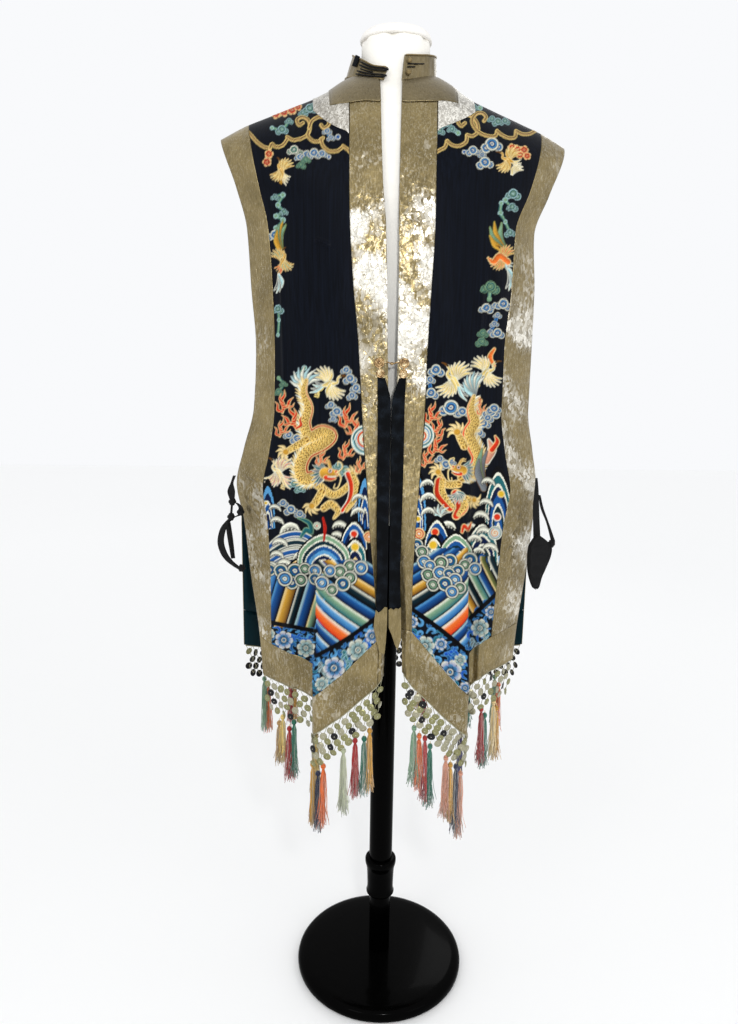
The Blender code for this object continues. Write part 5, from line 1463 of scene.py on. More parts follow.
def draw_back(board):
    """The back isn't seen: a like layout, with its own dragon, clouds, waves and striped foot."""
    middle = BACK_MIDDLE
    clouds(board, ((BLUES, (middle - 60, 240, 6), (middle - 50, 246, 4), (middle - 42, 238, 6)),
                   (TEALS, (middle + 55, 250, 6), (middle + 64, 244, 4), (middle + 70, 252, 5)),
                   (TEALS, (middle - 78, 330, 6), (middle - 70, 338, 4)),
                   (BLUES, (middle + 72, 350, 6), (middle + 80, 358, 4)),
                   (BLUES, (middle - 40, 500, 6), (middle - 30, 506, 5), (middle - 22, 498, 4)),
                   (TEALS, (middle + 48, 520, 6), (middle + 58, 514, 5)),
                   (BLUES, (middle - 74, 560, 6), (middle - 66, 568, 4)),
                   (TEALS, (middle + 12, 560, 6), (middle + 22, 554, 4))))
    bird(board, (middle - 58, 290), 26, False, BIRD_GOLD, BIRD_CREAM, True, 0.3)
    bird(board, (middle + 58, 300), 26, True, BIRD_CREAM, BIRD_GREY, True, 0.3)
    spine = [(middle + 16, 420), (middle + 34, 432), (middle + 46, 456), (middle + 20, 476),
             (middle - 20, 466), (middle - 48, 482), (middle - 44, 516), (middle - 10, 528),
             (middle + 26, 520), (middle + 52, 540), (middle + 40, 572)]
    legs = (([(middle + 44, 450), (middle + 62, 452), (middle + 74, 440)], 13, 0.9),
            ([(middle - 10, 468), (middle - 20, 446), (middle - 34, 436)], 13, 2.6),
            ([(middle - 44, 500), (middle - 66, 506), (middle - 76, 520)], 12, 3.9),
            ([(middle + 20, 522), (middle + 28, 546), (middle + 16, 560)], 12, 4.6))
    dragon(board, spine, 12, legs, ((middle, 412), 24, 0.2), False, 1.0)
    flames(board, ((middle - 30, 404, 14, 0.2, False), (middle + 66, 410, 14, -0.3, True),
                   (middle - 70, 460, 13, 0.1, False), (middle + 76, 500, 13, 0.0, True)))
    pearl(board, middle - 46, 396, 14)
    for k, u in enumerate((middle - 70, middle, middle + 70)):
        rock(board, u, 640, 30, 46, ("white", "bright", "white", "teal", "white", "blue", "navy"),
             "yellow" if k == 1 else "flame")
    for k in range(8):
        spray(board, (middle - 96 + 28 * k, 604 + 6 * (k % 2)), 12, bool(k % 2))
    tilt = board.v + 0.25 * np.abs(board.u - middle)
    banded(board, tilt > 650, board.v - 1.6 * (np.abs(board.u - middle) % 70) ** 0.8 - 40,
           lined_up(530, ARCHED + ARCHED[:4]))
    rings = []
    for row in range(3):
        for k in range(15):
            rings.append((middle - 112 + 16 * k + 8 * (row % 2), 636 + 9 * row))
    circles(board, rings, 8.2)


def crumple(across, up, seed, size=0.016, count=7):
    """Sharp uneven creases, as in crushed foil, about 0 and at most 1 high."""
    rng = np.random.default_rng(seed)
    total = np.zeros(across.shape)
    weight = 0.0
    for _ in range(count):
        angle = rng.uniform(0.0, math.pi)
        wave = size * rng.uniform(0.55, 2.0)
        first = across * rng.uniform(30, 120) + up * rng.uniform(-110, 110) + rng.uniform(0, 6)
        second = across * rng.uniform(-160, 160) + up * rng.uniform(60, 190) + rng.uniform(0, 6)
        wander = 0.45 * np.sin(first) + 0.35 * np.sin(second)
        phase = (across * math.cos(angle) + up * math.sin(angle)) / wave + wander + rng.uniform()
        share = wave / size
        total += (np.abs((phase % 1.0) - 0.5) * 4.0 - 1.0) * share
        weight += share
    return total / weight * 1.6


def patches(across, up, seed, size=0.07):
    """Slow random patches from 0 to 1."""
    rng = np.random.default_rng(seed)
    total = np.zeros(across.shape)
    for _ in range(6):
        first = across * rng.uniform(-1, 1) * 6.0 / size
        second = up * rng.uniform(-1, 1) * 6.0 / size
        total += np.sin(first + second + rng.uniform(0, 6))
    return smooth(0.5 + total * 0.22)


def creased(across, up, lines):
    """Single soft folds: each is (first place, last place, half width, height)."""
    total = np.zeros(across.shape)
    for (x0, z0), (x1, z1), half, rise in lines:
        size = math.hypot(x1 - x0, z1 - z0)
        dx = (x1 - x0) / size
        dz = (z1 - z0) / size
        w = (across - x0) * dx + (up - z0) * dz
        off = ((across - x0) * dz - (up - z0) * dx) / half
        ends = smooth(w / (0.25 * size) + 0.2) * smooth((size - w) / (0.25 * size) + 0.2)
        total += rise * np.exp(-off * off * 2.0) * ends
    return total


def crush_and_glint_strength(side, part, z):
    """How crushed the metal cloth is at each height; the same strength sets its painted glints, so the rows
    also follow where it is to look bright and where dull.
    """
    rows = {
        "center": ((0.60, 0.12), (0.85, 0.14), (1.00, 0.24), (1.10, 0.55), (1.17, 0.80), (1.22, 1.02),
                   (1.36, 1.05), (1.40, 0.80), (1.44, 0.44), (1.50, 0.30), (1.60, 0.12)),
        "side": ((0.60, 0.46), (0.70, 0.52), (0.80, 0.56), (0.90, 0.66), (1.00, 0.56), (1.10, 0.62),
                 (1.17, 0.66), (1.20, 0.88), (1.24, 0.62), (1.30, 0.42), (1.36, 0.26), (1.43, 0.22),
                 (1.50, 0.44), (1.60, 0.52)),
        "hem": ((0.50, 0.36), (0.80, 0.36)),
    }[part]
    strength = np.interp(z, [row[0] for row in rows], [row[1] for row in rows])
    # Painted light and shade by side: the right side band is made duller above about 1 m, and the left side
    # band below 1.05 m and the right centre band at the chest brighter.
    if part == "side" and side == "right":
        strength = strength * np.interp(z, (0.92, 1.04), (0.90, 0.42))
    if part == "side" and side == "left":
        strength = strength * np.interp(z, (1.05, 1.15), (1.16, 1.0))
    if part == "center" and side == "right":
        strength = strength * np.interp(z, (1.10, 1.20, 1.34, 1.42), (0.9, 1.14, 1.14, 1.0))
    return strength


MATERIALS = {}


def stuff(name):
    """Each finish is made once, when the first piece asks for it."""
    colours = bpy.context.scene.vest_colours
    if name not in MATERIALS:
        makers = {
            "silk": lambda: embroidered_silk(tuple(colours.silk)),
            "metal": lambda: metal_cloth(tuple(colours.metal)),
            "lining": lambda: woven("Teal lining", tuple(colours.lining), 0.5, 1300.0, 0.25, 0.0, 0.0),
            "form_cloth": lambda: woven("Form cotton", hue(253, 250, 242), 0.85, 1100.0, 0.1, 0.0, 0.1, 0.25),
            "cap": lambda: woven("Form cap cotton", hue(253, 250, 244), 0.8, 1100.0, 0.08, 0.0, 0.1, 0.2),
            "patch": lambda: metal_cloth(hue(150, 144, 132), "Bright crushed metal cloth", 420.0),
            "yoke": lambda: metal_cloth(hue(116, 104, 76), "Smooth metal cloth"),
            "velvet": velvet,
            "ribbon": lambda: ribbed("Black ribbon", hue(7, 7, 9), 0.6, 700.0),
            "gold_thread": lambda: ribbed("Gold thread", hue(140, 122, 84), 0.4, 900.0, 0.4),
            "gilt": gilt,
            "enamel": enamel,
            "net": lambda: tinted("Net cord and sequins", 0.35, 0.35),
            "tassel": lambda: tinted("Silk tassel thread", 0.6, 0.0, 0.5),
        }
        MATERIALS[name] = makers[name]()
    return MATERIALS[name]


def velvet():
    """Black velvet with a soft nap."""
    material, shader, n = finish("Black velvet", hue(8, 9, 12), 0.9, 0.0, 0.05)
    shader.inputs["Sheen Tint"].default_value = full(hue(90, 96, 108))
    shader.inputs["Specular IOR Level"].default_value = 0.1
    where = n.add("TexCoord").outputs["Object"]
    pile = n.add("TexNoise", {"Vector": where, "Scale": 900.0, "Detail": 3.0})
    nap = n.add("TexNoise", {"Vector": where, "Scale": 60.0, "Detail": 3.0})
    tone = n.ramp(n.math("ADD", n.math("MULTIPLY", nap.outputs[0], 0.6),
                         n.math("MULTIPLY", pile.outputs[0], 0.4)),
                  [(0.3, hue(3, 4, 6)), (0.5, hue(6, 8, 11)), (0.72, hue(26, 32, 40))])
    n.tree.links.new(tone, shader.inputs["Base Color"])
    bump(n, shader, pile.outputs[0], 0.6, 0.0004)
    return material


def ribbed(name, colour, roughness, ribs, metallic=0.0):
    """Ribbon or couched thread: fine ribs across, from Object coordinates."""
    material, shader, n = finish(name, colour, roughness, metallic, 0.04)
    shader.inputs["Specular IOR Level"].default_value = 0.2
    where = n.add("SeparateXYZ", {0: n.add("TexCoord").outputs["Object"]})
    rib = n.math("SINE", n.math("MULTIPLY", where.outputs[2], ribs * 2.0 * math.pi))
    spots = n.add("TexNoise", {"Vector": n.add("TexCoord").outputs["Object"], "Scale": 240.0, "Detail": 4.0})
    shade = n.math("ADD", n.math("MULTIPLY", rib, 0.12),
                   n.math("ADD", n.math("MULTIPLY", spots.outputs[0], 0.7), 0.6))
    n.tree.links.new(shaded(n, full(colour), shade), shader.inputs["Base Color"])
    bump(n, shader, n.math("ADD", rib, spots.outputs[0]), 0.5, 0.0003)
    return material


def gilt():
    """Worn gilt brass."""
    material, shader, n = finish("Worn gilt brass", hue(176, 150, 104), 0.3, 0.9)
    where = n.add("TexCoord").outputs["Object"]
    wear = n.add("TexNoise", {"Vector": where, "Scale": 160.0, "Detail": 6.0})
    tone = n.ramp(wear.outputs[0], [(0.35, hue(96, 74, 52)), (0.5, hue(156, 128, 88)),
                                    (0.7, hue(214, 196, 160))])
    n.tree.links.new(tone, shader.inputs["Base Color"])
    rough = n.math("ADD", n.math("MULTIPLY", wear.outputs[0], 0.35), 0.15)
    n.tree.links.new(rough, shader.inputs["Roughness"])
    grain = n.add("TexNoise", {"Vector": where, "Scale": 900.0, "Detail": 3.0})
    bump(n, shader, grain.outputs[0], 0.3, 0.0002)
    return material


def enamel():
    """Gloss black enamel with a little dust on top."""
    material, shader, n = finish("Gloss black enamel", hue(1, 1, 1), 0.3, 0.0, 0.0, 0.02)
    shader.inputs["Coat Roughness"].default_value = 0.06
    shader.inputs["Specular IOR Level"].default_value = 0.015
    where = n.add("TexCoord").outputs["Object"]
    dust = n.add("TexNoise", {"Vector": where, "Scale": 55.0, "Detail": 8.0, "Roughness": 0.75})
    facing = n.add("SeparateXYZ", {0: n.add("NewGeometry").outputs["Normal"]})
    share = n.math("MULTIPLY", n.math("MAXIMUM", facing.outputs[2], 0.0), dust.outputs[0])
    tone = n.mix(n.math("MULTIPLY", share, 0.01), full(hue(1, 1, 1)), full(hue(90, 88, 84)))
    n.tree.links.new(tone, shader.inputs["Base Color"])
    rough = n.math("ADD", n.math("MULTIPLY", dust.outputs[0], 0.14), 0.10)
    n.tree.links.new(rough, shader.inputs["Roughness"])
    peel = n.add("TexNoise", {"Vector": where, "Scale": 180.0, "Detail": 2.0})
    bump(n, shader, peel.outputs[0], 0.12, 0.0002)
    return material


def tinted(name, roughness, metallic, sheen=0.0):
    """Takes its colour from the points, with a thread grain; the tint's fourth part is its metal share."""
    material, shader, n = finish(name, hue(160, 150, 120), roughness, metallic, sheen)
    laid = n.add("Attribute", attribute_name="laid")
    where = n.add("TexCoord").outputs["Object"]
    grain = n.add("TexNoise", {"Vector": where, "Scale": 800.0, "Detail": 3.0})
    shade = n.math("ADD", n.math("MULTIPLY", grain.outputs[0], 0.6), 0.68)
    n.tree.links.new(shaded(n, laid.outputs["Color"], shade), shader.inputs["Base Color"])
    if metallic:
        n.tree.links.new(laid.outputs["Alpha"], shader.inputs["Metallic"])
    bump(n, shader, grain.outputs[0], 0.4, 0.0003)
    return material


def mark_crush_and_glint(piece, strength, total):
    """Tells the metal cloth how crushed it is at each outer point, which also sets where glints are painted
    on it.
    """
    values = np.zeros((len(piece.data.vertices), 4))
    values[:total] = np.asarray(strength).ravel()[:, None]
    tint(piece, "crush_and_glint", values)


def settle(piece, *nodes):
    """Puts a finished piece on the model's one body, in place of its CAD nodes."""
    if nodes:
        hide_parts(*nodes)
    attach(piece, "root")
    return piece


def turned(name, profile, sides, material, oval=1.0, angle=40.0):
    """A round piece raised ring by ring from a disc: rows are (radius, height)."""
    bpy.ops.object.select_all(action="DESELECT")
    radius, height = profile[0]
    bpy.ops.mesh.primitive_circle_add(vertices=sides, radius=radius, fill_type="NGON",
                                      location=(0.0, 0.0, height))
    piece = bpy.context.object
    piece.name = name
    piece.data.name = name
    bpy.ops.object.mode_set(mode="EDIT")
    bpy.ops.mesh.select_all(action="SELECT")
    for next_radius, next_height in profile[1:]:
        bpy.ops.mesh.extrude_region_move(TRANSFORM_OT_translate={"value": (0.0, 0.0, next_height - height)})
        share = next_radius / radius
        bpy.ops.transform.resize(value=(share, share, 1.0), center_override=(0.0, 0.0, next_height))
        radius, height = next_radius, next_height
    bpy.ops.mesh.select_all(action="SELECT")
    if oval != 1.0:
        bpy.ops.transform.resize(value=(1.0, oval, 1.0), center_override=(0.0, 0.0, 0.0))
    bpy.ops.mesh.normals_make_consistent(inside=False)
    bpy.ops.object.mode_set(mode="OBJECT")
    bpy.ops.object.transform_apply(location=True, rotation=True, scale=True)
    bpy.ops.object.shade_smooth_by_angle(angle=math.radians(angle))
    piece.data.materials.append(material)
    return piece


def tube_mesh(lines, sides=6):
    """Closed tubes along lines of (points, radii): gives points, faces and which line each point is from."""
    points = []
    faces = []
    owner = []
    for index, (line, radii) in enumerate(lines):
        line = np.asarray(line, dtype=float)
        count = len(line)
        ahead = np.gradient(line, axis=0)
        ahead /= np.maximum(np.linalg.norm(ahead, axis=1), 1e-9)[:, None]
        side = np.cross(ahead[0], (0.0, 0.0, 1.0) if abs(ahead[0][2]) < 0.9 else (0.0, 1.0, 0.0))
        side /= np.linalg.norm(side)
        first = len(points)
        for k in range(count):
            side = side - ahead[k] * (side @ ahead[k])
            side /= np.linalg.norm(side)
            other = np.cross(ahead[k], side)
            radius = radii[k] if np.ndim(radii) else radii
            for m in range(sides):
                a = 2.0 * math.pi * m / sides
                points.append(line[k] + (side * math.cos(a) + other * math.sin(a)) * radius)
                owner.append(index)
        for k in range(count - 1):
            for m in range(sides):
                a = first + k * sides + m
                b = first + k * sides + (m + 1) % sides
                faces.append((a, b, b + sides, a + sides))
        faces.append(tuple(range(first + sides - 1, first - 1, -1)))
        faces.append(tuple(range(len(points) - sides, len(points))))
    return np.array(points), faces, np.array(owner)


def ribbon_mesh(rows, thick, steps=6, across=4, wave=0.0):
    """A ribbon through rows of (left point, right point), smoothed along, a little cupped across."""
    left, right = [spline(np.array([row[k] for row in rows], dtype=float), steps) for k in (0, 1)]
    share = np.linspace(0.0, 1.0, across + 1)
    middle = left[:, None, :] * (1.0 - share[None, :, None]) + right[:, None, :] * share[None, :, None]
    along = np.gradient((left + right) / 2.0, axis=0)
    normal = np.cross(right - left, along)
    normal /= np.maximum(np.linalg.norm(normal, axis=1), 1e-9)[:, None]
    cup = np.sin(share * math.pi)[None, :] * wave * np.sin(np.arange(len(left)) * 0.7)[:, None]
    outer = middle + normal[:, None, :] * (cup + thick / 2.0)[..., None]
    inner = middle + normal[:, None, :] * (cup - thick / 2.0)[..., None]
    return plate(outer, inner)


def plate(outer, inner):
    """A closed wall between two grids of points of the same size: gives points and faces."""
    rows, columns = outer.shape[:2]
    total = rows * columns
    grid = np.arange(total).reshape(rows, columns)
    faces = quads(grid)
    faces += [[k + total for k in reversed(face)] for face in faces]
    rim = [int(k) for k in [*grid[0], *grid[1:, -1], *grid[-1, -2::-1], *grid[-2:0:-1, 0]]]
    for a, b in zip(rim, rim[1:] + rim[:1]):
        faces.append([b, a, a + total, b + total])
    points = np.concatenate([outer.reshape(-1, 3), inner.reshape(-1, 3)])
    return points, outward(points, faces)


def signed_volume(points, faces):
    """Six times the volume within faces: below 0 where they face in."""
    total = 0.0
    for face in faces:
        a = points[face[0]]
        for k in range(1, len(face) - 1):
            total += float(a @ np.cross(points[face[k]], points[face[k + 1]]))
    return total


def outward(points, faces):
    """The same faces, all turned round if they face in."""
    return [face[::-1] for face in faces] if signed_volume(points, faces) < 0.0 else faces


def silk_panel(name, node, surface, across, down, board, soft, other):
    """A shell of embroidered silk; other is the colour of its inner face, with the material for it."""
    sizes = bpy.context.scene.vest_sizes
    relief = board.height.reshape(soft.shape) * sizes.stitch + soft
    colour, materials = other
    piece, total = shell(name, surface, across, down, sizes.cloth, materials, relief=relief, step=6)
    laid, stitch = board.tints(len(piece.data.vertices) - total, colour)
    tint(piece, "laid", laid)
    tint(piece, "stitch", stitch)
    settle(piece, node)
    hung_cloth(piece)


def metal_band(name, node, surface, part, side, across, down, seeds, creases=()):
    """A crushed metal cloth band; seeds are for its creases and for its patches."""
    sizes = bpy.context.scene.vest_sizes
    s, t = np.meshgrid(across, down)
    place, _ = surface(s, t)
    x, z = place[..., 0], place[..., 2]
    # The strength sets both the crumpled relief and how many glints are painted on the cloth.
    strength = crush_and_glint_strength(side, part, z) * (0.35 + 0.65 * patches(x, z, seeds[1]))
    edge = np.minimum(1.0, np.minimum(s - across[0], across[-1] - s) / 0.08)
    relief = crumple(x, z, seeds[0]) * strength * sizes.crumple * edge
    relief += creased(np.abs(x), z, creases) * edge
    metal = [stuff("metal"), stuff("lining")]
    piece, total = shell(name, surface, across, down, sizes.cloth, metal, relief=relief, step=4)
    mark_crush_and_glint(piece, strength, total)
    settle(piece, node)
    hung_cloth(piece)


def join_meshes(parts):
    """One mesh from several (points, faces)."""
    points = []
    faces = []
    total = 0
    for some_points, some_faces in parts:
        points.append(np.asarray(some_points))
        faces += [[int(k) + total for k in face] for face in some_faces]
        total += len(some_points)
    return np.concatenate(points), faces


class VEST_OT_stage(bpy.types.Operator):
    """Adds the pale floor, the soft studio lights and the camera"""
    bl_idname = "vest.stage"
    bl_label = "Stage and camera"

    def execute(self, context):
        place, right, up, look = eye()
        camera = bpy.data.cameras.new("Camera")
        camera.sensor_width = 36.0
        camera.lens = FOCAL / PICTURE[1] * 36.0
        camera.clip_start = 0.01
        stand = bpy.data.objects.new("Camera", camera)
        turn = Matrix((right, up, -look)).transposed()
        stand.matrix_world = Matrix.Translation(place) @ turn.to_4x4()
        context.scene.collection.objects.link(stand)
        context.scene.camera = stand
        material, shader, n = finish("Pale floor", hue(244, 245, 242), 0.7)
        where = n.add("TexCoord").outputs["Object"]
        spots = n.add("TexNoise", {"Vector": where, "Scale": 3.0, "Detail": 6.0})
        # Painted light: the floor's colour gets lighter away from the middle, so that its far part fades into
        # the bright background; the noise adds faint mottling.
        away = n.add("VectorMath", {0: where}, operation="LENGTH").outputs["Value"]
        reach = n.math("ADD", n.math("MULTIPLY", away, 0.15), n.math("MULTIPLY", spots.outputs[0], 0.02))
        tone = n.ramp(reach, [(0.15, hue(244, 244, 243)), (0.60, hue(253, 253, 252))])
        n.tree.links.new(tone, shader.inputs["Base Color"])
        bpy.ops.object.select_all(action="DESELECT")
        bpy.ops.mesh.primitive_plane_add(size=14.0, location=(0.0, 0.0, -0.0002))
        floor = context.object
        floor.name = "floor"
        bpy.ops.object.transform_apply(location=True, rotation=True, scale=True)
        floor.data.materials.append(material)
        world = bpy.data.worlds.new("Studio")
        world.use_nodes = True
        world.node_tree.nodes["Background"].inputs["Color"].default_value = full(hue(250, 251, 253))
        world.node_tree.nodes["Background"].inputs["Strength"].default_value = 0.99
        context.scene.world = world
        context.scene.view_settings.view_transform = "Standard"
        # name, place, what it looks at, width, power
        lamps = (
            ("Key", (-1.5, -2.1, 2.5), (0.0, 0.0, 1.1), 0.8, 7.0),
            ("Fill", (1.9, -1.9, 1.7), (0.0, 0.0, 1.0), 1.2, 3.0),
            ("Flash", (0.10, -1.55, 1.50), (0.0, 0.0, 1.1), 0.12, 8.0),
            ("Rear", (0.9, 2.4, 2.4), (0.0, 0.0, 1.1), 0.8, 6.0),
        )
        for name, spot, target, wide, power in lamps:
            lamp = bpy.data.lights.new(name, "AREA")
            lamp.size = wide
            lamp.energy = power
            holder = bpy.data.objects.new(name, lamp)
            holder.location = spot
            holder.rotation_euler = (Vector(target) - Vector(spot)).to_track_quat("-Z", "Y").to_euler()
            context.scene.collection.objects.link(holder)
        return {"FINISHED"}


# Turned pieces of the form and its stand, from one end to the other: rows are (radius, height).
NECK_CAP = [(0.0520, 1.6568), (0.0556, 1.6570), (0.0566, 1.6588), (0.0566, 1.6610), (0.0556, 1.6635),
            (0.0545, 1.6660), (0.0525, 1.6686), (0.0490, 1.6712), (0.0430, 1.6734), (0.0340, 1.6749),
            (0.0200, 1.6758), (0.0060, 1.6760)]
UPPER_POLE = [(0.0205, 0.2270), (0.0220, 0.2275), (0.0220, 0.8990), (0.0210, 0.8995)]
LOWER_POLE = [(0.0200, 0.0262), (0.0200, 0.1476)]
FERRULE = [(0.0235, 0.1480), (0.0252, 0.1490), (0.0266, 0.1510), (0.0268, 0.1535), (0.0258, 0.1560),
           (0.0250, 0.1600), (0.0250, 0.1700), (0.0256, 0.1900), (0.0262, 0.2000), (0.0272, 0.2070),
           (0.0290, 0.2130), (0.0296, 0.2170), (0.0296, 0.2220), (0.0288, 0.2245), (0.0262, 0.2262),
           (0.0240, 0.2266)]
BASE = [(0.1540, 0.0002), (0.1572, 0.0008), (0.1592, 0.0030), (0.1600, 0.0065), (0.1600, 0.0110),
        (0.1590, 0.0150), (0.1560, 0.0188), (0.1500, 0.0215), (0.1400, 0.0230), (0.1100, 0.0243),
        (0.0700, 0.0252), (0.0400, 0.0256), (0.0260, 0.0259)]


class VEST_OT_form(bpy.types.Operator):
    """Builds the padded torso, its neck cap, the pole, its ferrule and the base"""
    bl_idname = "vest.form"
    bl_label = "Dress form"

    def execute(self, context):
        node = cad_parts["form_torso"]
        mesh = node.data.copy()
        mesh.name = "padded_torso"
        mesh.materials.clear()
        torso = bpy.data.objects.new("padded_torso", mesh)
        context.scene.collection.objects.link(torso)
        bpy.ops.object.select_all(action="DESELECT")
        torso.select_set(True)
        context.view_layer.objects.active = torso
        bpy.ops.object.mode_set(mode="EDIT")
        bpy.ops.mesh.select_all(action="SELECT")
        bpy.ops.mesh.remove_doubles(threshold=0.0001)
        bpy.ops.mesh.tris_convert_to_quads()
        bpy.ops.object.mode_set(mode="OBJECT")
        smoother = torso.modifiers.new("Smooth", "SUBSURF")
        smoother.levels = 2
        smoother.render_levels = 2
        bpy.ops.object.modifier_apply(modifier=smoother.name)
        bpy.ops.object.shade_smooth()
        torso.data.materials.append(stuff("form_cloth"))
        settle(torso, "form_torso")
        settle(turned("neck_top", NECK_CAP, 72, stuff("cap"), 0.955, 60.0), "neck_cap")
        settle(turned("upper_pole", UPPER_POLE, 64, stuff("enamel")), "pole")
        settle(turned("lower_pole", LOWER_POLE, 64, stuff("enamel")), "pole_lower")
        settle(turned("pole_ferrule", FERRULE, 72, stuff("enamel")), "ferrule")
        settle(turned("round_base", BASE, 128, stuff("enamel"), 1.0, 50.0), "base")
        return {"FINISHED"}


# Rows of points down the silk, close together where it is embroidered, and down the bands.
SILK_ROWS = spaced((0.0, 0.004, 3), (0.004, 0.165, 96), (0.165, 0.34, 84), (0.34, 0.9997, 418))
FRONT_BAND_ROWS = spaced((0.0, 0.004, 2), (0.004, 0.04, 14), (0.04, 0.9997, 440))

# Single creases of the cloth: two ends as (out from the middle, height), half width and rise.
SILK_CREASES = {
    "right": [((0.10, 1.335), (0.125, 1.345), 0.004, 0.003), ((0.178, 1.33), (0.172, 1.10), 0.005, 0.0016),
              ((0.09, 1.13), (0.16, 1.10), 0.006, 0.0015)],
    "left": [((0.138, 1.30), (0.136, 1.14), 0.004, 0.003), ((0.07, 1.15), (0.13, 1.155), 0.006, 0.0016),
             ((0.165, 1.42), (0.15, 1.30), 0.008, 0.0015)],
}


class VEST_OT_fronts(bpy.types.Operator):
    """Builds the two silk fronts with their embroidery"""
    bl_idname = "vest.fronts"
    bl_label = "Embroidered fronts"

    def execute(self, context):
        colours = context.scene.vest_colours
        across = spaced((1.0012, 1.485, 72), (1.485, 1.65, 26), (1.65, 1.9988, 46))
        for side, draw in (("right", draw_right), ("left", draw_left)):
            s, t = np.meshgrid(across, SILK_ROWS)
            surface = front_surface(side)
            place, _ = surface(s, t)
            board = Board(*in_picture(place), tuple(colours.silk))
            draw(board)
            inner = (colours.lining, [stuff("silk"), stuff("lining")])
            soft = silk_folds(side, place)
            silk_panel("silk_front_" + side, "front_" + side, surface, across, SILK_ROWS, board, soft, inner)
        return {"FINISHED"}


def silk_folds(side, place):
    """Soft waves over a silk front, with a few creases of its own."""
    x = np.abs(place[..., 0])
    z = place[..., 2]
    soft = 0.0012 * np.sin(x * 95.0 + z * 9.0) * smooth((1.42 - z) / 0.2) * smooth((z - 0.9) / 0.2)
    return soft + creased(x, z, SILK_CREASES[side])


class VEST_OT_front_bands(bpy.types.Operator):
    """Builds the crushed metal cloth bands of the two fronts"""
    bl_idname = "vest.front_bands"
    bl_label = "Front bands"

    def execute(self, context):
        hem_across = spaced((0.0, 1.0, 12), (1.0, 1.485, 46), (1.485, 1.65, 30), (1.65, 2.0, 30),
                            (2.0, 3.0, 16))
        runs = (
            ("center_band_", "band_center_", "center", spaced((0.0, 0.994, 26)), FRONT_BAND_ROWS),
            ("side_band_", "band_side_front_", "side", spaced((2.006, 3.0, 24)), FRONT_BAND_ROWS),
            ("hem_band_", "band_hem_front_", "hem", hem_across, spaced((1.0036, 2.0, 36))),
        )
        for index, side in enumerate(("right", "left")):
            for row, (name, node, part, across, down) in enumerate(runs):
                seed = 11 + 7 * index + 3 * row
                creases = BAND_CREASES[side] if part != "hem" else ()
                metal_band(name + side, node + side, front_surface(side), part, side, across, down,
                           (seed, seed + 1), creases)
        return {"FINISHED"}


# Single creases of the metal cloth: two ends as (out from the middle, height), half width and rise.
BAND_CREASES = {
    "right": [((0.20, 1.135), (0.235, 1.128), 0.004, 0.003), ((0.20, 1.110), (0.24, 1.100), 0.004, 0.0025),
              ((0.205, 0.965), (0.255, 0.985), 0.005, 0.003), ((0.21, 0.90), (0.245, 0.94), 0.004, 0.002)],
    "left": [((0.19, 1.135), (0.235, 1.140), 0.004, 0.003), ((0.185, 1.108), (0.235, 1.102), 0.004, 0.0025),
             ((0.185, 1.085), (0.235, 1.078), 0.004, 0.0022), ((0.195, 0.985), (0.25, 0.975), 0.005, 0.003)],
}


# The back's drawing: where the middle and the floor lie on its board, and board units in a metre.
BACK_MIDDLE = 369.0
BACK_LEVEL = 1155.0
BACK_SCALE = 620.0


class VEST_OT_back(bpy.types.Operator):
    """Builds the back silk, its bands and the teal lining that shows below it"""
    bl_idname = "vest.back"
    bl_label = "Back"

    def execute(self, context):
        sizes = context.scene.vest_sizes
        silk = tuple(context.scene.vest_colours.silk)
        down = spaced((0.0, 0.005, 2), (0.005, 0.9997, 366))
        across = spaced((-0.9992, 0.9992, 178))
        place, _ = back_surface(*np.meshgrid(across, down))
        x, z = place[..., 0], place[..., 2]
        board = Board(BACK_MIDDLE - x * BACK_SCALE, BACK_LEVEL - z * BACK_SCALE, silk)
        draw_back(board)
        soft = 0.0010 * np.sin(x * 80.0 + z * 6.0) * smooth((1.45 - z) / 0.2)
        silk_panel("silk_back", "back", back_surface, across, down, board, soft, (silk, [stuff("silk")]))
        rows = spaced((0.0, 0.005, 2), (0.005, 0.9997, 360))
        hem_across = spaced((-2.0, -1.0, 18), (-1.0, 1.0, 170), (1.0, 2.0, 18))
        runs = (
            ("side_band_back_right", "band_side_back_right", "side", spaced((-2.0, -1.004, 18)), rows),
            ("side_band_back_left", "band_side_back_left", "side", spaced((1.004, 2.0, 18)), rows),
            ("hem_band_back", "band_hem_back", "hem", hem_across, spaced((1.0036, 2.0, 30))),
        )
        for row, (name, node, part, across, down) in enumerate(runs):
            metal_band(name, node, back_surface, part, "back", across, down, (71 + row, 61 + row))
        lining, _ = shell("teal_lining", back_surface, spaced((-1.95, 1.95, 96)), spaced((0.29, 1.0, 90)),
                          0.0011, [stuff("lining")], lift=-sizes.cloth - LAID, step=3)
        settle(lining, "back_lining")
        hung_cloth(lining)
        return {"FINISHED"}


def narrowed(surface, reach):
    """The same surface with its rows drawn up, so that row 1 follows a curved lower edge."""
    def shaped(s, t):
        return surface(s, t * reach(s))
    return shaped


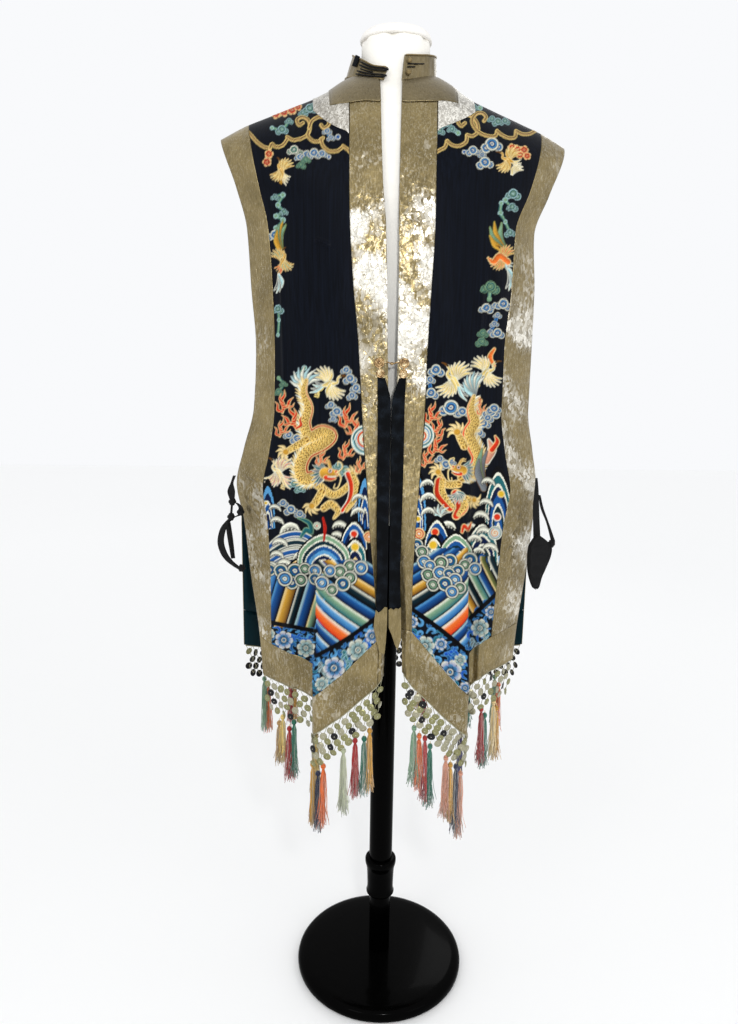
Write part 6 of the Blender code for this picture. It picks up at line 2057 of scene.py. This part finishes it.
class VEST_OT_yoke(bpy.types.Operator):
    """Builds the dull gold yoke round the neck and the crushed patches on both shoulders"""
    bl_idname = "vest.yoke"
    bl_label = "Yoke and shoulder patches"

    def execute(self, context):
        rows = spaced((0.0, 0.06, 4), (0.06, 1.0, 26))
        patch_rows = spaced((0.0, 0.03, 3), (0.03, 1.0, 60))
        patch_across = spaced((1.002, 1.34, 30))
        s, t = np.meshgrid(patch_across, patch_rows)
        for index, (side, crushed) in enumerate((("right", 0.58), ("left", 0.74))):
            shaped = narrowed(front_surface(side), patch_reach)
            place, _ = shaped(s, t)
            relief = crumple(place[..., 0], place[..., 2], 31 + index, 0.007) * 0.0003
            patch, total = shell("shoulder_patch_metal_" + side, shaped, patch_across, patch_rows,
                                 0.0007, [stuff("patch")], lift=0.0008, relief=relief, step=3)
            # The crushed share of each patch also sets how many glints are painted on it.
            mark_crush_and_glint(patch, np.full(s.shape, crushed), total)
            settle(patch, "shoulder_patch_" + side)
            hung_cloth(patch)
            shaped = narrowed(front_surface(side), yoke_reach)
            yoke, _ = shell("gold_yoke_" + side, shaped, spaced((0.0, 1.18, 30)), rows, 0.0007,
                            [stuff("yoke")], lift=0.0016, step=3)
            settle(yoke, "yoke_front_" + side)
            hung_cloth(yoke)
        shaped = narrowed(back_surface, back_yoke_reach)
        yoke, _ = shell("gold_yoke_back", shaped, spaced((-0.50, 0.50, 60)), rows, 0.0009,
                        [stuff("yoke")], lift=0.0026, step=3)
        settle(yoke, "yoke_back")
        hung_cloth(yoke)
        return {"FINISHED"}


def patch_reach(s):
    """How far down its front a shoulder patch reaches, as a share of the way to the hem seam."""
    return 0.118 - 0.080 * np.clip((s - 1.0) / 0.34, 0.0, 1.0) ** 1.2


def yoke_reach(s):
    """The same for the yoke on a front."""
    return np.interp(s, (0.0, 0.5, 0.95, 1.06, 1.18), (0.046, 0.052, 0.062, 0.060, 0.046))


def back_yoke_reach(s):
    """The same for the yoke on the back."""
    return 0.052 - 0.030 * np.clip(np.abs(s) / 0.5, 0.0, 1.0) ** 2


# Stand collar: angle from the front, base height, top height.
COLLAR = [
    (10.0, 1.5850, 1.6220), (30.0, 1.5890, 1.6250), (50.0, 1.5950, 1.6300), (70.0, 1.6010, 1.6350),
    (90.0, 1.6035, 1.6400), (112.0, 1.6040, 1.6450), (135.0, 1.6045, 1.6500), (158.0, 1.6045, 1.6530),
    (180.0, 1.6045, 1.6540), (202.0, 1.6045, 1.6530), (225.0, 1.6045, 1.6500), (248.0, 1.6040, 1.6450),
    (270.0, 1.6035, 1.6400), (290.0, 1.6000, 1.6310), (310.0, 1.5940, 1.6200), (330.0, 1.5880, 1.6080),
    (348.0, 1.5850, 1.6040),
]


def collar_point(angle, share, lift=0.0):
    """Places on the collar by angle from the front and share of its height."""
    a = np.radians(angle)
    front = np.cos(a) > 0.0
    reach = 0.0608 + (0.0670 - 0.0608) * smooth(np.cos(a) * 2.0 + 0.5)
    top_reach = reach - np.where(front, 0.005, 0.0025) * smooth(np.abs(np.cos(a)) * 4.0)
    low = np.stack([NECK_X + 0.0720 * np.sin(a), -reach * np.cos(a), column(COLLAR, 1, angle)], axis=-1)
    high = np.stack([0.0655 * np.sin(a) - 0.002, -top_reach * np.cos(a), column(COLLAR, 2, angle)], axis=-1)
    out = np.stack([np.sin(a), -np.cos(a), np.full(np.shape(a), 0.12)], axis=-1)
    out = out / np.linalg.norm(out, axis=-1)[..., None]
    share = np.asarray(share)[..., None]
    return low * (1.0 - share) + high * share + out * np.asarray(lift)[..., None], out


COLLAR_THICK = 0.0022
KNOT_RADIUS = 0.0034


def collar_wall():
    """The standing cloth of the collar: gives its points, its faces and its length along the middle."""
    angle, share = np.meshgrid(np.linspace(10.0, 348.0, 140), np.linspace(0.0, 1.0, 14))
    outer, out = collar_point(angle, share)
    wave = 0.0004 * np.sin(np.radians(angle) * 23.0) * np.sin(share * math.pi)
    outer = outer + out * wave[..., None]
    points, faces = plate(outer, outer - out * COLLAR_THICK)
    return points, faces, float(np.linalg.norm(np.diff(outer[7], axis=0), axis=1).sum())


def along_collar(first, last, share, lift, count):
    """A line round the collar between two angles, at one share of its height."""
    line, _ = collar_point(np.linspace(first, last, count), np.full(count, share), np.full(count, lift))
    return line


def tubes(name, lines, sides, finish_name):
    """One piece of cords along lines of (points, radius)."""
    points, faces, _ = tube_mesh(lines, sides)
    return mesh_piece(name, points, faces, [stuff(finish_name)])


class VEST_OT_collar(bpy.types.Operator):
    """Builds the stand collar with its corded edge, two cord loops and two knot buttons"""
    bl_idname = "vest.collar"
    bl_label = "Collar, loops and knot buttons"

    def execute(self, context):
        points, faces, length = collar_wall()
        collar = mesh_piece("stand_collar", points, faces, [stuff("yoke")])
        settle(collar, "collar")
        piping = [(along_collar(12.0, 346.0, share, lift, 120), 0.0011)
                  for share, lift in ((0.02, 0.0010), (0.985, 0.0006))]
        settle(tubes("collar_piping", piping, 6, "gold_thread"))
        for name, middle in (("upper", 0.76), ("lower", 0.26)):
            loops = [(along_collar(308.0, 344.0, middle + rise, 0.0019, 26), 0.0011)
                     for rise in (0.085, -0.085)]
            end = np.linspace(-1.0, 1.0, 12)
            turn = 344.0 + 6.0 * np.cos(end * math.pi / 2.0)
            line, _ = collar_point(turn, middle + 0.085 * end, np.full(12, 0.0020))
            loops.append((line, 0.0012))
            settle(tubes("cord_loop_" + name, loops, 7, "ribbon"), "collar_loop_" + name)
        ring = np.linspace(0.0, 2.0 * math.pi, 19)
        a = np.cos(ring) * KNOT_RADIUS
        b = np.sin(ring) * KNOT_RADIUS
        for name, share in (("upper", 0.74), ("lower", 0.28)):
            spot = collar_point(np.array([17.0]), np.array([share]), np.array([0.0026]))[0][0]
            strands = []
            for tilt in [k * math.pi / 5.0 for k in range(5)]:
                line = [spot[0] + a * math.cos(tilt), spot[1] - b * 0.7, spot[2] + a * math.sin(tilt)]
                strands.append((np.stack(line, axis=1), 0.0010))
            settle(tubes("knot_button_" + name, strands, 6, "gold_thread"), "collar_button_" + name)
        tab = []
        for share in (0.55, 1.08):
            ends = [collar_point(np.array([turn]), np.array([share]), np.array([0.0016]))[0][0]
                    for turn in (292.0, 303.0)]
            tab.append(tuple(ends))
        points, faces = ribbon_mesh(tab, 0.0012, 4, 3)
        settle(mesh_piece("collar_tab", points, faces, [stuff("velvet")]))
        braid = [(along_collar(low, high, share, 0.0009, 16), 0.0009)
                 for low, high, share in ((311.0, 331.0, 0.50), (15.0, 40.0, 0.62), (15.0, 26.0, 0.50))]
        settle(tubes("collar_black_braid", braid, 6, "ribbon"))
        return {"FINISHED"}


# From the middle of the back round to the middle of the face: rows are (share of the radius, height).
DISC_PROFILE = [
    (0.30, 0.0), (0.96, 0.0), (1.0, 0.0006), (0.97, 0.0016), (0.88, 0.0021), (0.80, 0.0016), (0.70, 0.0015),
    (0.62, 0.0022), (0.50, 0.0024), (0.42, 0.0017), (0.30, 0.0018), (0.18, 0.0026), (0.06, 0.0028),
]
DISC_SIDES = 48


def embossed_disc(cx, cz, radius, back):
    """A round boss with a lobed rim, which stands off a level at the back."""
    points = []
    faces = []
    for share, height in DISC_PROFILE:
        for k in range(DISC_SIDES):
            a = 2.0 * math.pi * k / DISC_SIDES
            lobe = 1.0 + (0.035 * math.cos(8.0 * a) if share > 0.85 else 0.05 * math.cos(8.0 * a) * share)
            points.append((cx + radius * share * lobe * math.sin(a), back - height,
                           cz + radius * share * lobe * math.cos(a)))
    for j in range(len(DISC_PROFILE) - 1):
        for k in range(DISC_SIDES):
            a = j * DISC_SIDES + k
            b = j * DISC_SIDES + (k + 1) % DISC_SIDES
            faces.append((a, b, b + DISC_SIDES, a + DISC_SIDES))
    faces.append(tuple(range(DISC_SIDES - 1, -1, -1)))
    faces.append(tuple(range(len(points) - DISC_SIDES, len(points))))
    points = np.array(points)
    return points, outward(points, faces)


# Discs of the clasp: x, height and radius.
CLASP_DISCS = {
    "right": [(-0.0254, 1.1655, 0.0080), (-0.0236, 1.1495, 0.0068)],
    "left": [(0.0126, 1.1655, 0.0080), (0.0116, 1.1495, 0.0068)],
}


class VEST_OT_clasp(bpy.types.Operator):
    """Builds the gilt clasp: two pairs of embossed discs joined by a hook"""
    bl_idname = "vest.clasp"
    bl_label = "Clasp"

    def execute(self, context):
        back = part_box("clasp_right")[1][1]
        ring = np.linspace(0.0, 2.0 * math.pi, 9)
        for side, discs in CLASP_DISCS.items():
            parts = [embossed_disc(cx, cz, radius, back) for cx, cz, radius in discs]
            for k in range(7):
                share = k / 6.0
                cx = discs[0][0] * (1 - share) + discs[1][0] * share
                cz = (discs[0][1] - 0.006) * (1 - share) + (discs[1][1] + 0.005) * share
                line = [cx + 0.0016 * np.cos(ring), np.full(9, back - 0.0016), cz + 0.0016 * np.sin(ring)]
                parts.append(tube_mesh([(np.stack(line, axis=1), 0.0005)], 5)[:2])
            points, faces = join_meshes(parts)
            settle(mesh_piece("gilt_disc_" + side, points, faces, [stuff("gilt")]), "clasp_" + side)
        start = CLASP_DISCS["right"][0][0] + 0.0074
        end = CLASP_DISCS["left"][0][0] - 0.0074
        z = CLASP_DISCS["right"][0][1]
        share = np.linspace(0.0, 1.0, 28)
        line = np.stack([start + (end - start) * share, np.full(28, back - 0.0016),
                         z + 0.0010 * np.sin(share * 9.0)], axis=1)
        radii = np.full(28, 0.0009)
        for middle, half, rise in ((0.5, 0.09, 0.0016), (0.18, 0.05, 0.0007), (0.82, 0.05, 0.0007)):
            radii = radii + rise * np.exp(-((share - middle) / half) ** 2)
        settle(tubes("gilt_hook", [(line, radii)], 12, "gilt"), "clasp_hook")
        return {"FINISHED"}


# How thick ribbon is, and how far forward the streamers' tips hang.
RIBBON_THICK = 0.0014
TIP_Y = -0.1632


def streamer_tip(outline):
    """A thin toothed end, raised a little to its middle."""
    total = len(outline)
    middle_x, middle_z = np.mean(np.array(outline), axis=0)
    points = np.array([(x, TIP_Y - 0.0010, z) for x, z in outline] + [(x, TIP_Y, z) for x, z in outline]
                      + [(middle_x, TIP_Y - 0.0016, middle_z), (middle_x, TIP_Y, middle_z)])
    faces = []
    for k in range(total):
        j = (k + 1) % total
        faces += [(k, j, total * 2), (j + total, k + total, total * 2 + 1), (k, k + total, j + total, j)]
    return points, outward(points, faces)


# Streamers: height, y, then left and right edge of each one.
STREAMERS = [
    (1.1427, -0.1382, -0.0280, -0.0165, 0.0055, 0.0160),
    (1.1250, -0.1420, -0.0275, -0.0110, -0.0010, 0.0150),
    (1.1000, -0.1450, -0.0272, -0.0074, -0.0055, 0.0142),
    (1.0000, -0.1500, -0.0270, -0.0074, -0.0056, 0.0140),
    (0.9000, -0.1560, -0.0262, -0.0076, -0.0060, 0.0125),
    (0.8400, -0.1590, -0.0250, -0.0078, -0.0058, 0.0118),
    (0.7660, -0.1620, -0.0262, -0.0086, -0.0050, 0.0136),
]


class VEST_OT_streamers(bpy.types.Operator):
    """Builds the two velvet streamers with their toothed gold tips"""
    bl_idname = "vest.streamers"
    bl_label = "Streamers"

    def execute(self, context):
        for side, first in (("right", 2), ("left", 4)):
            rows = [((r[first], r[1], r[0]), (r[first + 1], r[1], r[0])) for r in STREAMERS]
            points, faces = ribbon_mesh(rows, RIBBON_THICK, 14, 8, 0.0005)
            piece = mesh_piece("velvet_streamer_" + side, points, faces, [stuff("velvet")])
            settle(piece, "streamer_" + side)
            wide = max(abs(r[first + 1] - r[first]) for r in STREAMERS)
            points, faces = streamer_tip(TIPS[side])
            tip = mesh_piece("metal_tip_" + side, points, faces, [stuff("metal")], smooth_faces=False)
            settle(tip, "streamer_tip_" + side)
            wide, high = np.ptp(np.array(TIPS[side]), axis=0).tolist()
        return {"FINISHED"}


# Outlines of the metal cloth tips of the streamers: x and height, round from the upper left tooth.
TIPS = {
    "right": [(-0.0262, 0.7800), (-0.0215, 0.7755), (-0.0170, 0.7790), (-0.0120, 0.7850), (-0.0080, 0.7840),
              (-0.0078, 0.7560), (-0.0094, 0.7250), (-0.0110, 0.7060), (-0.0190, 0.7080), (-0.0250, 0.7300),
              (-0.0292, 0.7500), (-0.0280, 0.7660)],
    "left": [(-0.0058, 0.7800), (-0.0020, 0.7830), (0.0020, 0.7800), (0.0060, 0.7830), (0.0100, 0.7815),
             (0.0140, 0.7850), (0.0150, 0.7500), (0.0152, 0.7300), (0.0100, 0.7120), (0.0050, 0.7220),
             (0.0000, 0.7380), (-0.0050, 0.7500)],
}


# Ribbon ties at the hips: y, z and the two x edges, from the sewn end on.
TIE_ROWS = {
    "right": {
        "long": [(-0.0460, 0.9762, -0.2631, -0.2581), (-0.0470, 0.9636, -0.2674, -0.2624),
                 (-0.0480, 0.9501, -0.2726, -0.2600), (-0.0480, 0.9365, -0.2695, -0.2611),
                 (-0.0480, 0.9296, -0.2675, -0.2634), (-0.0480, 0.9090, -0.2693, -0.2654)],
        "tab": [(-0.0450, 0.9310, -0.2660, -0.2630), (-0.0450, 0.9280, -0.2590, -0.2540),
                (-0.0450, 0.9200, -0.2548, -0.2473), (-0.0455, 0.9100, -0.2560, -0.2480),
                (-0.0460, 0.9050, -0.2640, -0.2600)],
        "loop": [(-0.0460, 0.9060, -0.2667, -0.2587), (-0.0470, 0.9018, -0.2729, -0.2653),
                 (-0.0500, 0.8868, -0.2854, -0.2753), (-0.0530, 0.8649, -0.2906, -0.2796),
                 (-0.0560, 0.8465, -0.2864, -0.2747), (-0.0560, 0.8325, -0.2776, -0.2664),
                 (-0.0530, 0.8212, -0.2654, -0.2559), (-0.0480, 0.8127, -0.2543, -0.2474)],
        "inner": [(-0.0460, 0.8960, -0.2776, -0.2689), (-0.0470, 0.8740, -0.2752, -0.2659),
                  (-0.0480, 0.8533, -0.2721, -0.2637), (-0.0500, 0.8340, -0.2688, -0.2619)],
    },
    "left": {
        "long": [(-0.0460, 0.9759, 0.2493, 0.2527), (-0.0470, 0.9553, 0.2485, 0.2554),
                 (-0.0480, 0.9294, 0.2471, 0.2575), (-0.0490, 0.9033, 0.2483, 0.2596),
                 (-0.0500, 0.8700, 0.2506, 0.2628)],
        "loop": [(-0.0450, 0.9463, 0.2564, 0.2599), (-0.0460, 0.9238, 0.2609, 0.2661),
                 (-0.0480, 0.8997, 0.2714, 0.2757), (-0.0500, 0.8772, 0.2783, 0.2844),
                 (-0.0510, 0.8650, 0.2809, 0.2884), (-0.0520, 0.8560, 0.2770, 0.2840)],
        "inner": [(-0.0500, 0.8753, 0.2522, 0.2627), (-0.0530, 0.8672, 0.2458, 0.2737),
                  (-0.0550, 0.8570, 0.2408, 0.2821), (-0.0560, 0.8413, 0.2397, 0.2811),
                  (-0.0550, 0.8195, 0.2411, 0.2743), (-0.0530, 0.8028, 0.2450, 0.2688),
                  (-0.0500, 0.7856, 0.2519, 0.2662), (-0.0490, 0.7799, 0.2578, 0.2633)],
    },
}

# Knots of the ties: x, y and height.
TIE_KNOTS = {
    "right": [(-0.2675, -0.048, 0.906), (-0.2515, -0.046, 0.914), (-0.2515, -0.047, 0.816),
              (-0.2650, -0.047, 0.932)],
    "left": [(0.2570, -0.051, 0.872), (0.2820, -0.051, 0.862)],
}


def ribbon_cut(runs):
    """Width and length of the ribbon that all runs of a tie are made of, with the inner loops counted twice;
    the knots are not counted.
    """
    length = 0.0
    area = 0.0
    for name, rows in runs.items():
        for first, second in zip(rows, rows[1:]):
            ends = [(row[0], row[1], (row[2] + row[3]) / 2.0) for row in (first, second)]
            step = math.dist(*ends) * (2.0 if name == "inner" else 1.0)
            length += step
            area += step * (abs(first[3] - first[2]) + abs(second[3] - second[2])) / 2.0
    return area / length, length


class VEST_OT_ties(bpy.types.Operator):
    """Builds the black ribbon ties at both hips"""
    bl_idname = "vest.ties"
    bl_label = "Hip ties"

    def execute(self, context):
        ring = np.linspace(0.0, 2.0 * math.pi, 15)
        a = np.cos(ring) * 0.0042
        b = np.sin(ring) * 0.0050
        for side, runs in TIE_ROWS.items():
            parts = []
            for name, rows in runs.items():
                both = [((near, y, z), (far, y, z)) for y, z, near, far in rows]
                parts.append(ribbon_mesh(both, RIBBON_THICK, 8, 6, 0.0012))
                if name == "inner":
                    shifted = [((near + 0.002, y - 0.004, z), (far - 0.004, y - 0.005, z + 0.003))
                               for y, z, near, far in rows]
                    parts.append(ribbon_mesh(shifted, RIBBON_THICK, 8, 6, -0.0014))
            turns = []
            for x, y, z in TIE_KNOTS[side]:
                for tilt in (0.0, 0.9, 2.0):
                    line = [x + a * math.cos(tilt), y + b * 0.7, z + a * math.sin(tilt) + b * 0.3]
                    turns.append((np.stack(line, axis=1), 0.0026))
            settle(tubes("tie_knot_" + side, turns, 7, "ribbon"))
            points, faces = join_meshes(parts)
            piece = mesh_piece("ribbon_tie_" + side, points, faces, [stuff("ribbon")])
            settle(piece, "tie_" + side)
            wide, length = ribbon_cut(runs)
            max(wide, 0.0105)
        return {"FINISHED"}


# name, node, range of s, meshes of the CAD net, which way is out, and (mesh, s) of the point of the hem
FRINGES = (
    ("right", "fringe_front_right", (0.0, 3.0), 13, -1.0, (6, 1.485)),
    ("left", "fringe_front_left", (0.0, 3.0), 13, 1.0, (6, 1.485)),
    ("back", "fringe_back", (-2.0, 2.0), 19, -1.0, None),
)
NET_MARGIN = 0.004
NET_MESH = 0.0165
NET_REACH = 0.012
NET_CORD = 0.0005


def hem_line(name, s):
    """The lower edge of a front or of the back."""
    low = np.full(s.shape, 2.0)
    return back_point(s, low) if name == "back" else front_point(name, s, low)


TASSELS = {
    # place along the hem in whole meshes of the net, length, then two thread colours
    "right": [(1, 0.105, "gold", "green"), (2, 0.098, "red", "red"), (3, 0.112, "mint", "mint"),
              (5, 0.108, "orange", "navy"), (6, 0.110, "gold", "gold"), (8, 0.104, "straw", "cream"),
              (10, 0.100, "green", "red"), (11, 0.080, "straw", "sand")],
    "left": [(1, 0.098, "sage", "orange"), (2, 0.112, "red", "green"), (4, 0.104, "rose", "gold"),
             (5, 0.120, "navy", "rose"), (8, 0.108, "violet", "violet"), (10, 0.100, "red", "green"),
             (11, 0.100, "cream", "gold")],
    "back": [(1, 0.100, "sage", "orange"), (3, 0.104, "red", "gold"), (6, 0.100, "green", "cream"),
             (9, 0.106, "navy", "rose"), (12, 0.100, "gold", "red"), (15, 0.104, "cream", "green"),
             (17, 0.100, "sage", "orange")],
}


class VEST_OT_fringe(bpy.types.Operator):
    """Builds the three sequinned nets and their tassels"""
    bl_idname = "vest.fringe"
    bl_label = "Net fringe and tassels"

    def execute(self, context):
        for index, (name, node, reach, count, out_sign, tip) in enumerate(FRINGES):
            rng = np.random.default_rng(100 + index)
            s_values = np.linspace(reach[0], reach[1], 400)
            nodes = hem_line(name, s_values)
            lengths = np.concatenate([[0.0], np.cumsum(np.linalg.norm(np.diff(nodes, axis=0), axis=1))])
            total = lengths[-1]
            if tip is None:
                hooks = np.linspace(NET_MARGIN, total - NET_MARGIN, count + 1)
            else:
                middle = float(np.interp(tip[1], s_values, lengths))
                places = (NET_MARGIN, middle, total - NET_MARGIN)
                hooks = np.interp(np.arange(count + 1), (0, tip[0], count), places)
            steps = max(count, int(round(total / NET_MESH)))
            fine = np.interp(np.linspace(0.0, count, steps + 1), np.arange(count + 1), hooks)

            def spot(u, drop=0.0, aside=0.0):
                here, near, far = [
                    np.array([np.interp(at, lengths, nodes[:, k]) for k in range(3)])
                    for at in (u, u - NET_REACH, u + NET_REACH)
                ]
                along = far - near
                along[2] = 0.0
                along /= max(np.linalg.norm(along), 1e-9)
                out = np.cross(along, (0.0, 0.0, 1.0)) * out_sign
                return here + along * aside - np.array([0.0, 0.0, drop]) - out * 0.0007, along, out
            net_piece(name, node, spot, fine, rng)
            meshes = (hooks[:-1] + hooks[1:]) / 2.0
            ends = [(meshes[k], size, first, second) for k, size, first, second in TASSELS[name]]
            tassel_piece(name, spot, ends, rng)
        return {"FINISHED"}


def one_tint(count, colour, metal):
    """Rows of one colour, with the metal share as their fourth part."""
    rows = np.ones((count, 4))
    rows[:, :3] = THREADS[colour]
    rows[:, 3] = metal
    return rows


def net_cords(spot, fine, crossings):
    """The cords from hook to crossing and from row to row, and the rail that they hang from."""
    top = [spot(u, 0.0008)[0] for u in fine]
    cords = []
    for k, (place, _, _) in enumerate(crossings[0]):
        cords.append(([top[k], place], NET_CORD))
        cords.append(([top[k + 1], place], NET_CORD))
    for j in range(1, len(crossings)):
        upper = crossings[j - 1]
        for k, (place, _, _) in enumerate(crossings[j]):
            first = k if j % 2 else k - 1
            for m in (first, first + 1):
                if 0 <= m < len(upper):
                    cords.append(([upper[m][0], place], NET_CORD))
    rail = [spot(u, 0.0012)[0] for u in np.linspace(fine[0], fine[-1], 90)]
    cords.append((np.array(rail), 0.0010))
    return cords


def sequin(place, along, out, bead_size, rng):
    """A dished sequin turned a little at random, and the bead on its middle: gives two meshes."""
    yaw = rng.uniform(-0.35, 0.35)
    lean = rng.uniform(-0.25, 0.25)
    side = along * math.cos(yaw) + out * math.sin(yaw)
    up = np.array([0.0, 0.0, 1.0]) * math.cos(lean) + out * math.sin(lean)
    face = np.cross(side, up)
    face = face if face @ out > 0.0 else -face
    ring = np.linspace(0.0, 2.0 * math.pi, 13)[:-1]
    radius = rng.uniform(0.0058, 0.0068)
    centre = place + out * 0.0012
    flat = [centre + side * math.cos(a) * radius + up * math.sin(a) * radius for a in ring]
    inner = [centre + face * 0.0009 + (p - centre) * 0.55 for p in flat]
    rear = [p - face * 0.0004 for p in flat]
    points = np.array(flat + inner + rear + [centre + face * 0.0006, centre - face * 0.0004])
    faces = []
    for a in range(12):
        b = (a + 1) % 12
        faces += [(a, b, b + 12, a + 12), (a + 12, b + 12, 36), (b, a, a + 24, b + 24), (b + 24, a + 24, 37)]
    bead = centre + face * 0.0012
    ends = np.array([bead + way * bead_size for way in (side, up, -side, -up, face, -face)])
    bead_faces = [(0, 1, 4), (1, 2, 4), (2, 3, 4), (3, 0, 4), (1, 0, 5), (2, 1, 5), (3, 2, 5), (0, 3, 5)]
    return (points, outward(points, faces)), (ends, outward(ends, bead_faces))


# How far below the hem each row of the net hangs.
NET_DROPS = (0.0130, 0.0270, 0.0410, 0.0550)

# The course of a loose tassel thread: share of its length, distance from the middle, how far it strays.
SKIRT = (
    (0.0, 0.0016, 0.0), (0.10, 0.0044, 0.0006), (0.32, 0.0050, 0.0014),
    (0.58, 0.0054, 0.0018), (0.80, 0.0062, 0.0026), (1.0, 0.0074, 0.0044),
)
THREAD_RADIUS = 0.00054


def net_piece(name, node, spot, fine, rng):
    """Cords in a diamond net with a sequin and a bead on each crossing."""
    meshes = (fine[:-1] + fine[1:]) / 2.0
    rows = [meshes, fine[1:-1], meshes, fine[1:-1]]
    crossings = []
    for drop, row in zip(NET_DROPS, rows):
        line = []
        for u in row:
            line.append(spot(u, drop + rng.uniform(-0.0012, 0.0012), rng.uniform(-0.0012, 0.0012)))
        crossings.append(line)
    points, faces, _ = tube_mesh(net_cords(spot, fine, crossings), 4)
    parts = [(points, faces)]
    tints = [one_tint(len(points), "cord", 0.0)]
    for place, along, out in [crossing for line in crossings for crossing in line]:
        # Painted shade: most sequins of the back net are black, as that net hangs in shade; on the fronts
        # about one in eight is black.
        dark = rng.uniform() < (0.9 if name == "back" else 0.12)
        if dark:
            tone = "black"
        else:
            tone = "clear" if rng.uniform() < 0.5 else "olive"
        disc, bead = sequin(place, along, out, 0.0016 if name == "back" else 0.0008, rng)
        parts += [disc, bead]
        tints += [one_tint(len(disc[0]), tone, 0.35 if dark else 0.75), one_tint(len(bead[0]), "white", 0.0)]
    points, faces = join_meshes(parts)
    piece = mesh_piece("sequin_net_" + name, points, faces, [stuff("net")], smooth_faces=False)
    tint(piece, "laid", np.concatenate(tints))
    settle(piece, node)


def tassel_piece(name, spot, ends, rng):
    """Knotted heads and loose thread skirts in one joined piece; a tassel of two colours has two skirts."""
    lines = []
    tones = []
    down = np.array([0.0, 0.0, -1.0])
    white = np.array(THREADS["white"])
    ring = np.linspace(0.0, 2.0 * math.pi, 11)
    for u, size, first, second in ends:
        pairs = [(0.0, first)] if first == second else [(-0.0044, first), (0.0044, second)]
        for part, (aside, colour) in enumerate(pairs):
            base, along, out = spot(u, NET_DROPS[3] + 0.014 * part, aside)
            tone = np.array(THREADS[colour])
            lines.append(([base, base + down * 0.006], 0.0007))
            tones.append(np.array(THREADS["cream"]))
            for k in range(6):
                radius = 0.0036 * math.sin(math.pi * (k + 1.2) / 7.4)
                centre = base + down * (0.0055 + 0.0016 * k)
                coil = [centre + along * math.cos(a) * radius + out * math.sin(a) * radius for a in ring]
                lines.append((np.stack(coil), 0.0012))
                tones.append(tone * (0.8 if k % 2 else 1.1))
            head = base + down * 0.014
            reach = size + 0.004 - 0.006 * part
            for k in range(52 if len(pairs) == 2 else 84):
                angle = rng.uniform(0.0, 2.0 * math.pi)
                radius = math.sqrt(rng.uniform(0.04, 1.0))
                side = along * math.cos(angle) + out * math.sin(angle) * 0.8
                length = reach * rng.uniform(0.78, 1.0)
                drift = 0.0
                line = []
                for share, wide, stray in SKIRT:
                    drift += rng.uniform(-1.0, 1.0) * stray
                    place = head + down * length * share + side * (wide * radius)
                    line.append(place + along * drift + out * drift * 0.5)
                lines.append((np.array(line), THREAD_RADIUS))
                shade = tone * rng.uniform(0.65, 1.3)
                tones.append(shade * 0.45 + white * 0.42 if k % 6 == 5 else shade)
    points, faces, owner = tube_mesh(lines, 3)
    piece = mesh_piece("silk_tassels_" + name, points, faces, [stuff("tassel")])
    colours = np.ones((len(points), 4))
    colours[:, :3] = np.clip(np.array(tones)[owner], 0.0, 1.0)
    tint(piece, "laid", colours)
    settle(piece)


OPERATORS = (VEST_OT_stage, VEST_OT_form, VEST_OT_fronts, VEST_OT_front_bands, VEST_OT_back, VEST_OT_yoke,
             VEST_OT_collar, VEST_OT_clasp, VEST_OT_streamers, VEST_OT_ties, VEST_OT_fringe)


class VEST_PT_panel(bpy.types.Panel):
    """Lists the pieces of the vest and their sizes"""
    bl_idname = "VEST_PT_panel"
    bl_label = "Ceremonial vest"
    bl_space_type = "VIEW_3D"
    bl_region_type = "UI"
    bl_category = "Vest"

    def draw(self, context):
        for group in (context.scene.vest_sizes, context.scene.vest_colours):
            for name in group.__annotations__:
                self.layout.prop(group, name)
        for operator in OPERATORS:
            self.layout.operator(operator.bl_idname)


CLASSES = (VestSizes, VestColours) + OPERATORS + (VEST_PT_panel,)


def register():
    for item in CLASSES:
        bpy.utils.register_class(item)
    bpy.types.Scene.vest_sizes = bpy.props.PointerProperty(type=VestSizes)
    bpy.types.Scene.vest_colours = bpy.props.PointerProperty(type=VestColours)


def unregister():
    del bpy.types.Scene.vest_sizes
    del bpy.types.Scene.vest_colours
    for item in reversed(CLASSES):
        bpy.utils.unregister_class(item)


def main():
    """Builds every piece."""
    register()
    bpy.ops.vest.stage()
    bpy.ops.vest.form()
    bpy.ops.vest.fronts()
    bpy.ops.vest.front_bands()
    bpy.ops.vest.back()
    bpy.ops.vest.yoke()
    bpy.ops.vest.collar()
    bpy.ops.vest.clasp()
    bpy.ops.vest.streamers()
    bpy.ops.vest.ties()
    bpy.ops.vest.fringe()
    bpy.context.view_layer.update()


if __name__ == "__main__":
    main()
